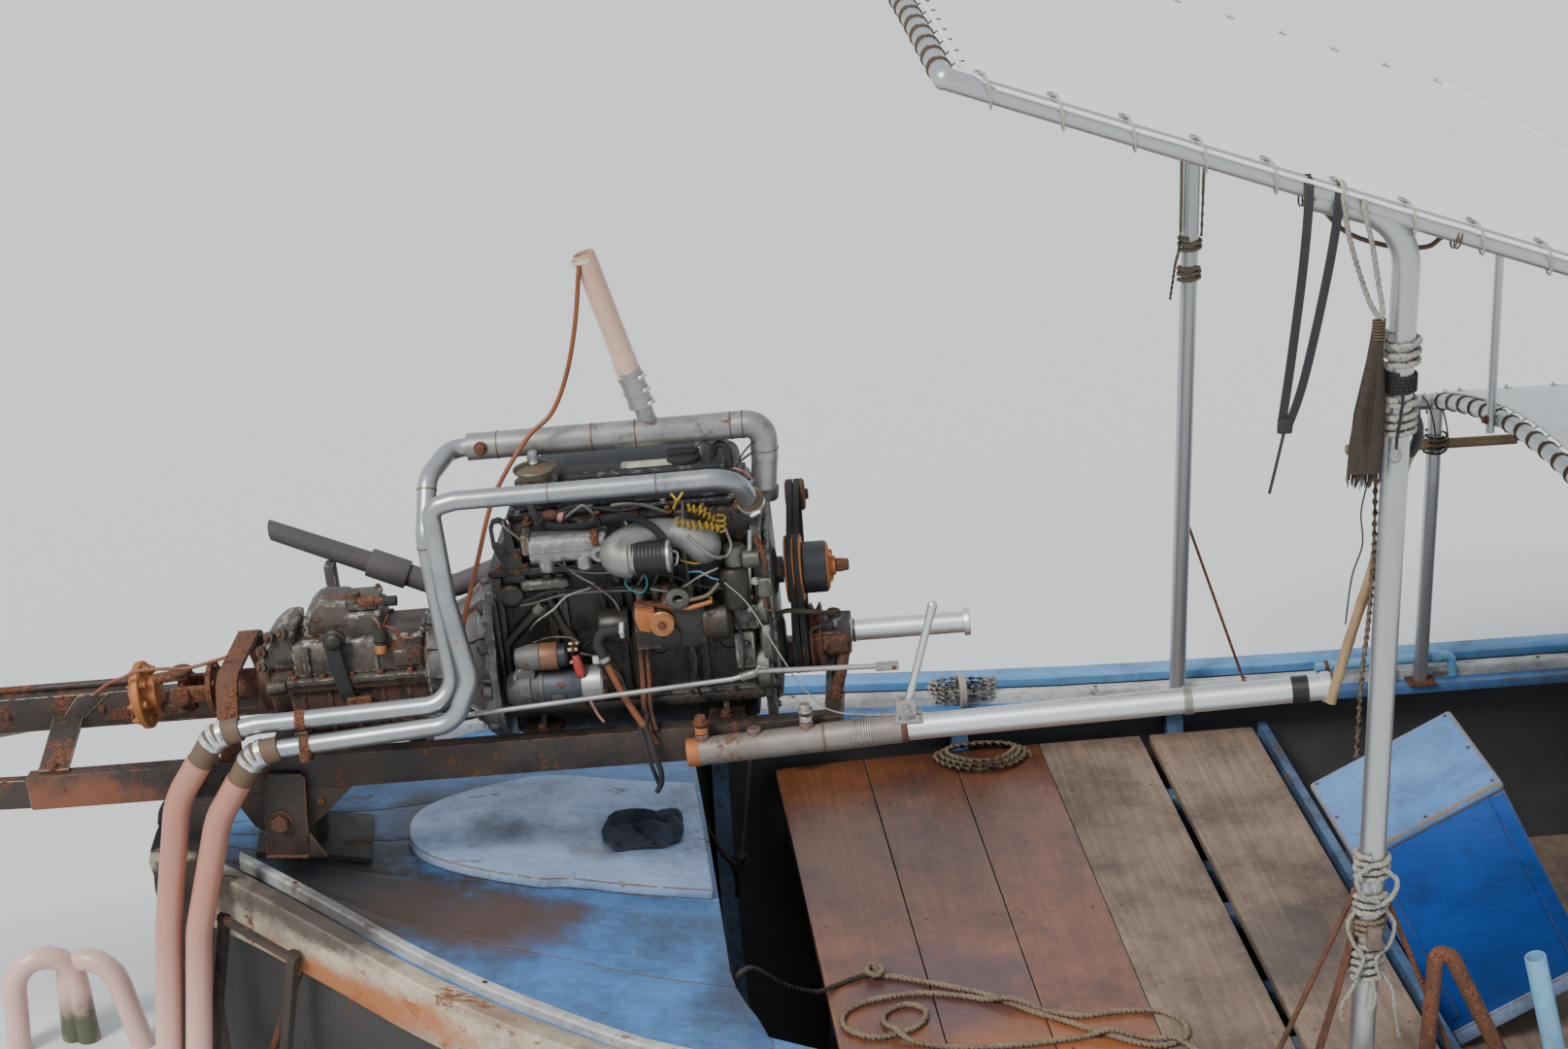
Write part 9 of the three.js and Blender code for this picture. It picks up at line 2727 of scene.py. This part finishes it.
# Plumbing
@dataclass
class Plumbing:
    """Steel cooling pipes, their welds, clamps and sleeves, the riser hose and the exhaust."""

    first: tuple = ((530, -40, 770), (462, -40, 770), (425, -160, 750), (415, -236, 640), (432, -250, 300),
                    (395, -268, 262), (-10, -272, 250), (-105, -272, 232), (-150, -272, 172))
    second: tuple = ((1120, -196, 640), (1096, -285, 742), (500, -292, 742), (445, -292, 730),
                     (452, -296, 520), (478, -300, 330), (430, -300, 228), (20, -300, 200),
                     (-20, -300, 192), (-62, -300, 132))

    def weld(self, part: Part, p: Vector, way: Vector, r: float) -> None:
        """A raised, uneven weld round a pipe."""
        for k in range(14):
            a = TAU * k / 14
            side = way.orthogonal().normalized()
            up = way.cross(side)
            part.ball(p + (side * math.cos(a) + up * math.sin(a)) * r, 3.2, WELD, (1, 1.3, 1))

    def sleeve(self, part: Part, pipe: Sequence[Sequence[float]], look: "Finish") -> None:
        """Rubber sleeve with two bands over the end of a pipe."""
        a, b = Vector(pipe[-2]), Vector(pipe[-1])
        way = (b - a).normalized()
        line = bent([a + (Vector(pipe[-3]) - a).normalized() * 60, a, b + way * 34], 60, 8)
        part.tube(line, 29, look, n=26,
                  radius=lambda t: 1 + 0.04 * math.sin(31 * t) - 0.07 * (t < 0.02 or t > 0.98))
        for k in (2, -3):
            part.band(line[k], line[k + 1] - line[k - 1], 29.5, 13, STAINLESS, STAINLESS, (0.2, -1, 0.3))
        part.band(line[-6], line[-5] - line[-7], 29.5, 13, STAINLESS, STAINLESS, (-0.4, -1, 0.2))

    def header(self) -> None:
        """Header along the top of the engine, its stub, elbow and riser."""
        part = engine_part("coolant_header_welded")
        part.turned([(24, 0), (29, 0), (30, 1), (30, 562), (29, 564), (24, 564), (24, 0)], (502, -40, 770),
                    (1150, -40, 770), SPOTTED_STEEL, 36)
        bend = bent([(1062, -40, 770), (1150, -40, 770), (1146, -38, 690), (1134, -34, 602)], 72, 12)
        part.tube(bend, 30, SPOTTED_STEEL, n=30, radius=lambda t: 1 - 0.1 * max(0, t - 0.6))
        part.turned([(0, 0), (30, 0), (30, 3), (0, 4)], (503, -40, 770), (499, -40, 770), SPOTTED_STEEL, 32)
        for u in (567, 776, 872, 1080, 1106):
            part.turned([(29, -2), (31.5, -1), (31.5, 1), (29, 2), (29, -2)], (u, -40, 770),
                        (u + 1, -40, 770), WELD, 36)
        part.turned([(28, -2), (31.5, -1), (31.5, 1), (28, 2), (28, -2)], (1147.2, -38.5, 712),
                    (1146.9, -38.4, 706), WELD, 36)
        part.turned([(24, 0), (32, 0), (33, 3), (33, 26), (24, 26), (24, 0)], (1134, -34, 596),
                    (1137, -35, 618), TIMING_CAST, 30)
        part.bolt((533, -70, 775), (0, -1, 0.05), 21, BROWN_RUST)
        self.weld(part, Vector((533, -68, 775)), Vector((0, -1, 0)), 13)
        part.tube(bent([(905, -40, 780), (896, -40, 815), (886, -40, 862), (878, -40, 890)], 30, 5), 20,
                  SPOTTED_STEEL, n=24)
        self.weld(part, Vector((904, -40, 799)), Vector((0.2, 0, 1)), 20)
        part.turned([(19, 0), (27, 2), (27, 88), (24, 92), (19, 92), (19, 0)], (892, -40, 830),
                    (870, -40, 922), SPOTTED_STEEL, 30)
        for w in (838, 868, 898):
            t = (w - 830) / 92
            part.band((892 - 22 * t, -40, w), (-22, 0, 92), 27.4, 9, SPOTTED_STEEL, STAINLESS, (1, -0.6, 0))
        part.box((628, -58, 722), (652, -24, 748), SPOTTED_STEEL, 2)
        part.rod((640, -40, 700), (640, -40, 742), 11, SPOTTED_STEEL)
        part.rod((1004, -40, 700), (1004, -40, 745), 10, SPOTTED_STEEL)
        part.done(replaces=["coolant_header"], slot="stainless")
        part = engine_part("coolant_pipe_first")
        line = bent(self.first, 62, 9)
        part.tube(line, 21, PIPE_STEEL, n=28)
        for u, w in ((424, 742), (419, 598)):
            near = min(range(1, len(line) - 1), key=lambda k: (line[k] - Vector((u, -200, w))).length)
            part.band(line[near], line[near + 1] - line[near - 1], 21, 3, WELD)
        near = min(range(1, len(line) - 1), key=lambda k: (line[k] - Vector((89, -272, 255))).length)
        part.box((74, -296, 222), (104, -232, 234), RUSTY_STEEL, 3)
        part.band((89, -271, 252.2), (1, 0, -0.03), 22, 22, BROWN_RUST)
        part.bolt((89, -250, 226), (0, 0, -1), 16, BROWN_RUST)
        self.sleeve(part, self.first, BROWN_SLEEVE)
        part.done(slot="stainless")
        part = engine_part("coolant_pipe_second")
        line = bent(self.second, 70, 9)
        part.tube(line, 21, PIPE_STEEL, n=28)
        part.band((700, -288.7, 742), (1, 0, 0), 21, 3, WELD)
        part.band((930, -286.8, 742), (1, 0, 0), 21, 3, WELD)
        part.turned([(20, 0), (28, 2), (29, 40), (26, 46), (20, 46), (20, 0)], (1123, -188, 634),
                    (1103, -262, 722), BROWN_SLEEVE, 28)
        part.band((1118, -204, 652), (-22, -75, 88), 28, 12, STAINLESS, STAINLESS, (0, -1, 0.4))
        part.box((84, -322, 172), (112, -236, 182), RUSTY_STEEL, 3)
        part.band((98, -300, 204.4), (1, 0, 0.07), 22, 22, BROWN_RUST)
        part.bolt((98, -326, 190), (0, -1, 0), 18, BROWN_RUST)
        self.sleeve(part, self.second, BROWN_SLEEVE)
        part.done(replaces=["coolant_pipe_2"], slot="stainless")

    def riser(self) -> None:
        """Open hose on the riser and the thin brown overflow tube that hangs from it."""
        part = engine_part("riser_hose_milky")
        line = flowing([(873, -40, 905), (860, -40, 965), (850, -40, 1005), (830, -41, 1088),
                        (806, -40, 1185)], 8)
        rows = []
        for k, p in enumerate(line):
            q = line[min(k + 1, len(line) - 1)]
            o = line[max(k - 1, 0)]
            way = (q - o).normalized()
            side = Vector((0, 1, 0))
            up = way.cross(side).normalized()
            r = 26.5 if k < 6 else 25
            rows.append([p + (side * math.cos(TAU * j / 28) + up * math.sin(TAU * j / 28)) * r
                         for j in range(28)])
        part.skin(rows, RISER_HOSE, closed=True, wall=4)
        part.done(replaces=["riser_hose"], slot="clear_hose", sharp=50)
        part = engine_part("overflow_tube")
        thin = flowing([(797, -62, 1165), (774, -74, 1040), (742, -80, 930), (700, -86, 848),
                        (640, -110, 800), (560, -150, 690), (512, -190, 560), (470, -214, 440),
                        (448, -222, 360)], 8)
        part.tube(thin, 5.4, ORANGE_BROWN, n=12)
        tube = part.done()
        part = engine_part("overflow_clip")
        part.band((806, -40, 1172), (-0.26, 0, 1), 25.4, 8, STAINLESS, STAINLESS, (-1, -0.4, 0))
        part.done()

    def exhaust(self) -> None:
        """Grey exhaust with its stepped sleeve, cut open at the end."""
        part = engine_part("exhaust_pipe_sooty")
        line = bent([(640, 176, 420), (560, 215, 400), (360, 230, 330), (-30, 245, 505)], 90, 9)
        rows = []
        for k, p in enumerate(line):
            way = (line[min(k + 1, len(line) - 1)] - line[max(k - 1, 0)]).normalized()
            side = way.orthogonal().normalized() if not k else (side - way * side.dot(way)).normalized()
            up = way.cross(side)
            rows.append([p + (side * math.cos(TAU * j / 28) + up * math.sin(TAU * j / 28)) * 27
                         for j in range(28)])
        tail = rows[-1]
        rows[-1] = [p + Vector((-14 * (p.z - 505) / 27 - 6, 0, 0)) for p in tail]
        part.skin(rows, EXHAUST_GREY, closed=True, wall=3)
        way = Vector((-390, 15, 175)).normalized()
        part.turned([(26, 0), (33, 1), (34, 5), (34, 92), (32, 96), (26, 97), (26, 0)],
                    Vector((270, 233, 370)), Vector((270, 233, 370)) + way, EXHAUST_GREY, 32)
        part.turned([(20, 0), (46, 0), (48, 3), (48, 14), (46, 16), (20, 16), (20, 0)], (640, 176, 420),
                    (560, 215, 400), EXHAUST_GREY, 32)
        for p in ((560, 226, 446), (566, 214, 356)):
            part.bolt(p, (-0.8, 0.4, 0), 15, BROWN_RUST)
        part.box((80, 205, 330), (104, 245, 420), EXHAUST_GREY, 3)
        part.done(replaces=["exhaust_pipe"], slot="rust")

    def build(self) -> None:
        """Builds the plumbing."""
        self.header()
        self.riser()
        self.exhaust()


# Helm gear
@dataclass
class HelmGear:
    """Tiller, front bar, gear lever and the rods and wires between them."""

    tiller_v: float = -262.0

    def tiller(self) -> None:
        """Stepped tiller: grey sleeve, welded nuts, bright tube, tape, wire wraps and open end."""
        part = engine_part("tiller_tube")
        v = self.tiller_v
        a, b, c = Vector((925, v, 98)), Vector((1400, v, 118)), Vector((2330, v, 140.3))
        part.turned([(24, 0), (30, 0), (31, 1), (31, 300), (24, 300), (24, 0)], a, b, SLEEVE_STEEL, 36)
        part.turned([(24, 304), (31, 304), (31.5, 306), (31.5, 474), (30, 476), (24, 476), (24, 304)], a, b,
                    SLEEVE_STEEL, 36)
        part.turned([(30, -1), (31.8, 0), (31.8, 26), (30, 30), (30, -1)], a, b, ORANGE_RUST, 36)
        part.turned([(30, 298), (33, 300), (33, 304), (30, 306), (30, 298)], a, b, WELD, 36)
        part.turned([(27, 470), (32, 472), (32.5, 480), (29, 486), (27, 486), (27, 470)], a, b, BROWN_RUST,
                    36)
        part.turned([(23, 0), (28, 0), (28, 918), (23, 918), (23, 0)], b, c, STAINLESS, 40)
        part.turned([(22, 905), (31, 906), (33, 909), (33, 924), (31, 927), (22, 927), (22, 905)], b, c,
                    STAINLESS, 40)
        part.turned([(28, 842), (29.8, 843), (29.8, 878), (28, 879), (28, 842)], b, c, BLACK_TAPE, 36)
        for u in (960, 1075, 1190):
            w = 98 + (u - 925) * 20 / 475
            part.rod((u, v, w + 26), (u, v, w + 42), 17, WELD, n=6, bevel=1.5)
            if u != 1075:
                part.rod((u, v, w + 38), (u, v, w + 74), 8, BROWN_RUST, n=14)
                part.rod((u, v, w + 44), (u, v, w + 58), 16, (ORANGE_RUST if u < 1000 else SPOTTED_STEEL),
                         n=6, bevel=1.5)
                part.bolt((u, v, w + 70), (0, 0, 1), 24, (BROWN_RUST if u < 1000 else SPOTTED_STEEL))
        for u in (1290, 1312, 2010):
            w = 118 + (u - 1400) * 0.024
            r = 29 if u > 1400 else 31
            for k in range(4):
                part.turned([(r, 0), (r + 2.5, 1), (r + 2.5, 3), (r, 4), (r, 0)], (u + 5 * k, v, w),
                            (u + 5 * k + 1, v, w + 0.03), WIRE_STEEL, 28)
        part.box((936, v + 24, 70), (1010, v + 34, 116), RUSTY_STEEL, 2)
        part.box((1150, v + 24, 74), (1216, v + 34, 118), RUSTY_STEEL, 2)
        part.done(replaces=["tiller"], slot="stainless")

    def front_bar(self) -> None:
        """Bright towing bar ahead of the engine, on its dark box and two legs."""
        part = engine_part("front_bar_flanged")
        part.turned([(19, 0), (24, 0), (24, 258), (30, 260), (31, 262), (31, 272), (29, 274), (19, 274),
                     (19, 0)], (1290, 0, 244), (1564, 0, 244), STAINLESS, 40)
        part.box((1206, -60, 214), (1296, 60, 270), RUSTY_STEEL, 4)
        part.box((1218, -66, 222), (1288, -58, 262), BROWN_RUST, 2)
        for s in (-1, 1):
            part.tube(bent([(1278, s * 46, 214), (1268, s * 46, 170), (1250, s * 46, 112)], 30, 5), 13,
                      LEG_BROWN, n=20)
        part.turned([(0, 0), (20, 0), (20, 3), (0, 3)], (1250, -46, 109.5), (1250, -46, 114), BROWN_RUST,
                    20)
        part.bolt((1236, -64, 240), (0, -1, 0), 15, BROWN_RUST)
        part.rod((1262, -30, 268), (1262, -30, 300), 7, SPOTTED_STEEL, n=14)
        part.bolt((1262, -30, 292), (0, 0, 1), 20, SPOTTED_STEEL)
        part.turned([(24, 0), (27, 1), (27, 5), (24, 6), (24, 0)], (1299, 0, 244), (1305, 0, 244), WELD, 36)
        part.done(replaces=["front_bar"], slot="stainless")

    def lever(self) -> None:
        """Chromed gear lever on its clevis and the shift rod with its clevis and wire knot."""
        part = engine_part("gear_lever_chromed")
        low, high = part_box("gear_lever")
        v = (ENGINE_SPACE.inverted() @ ((low + high) / 2)).y
        part.tube([(1412, v, 170), (1436, v, 244), (1470, v, 352), (1486, v, 402)], 8.5, STAINLESS, n=20,
                  radius=lambda t: 1 + 0.25 * (t > 0.92) + 0.1 * (t < 0.1))
        part.ball((1486, v, 403), 11, STAINLESS)
        part.box((1388, v - 16, 146), (1432, v - 10, 190), SPOTTED_STEEL, 2)
        part.box((1388, v + 10, 146), (1432, v + 16, 190), SPOTTED_STEEL, 2)
        part.rod((1412, v - 24, 170), (1412, v + 24, 170), 6, BROWN_RUST, n=16)
        part.bolt((1412, v - 20, 170), (0, -1, 0), 14, SPOTTED_STEEL)
        part.box((1380, v - 26, 138), (1444, v + 26, 148), SPOTTED_STEEL, 2)
        for u in (1390, 1434):
            part.bolt((u, v - 18, 148), (0, 0, 1), 9, SPOTTED_STEEL)
        part.done(replaces=["gear_lever"], slot="stainless", sharp=40)
        part = engine_part("shift_rod_bent")
        line = bent([(165, -152, 214), (430, -252, 224), (1040, -252, 262), (1100, -252, 276),
                     (1395, -246, 262)], 30, 5)
        part.tube(line, 6, SPOTTED_STEEL, n=14)
        part.box((1352, -256, 254), (1402, -236, 270), SPOTTED_STEEL, 3)
        part.rod((1392, -262, 262), (1392, -230, 262), 4.5, BROWN_RUST, n=14)
        part.box((148, -158, 206), (182, -146, 222), SPOTTED_STEEL, 2)
        part.tube(wound((1058, -252, 265), (1092, -252, 273), 8.4, 6), 2.0, WIRE_STEEL, n=7)
        part.tube(flowing([(1088, -260, 276), (1100, -262, 292), (1114, -260, 286), (1120, -262, 300)], 5),
                  1.8, WIRE_STEEL, n=7)
        part.done(replaces=["shift_rod"], slot="stainless")

    def throttle(self) -> None:
        """Throttle wire from the pump to its wrap on the tiller."""
        line = flowing([(1042, -204, 470), (1090, -222, 420), (1150, -240, 300), (1200, -250, 214),
                        (1290, -256, 158), (1600, -264, 150), (2008, -268, 163)], 8)
        part = engine_part("throttle_wire")
        part.tube(line, 1.6, WIRE_STEEL, n=8)
        wire = part.done()

    def tie(self) -> None:
        """Short grey rope tied from the engine's front to the bolt on the bar's box."""
        part = engine_part("bracket_rope")
        line = flowing([(1124, -98, 330), (1140, -104, 341), (1163, -101, 348), (1193, -96, 342),
                        (1230, -82, 330), (1254, -50, 312), (1262, -38, 303)], 8)
        part.tube(line, 6, DARK_ROPE, n=14, strands=3)
        part.tube(wound((1262, -30, 296), (1262, -30, 312), 12, 2.4), 4.5, DARK_ROPE, n=10)
        part.tube(flowing([(1262, -42, 300), (1240, -58, 290), (1216, -66, 286), (1205, -67, 272)], 6), 4.5,
                  DARK_ROPE, n=10)
        part.done(slot="rubber", sharp=60)

    def build(self) -> None:
        """Builds the helm's controls."""
        self.tie()
        self.tiller()
        self.front_bar()
        self.lever()
        self.throttle()


@dataclass
class Stage:
    """The camera, the lights and the floor."""

    focal_pixels: float = 3000
    photo_width: float = 1615
    sensor: float = 36.0
    eye: tuple = (-4.135, -6.126, 3.912)
    right: tuple = (0.99428, -0.10402, -0.02401)
    up: tuple = (0.06078, 0.36673, 0.92835)
    sky: tuple = (0.86, 0.93, 1.0, 1.0)
    sky_strength: float = 0.92
    sun_strength: float = 3.1
    sun_tint: tuple = (1.0, 0.97, 0.92)
    sun_spread: float = 18
    sun_turn: tuple = (38, -24, -20)
    paint: tuple = (0.66, 0.67, 0.67, 1)
    floor_reach: float = 60

    def camera(self) -> None:
        """Places the camera at the photograph's point of view."""
        data = bpy.data.cameras.new("camera")
        data.sensor_width, data.lens = self.sensor, self.focal_pixels * self.sensor / self.photo_width
        data.clip_start, data.clip_end = 0.05, 200
        cam = bpy.data.objects.new("camera", data)
        bpy.context.scene.collection.objects.link(cam)
        right, up = Vector(self.right), Vector(self.up)
        back = right.cross(up)
        turn = Matrix((right, up, back)).transposed().to_4x4()
        cam.matrix_world = Matrix.Translation(self.eye) @ turn
        bpy.context.scene.camera = cam

    def light(self) -> None:
        """A pale sky and one broad, high sun through thin cloud."""
        world = bpy.data.worlds.new("sky")
        bpy.context.scene.world = world
        world.use_nodes = True
        background = world.node_tree.nodes["Background"]
        background.inputs[0].default_value = self.sky
        background.inputs[1].default_value = self.sky_strength
        sun = bpy.data.lights.new("sun", "SUN")
        sun.energy, sun.angle, sun.color = self.sun_strength, math.radians(self.sun_spread), self.sun_tint
        lamp = bpy.data.objects.new("sun", sun)
        lamp.rotation_euler = [math.radians(turn) for turn in self.sun_turn]
        bpy.context.scene.collection.objects.link(lamp)

    def floor(self) -> None:
        """A pale floor at the waterline."""
        bm = bmesh.new()
        xs = [x for x in stretch(-4950, 4500, 90) if FORM.at(x)[2] < -12]
        side = [Vector((x, FORM.half_at(x, 0, 0), 0)) for x in xs]
        rim = side + [Vector((p.x, -p.y, 0)) for p in reversed(side)]
        loops = [[bm.verts.new(p * MM) for p in rim],
                 [bm.verts.new(p.normalized() * self.floor_reach) for p in rim]]
        edges = [bm.edges.new(pair) for loop in loops for pair in zip(loop, loop[1:] + loop[:1])]
        bmesh.ops.bridge_loops(bm, edges=edges)
        bmesh.ops.recalc_face_normals(bm, faces=bm.faces)
        mesh = bpy.data.meshes.new("floor")
        bm.to_mesh(mesh)
        bm.free()
        floor = bpy.data.objects.new("floor", mesh)
        paint = bpy.data.materials.new("floor_paint")
        paint.use_nodes = True
        shader = paint.node_tree.nodes["Principled BSDF"]
        shader.inputs["Base Color"].default_value = self.paint
        shader.inputs["Roughness"].default_value = 0.9
        mesh.materials.append(paint)
        bpy.context.scene.collection.objects.link(floor)


SEA_HOSES: dict[str, SeaHose] = {
    "sea_hose_1": SeaHose("sea_hose_first", Plumbing.first, (-5055, -300),
                          ((-5312, 418, -110), (-5336, 412, 252), (-5476, 392, 250), (-5496, 384, -150))),
    "sea_hose_2": SeaHose("sea_hose_second", Plumbing.second, (-4985, -330),
                          ((-5150, 362, -120), (-5236, 388, 232), (-5352, 426, 236), (-5362, 430, -150))),
}


def dress_nodes() -> None:
    """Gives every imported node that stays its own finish."""
    for name, finish in CAD_FINISH.items():
        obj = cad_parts[name]
        for slot in obj.material_slots:
            slot.material = finish.material()


def build() -> None:
    """Builds the boat, piece by piece."""
    stage = Stage()
    stage.camera()
    stage.light()
    stage.floor()
    dress_nodes()
    Hull().build()
    helm = HelmCanopy("helm_canopy", HELM_AFT, HELM_FORE, HELM_TOP, HELM_FALL, HELM_RISE, lap=-34,
                      corner=60)
    helm.frame_pipes()
    helm.cloth("helm_tarp", ["helm_canopy_pipes"])
    helm.bow_ties(HELM_AFT, 72, BROWN_CORD)
    roof = PassengerCanopy("passenger_canopy", -1720, 2450, 1310, 0, 165, lap=-26)
    roof.frame_pipes()
    roof.cloth("passenger_tarp", ["passenger_canopy_pipes", "passenger_canopy_bows"])
    roof.bow_ties(-1720, 85, BROWN_CORD)
    for assembly in (Rigging, DeckGear, EngineBed, Pivot, Gearbox, BellHousing, EngineBlock, Pulleys,
                     Generator, Tail, Plumbing, HelmGear):
        assembly().build()
    for node, hose in SEA_HOSES.items():
        hose.build(node)
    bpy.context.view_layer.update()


if __name__ == "__main__":
    logging.basicConfig(level=logging.INFO, format="%(message)s")
    build()
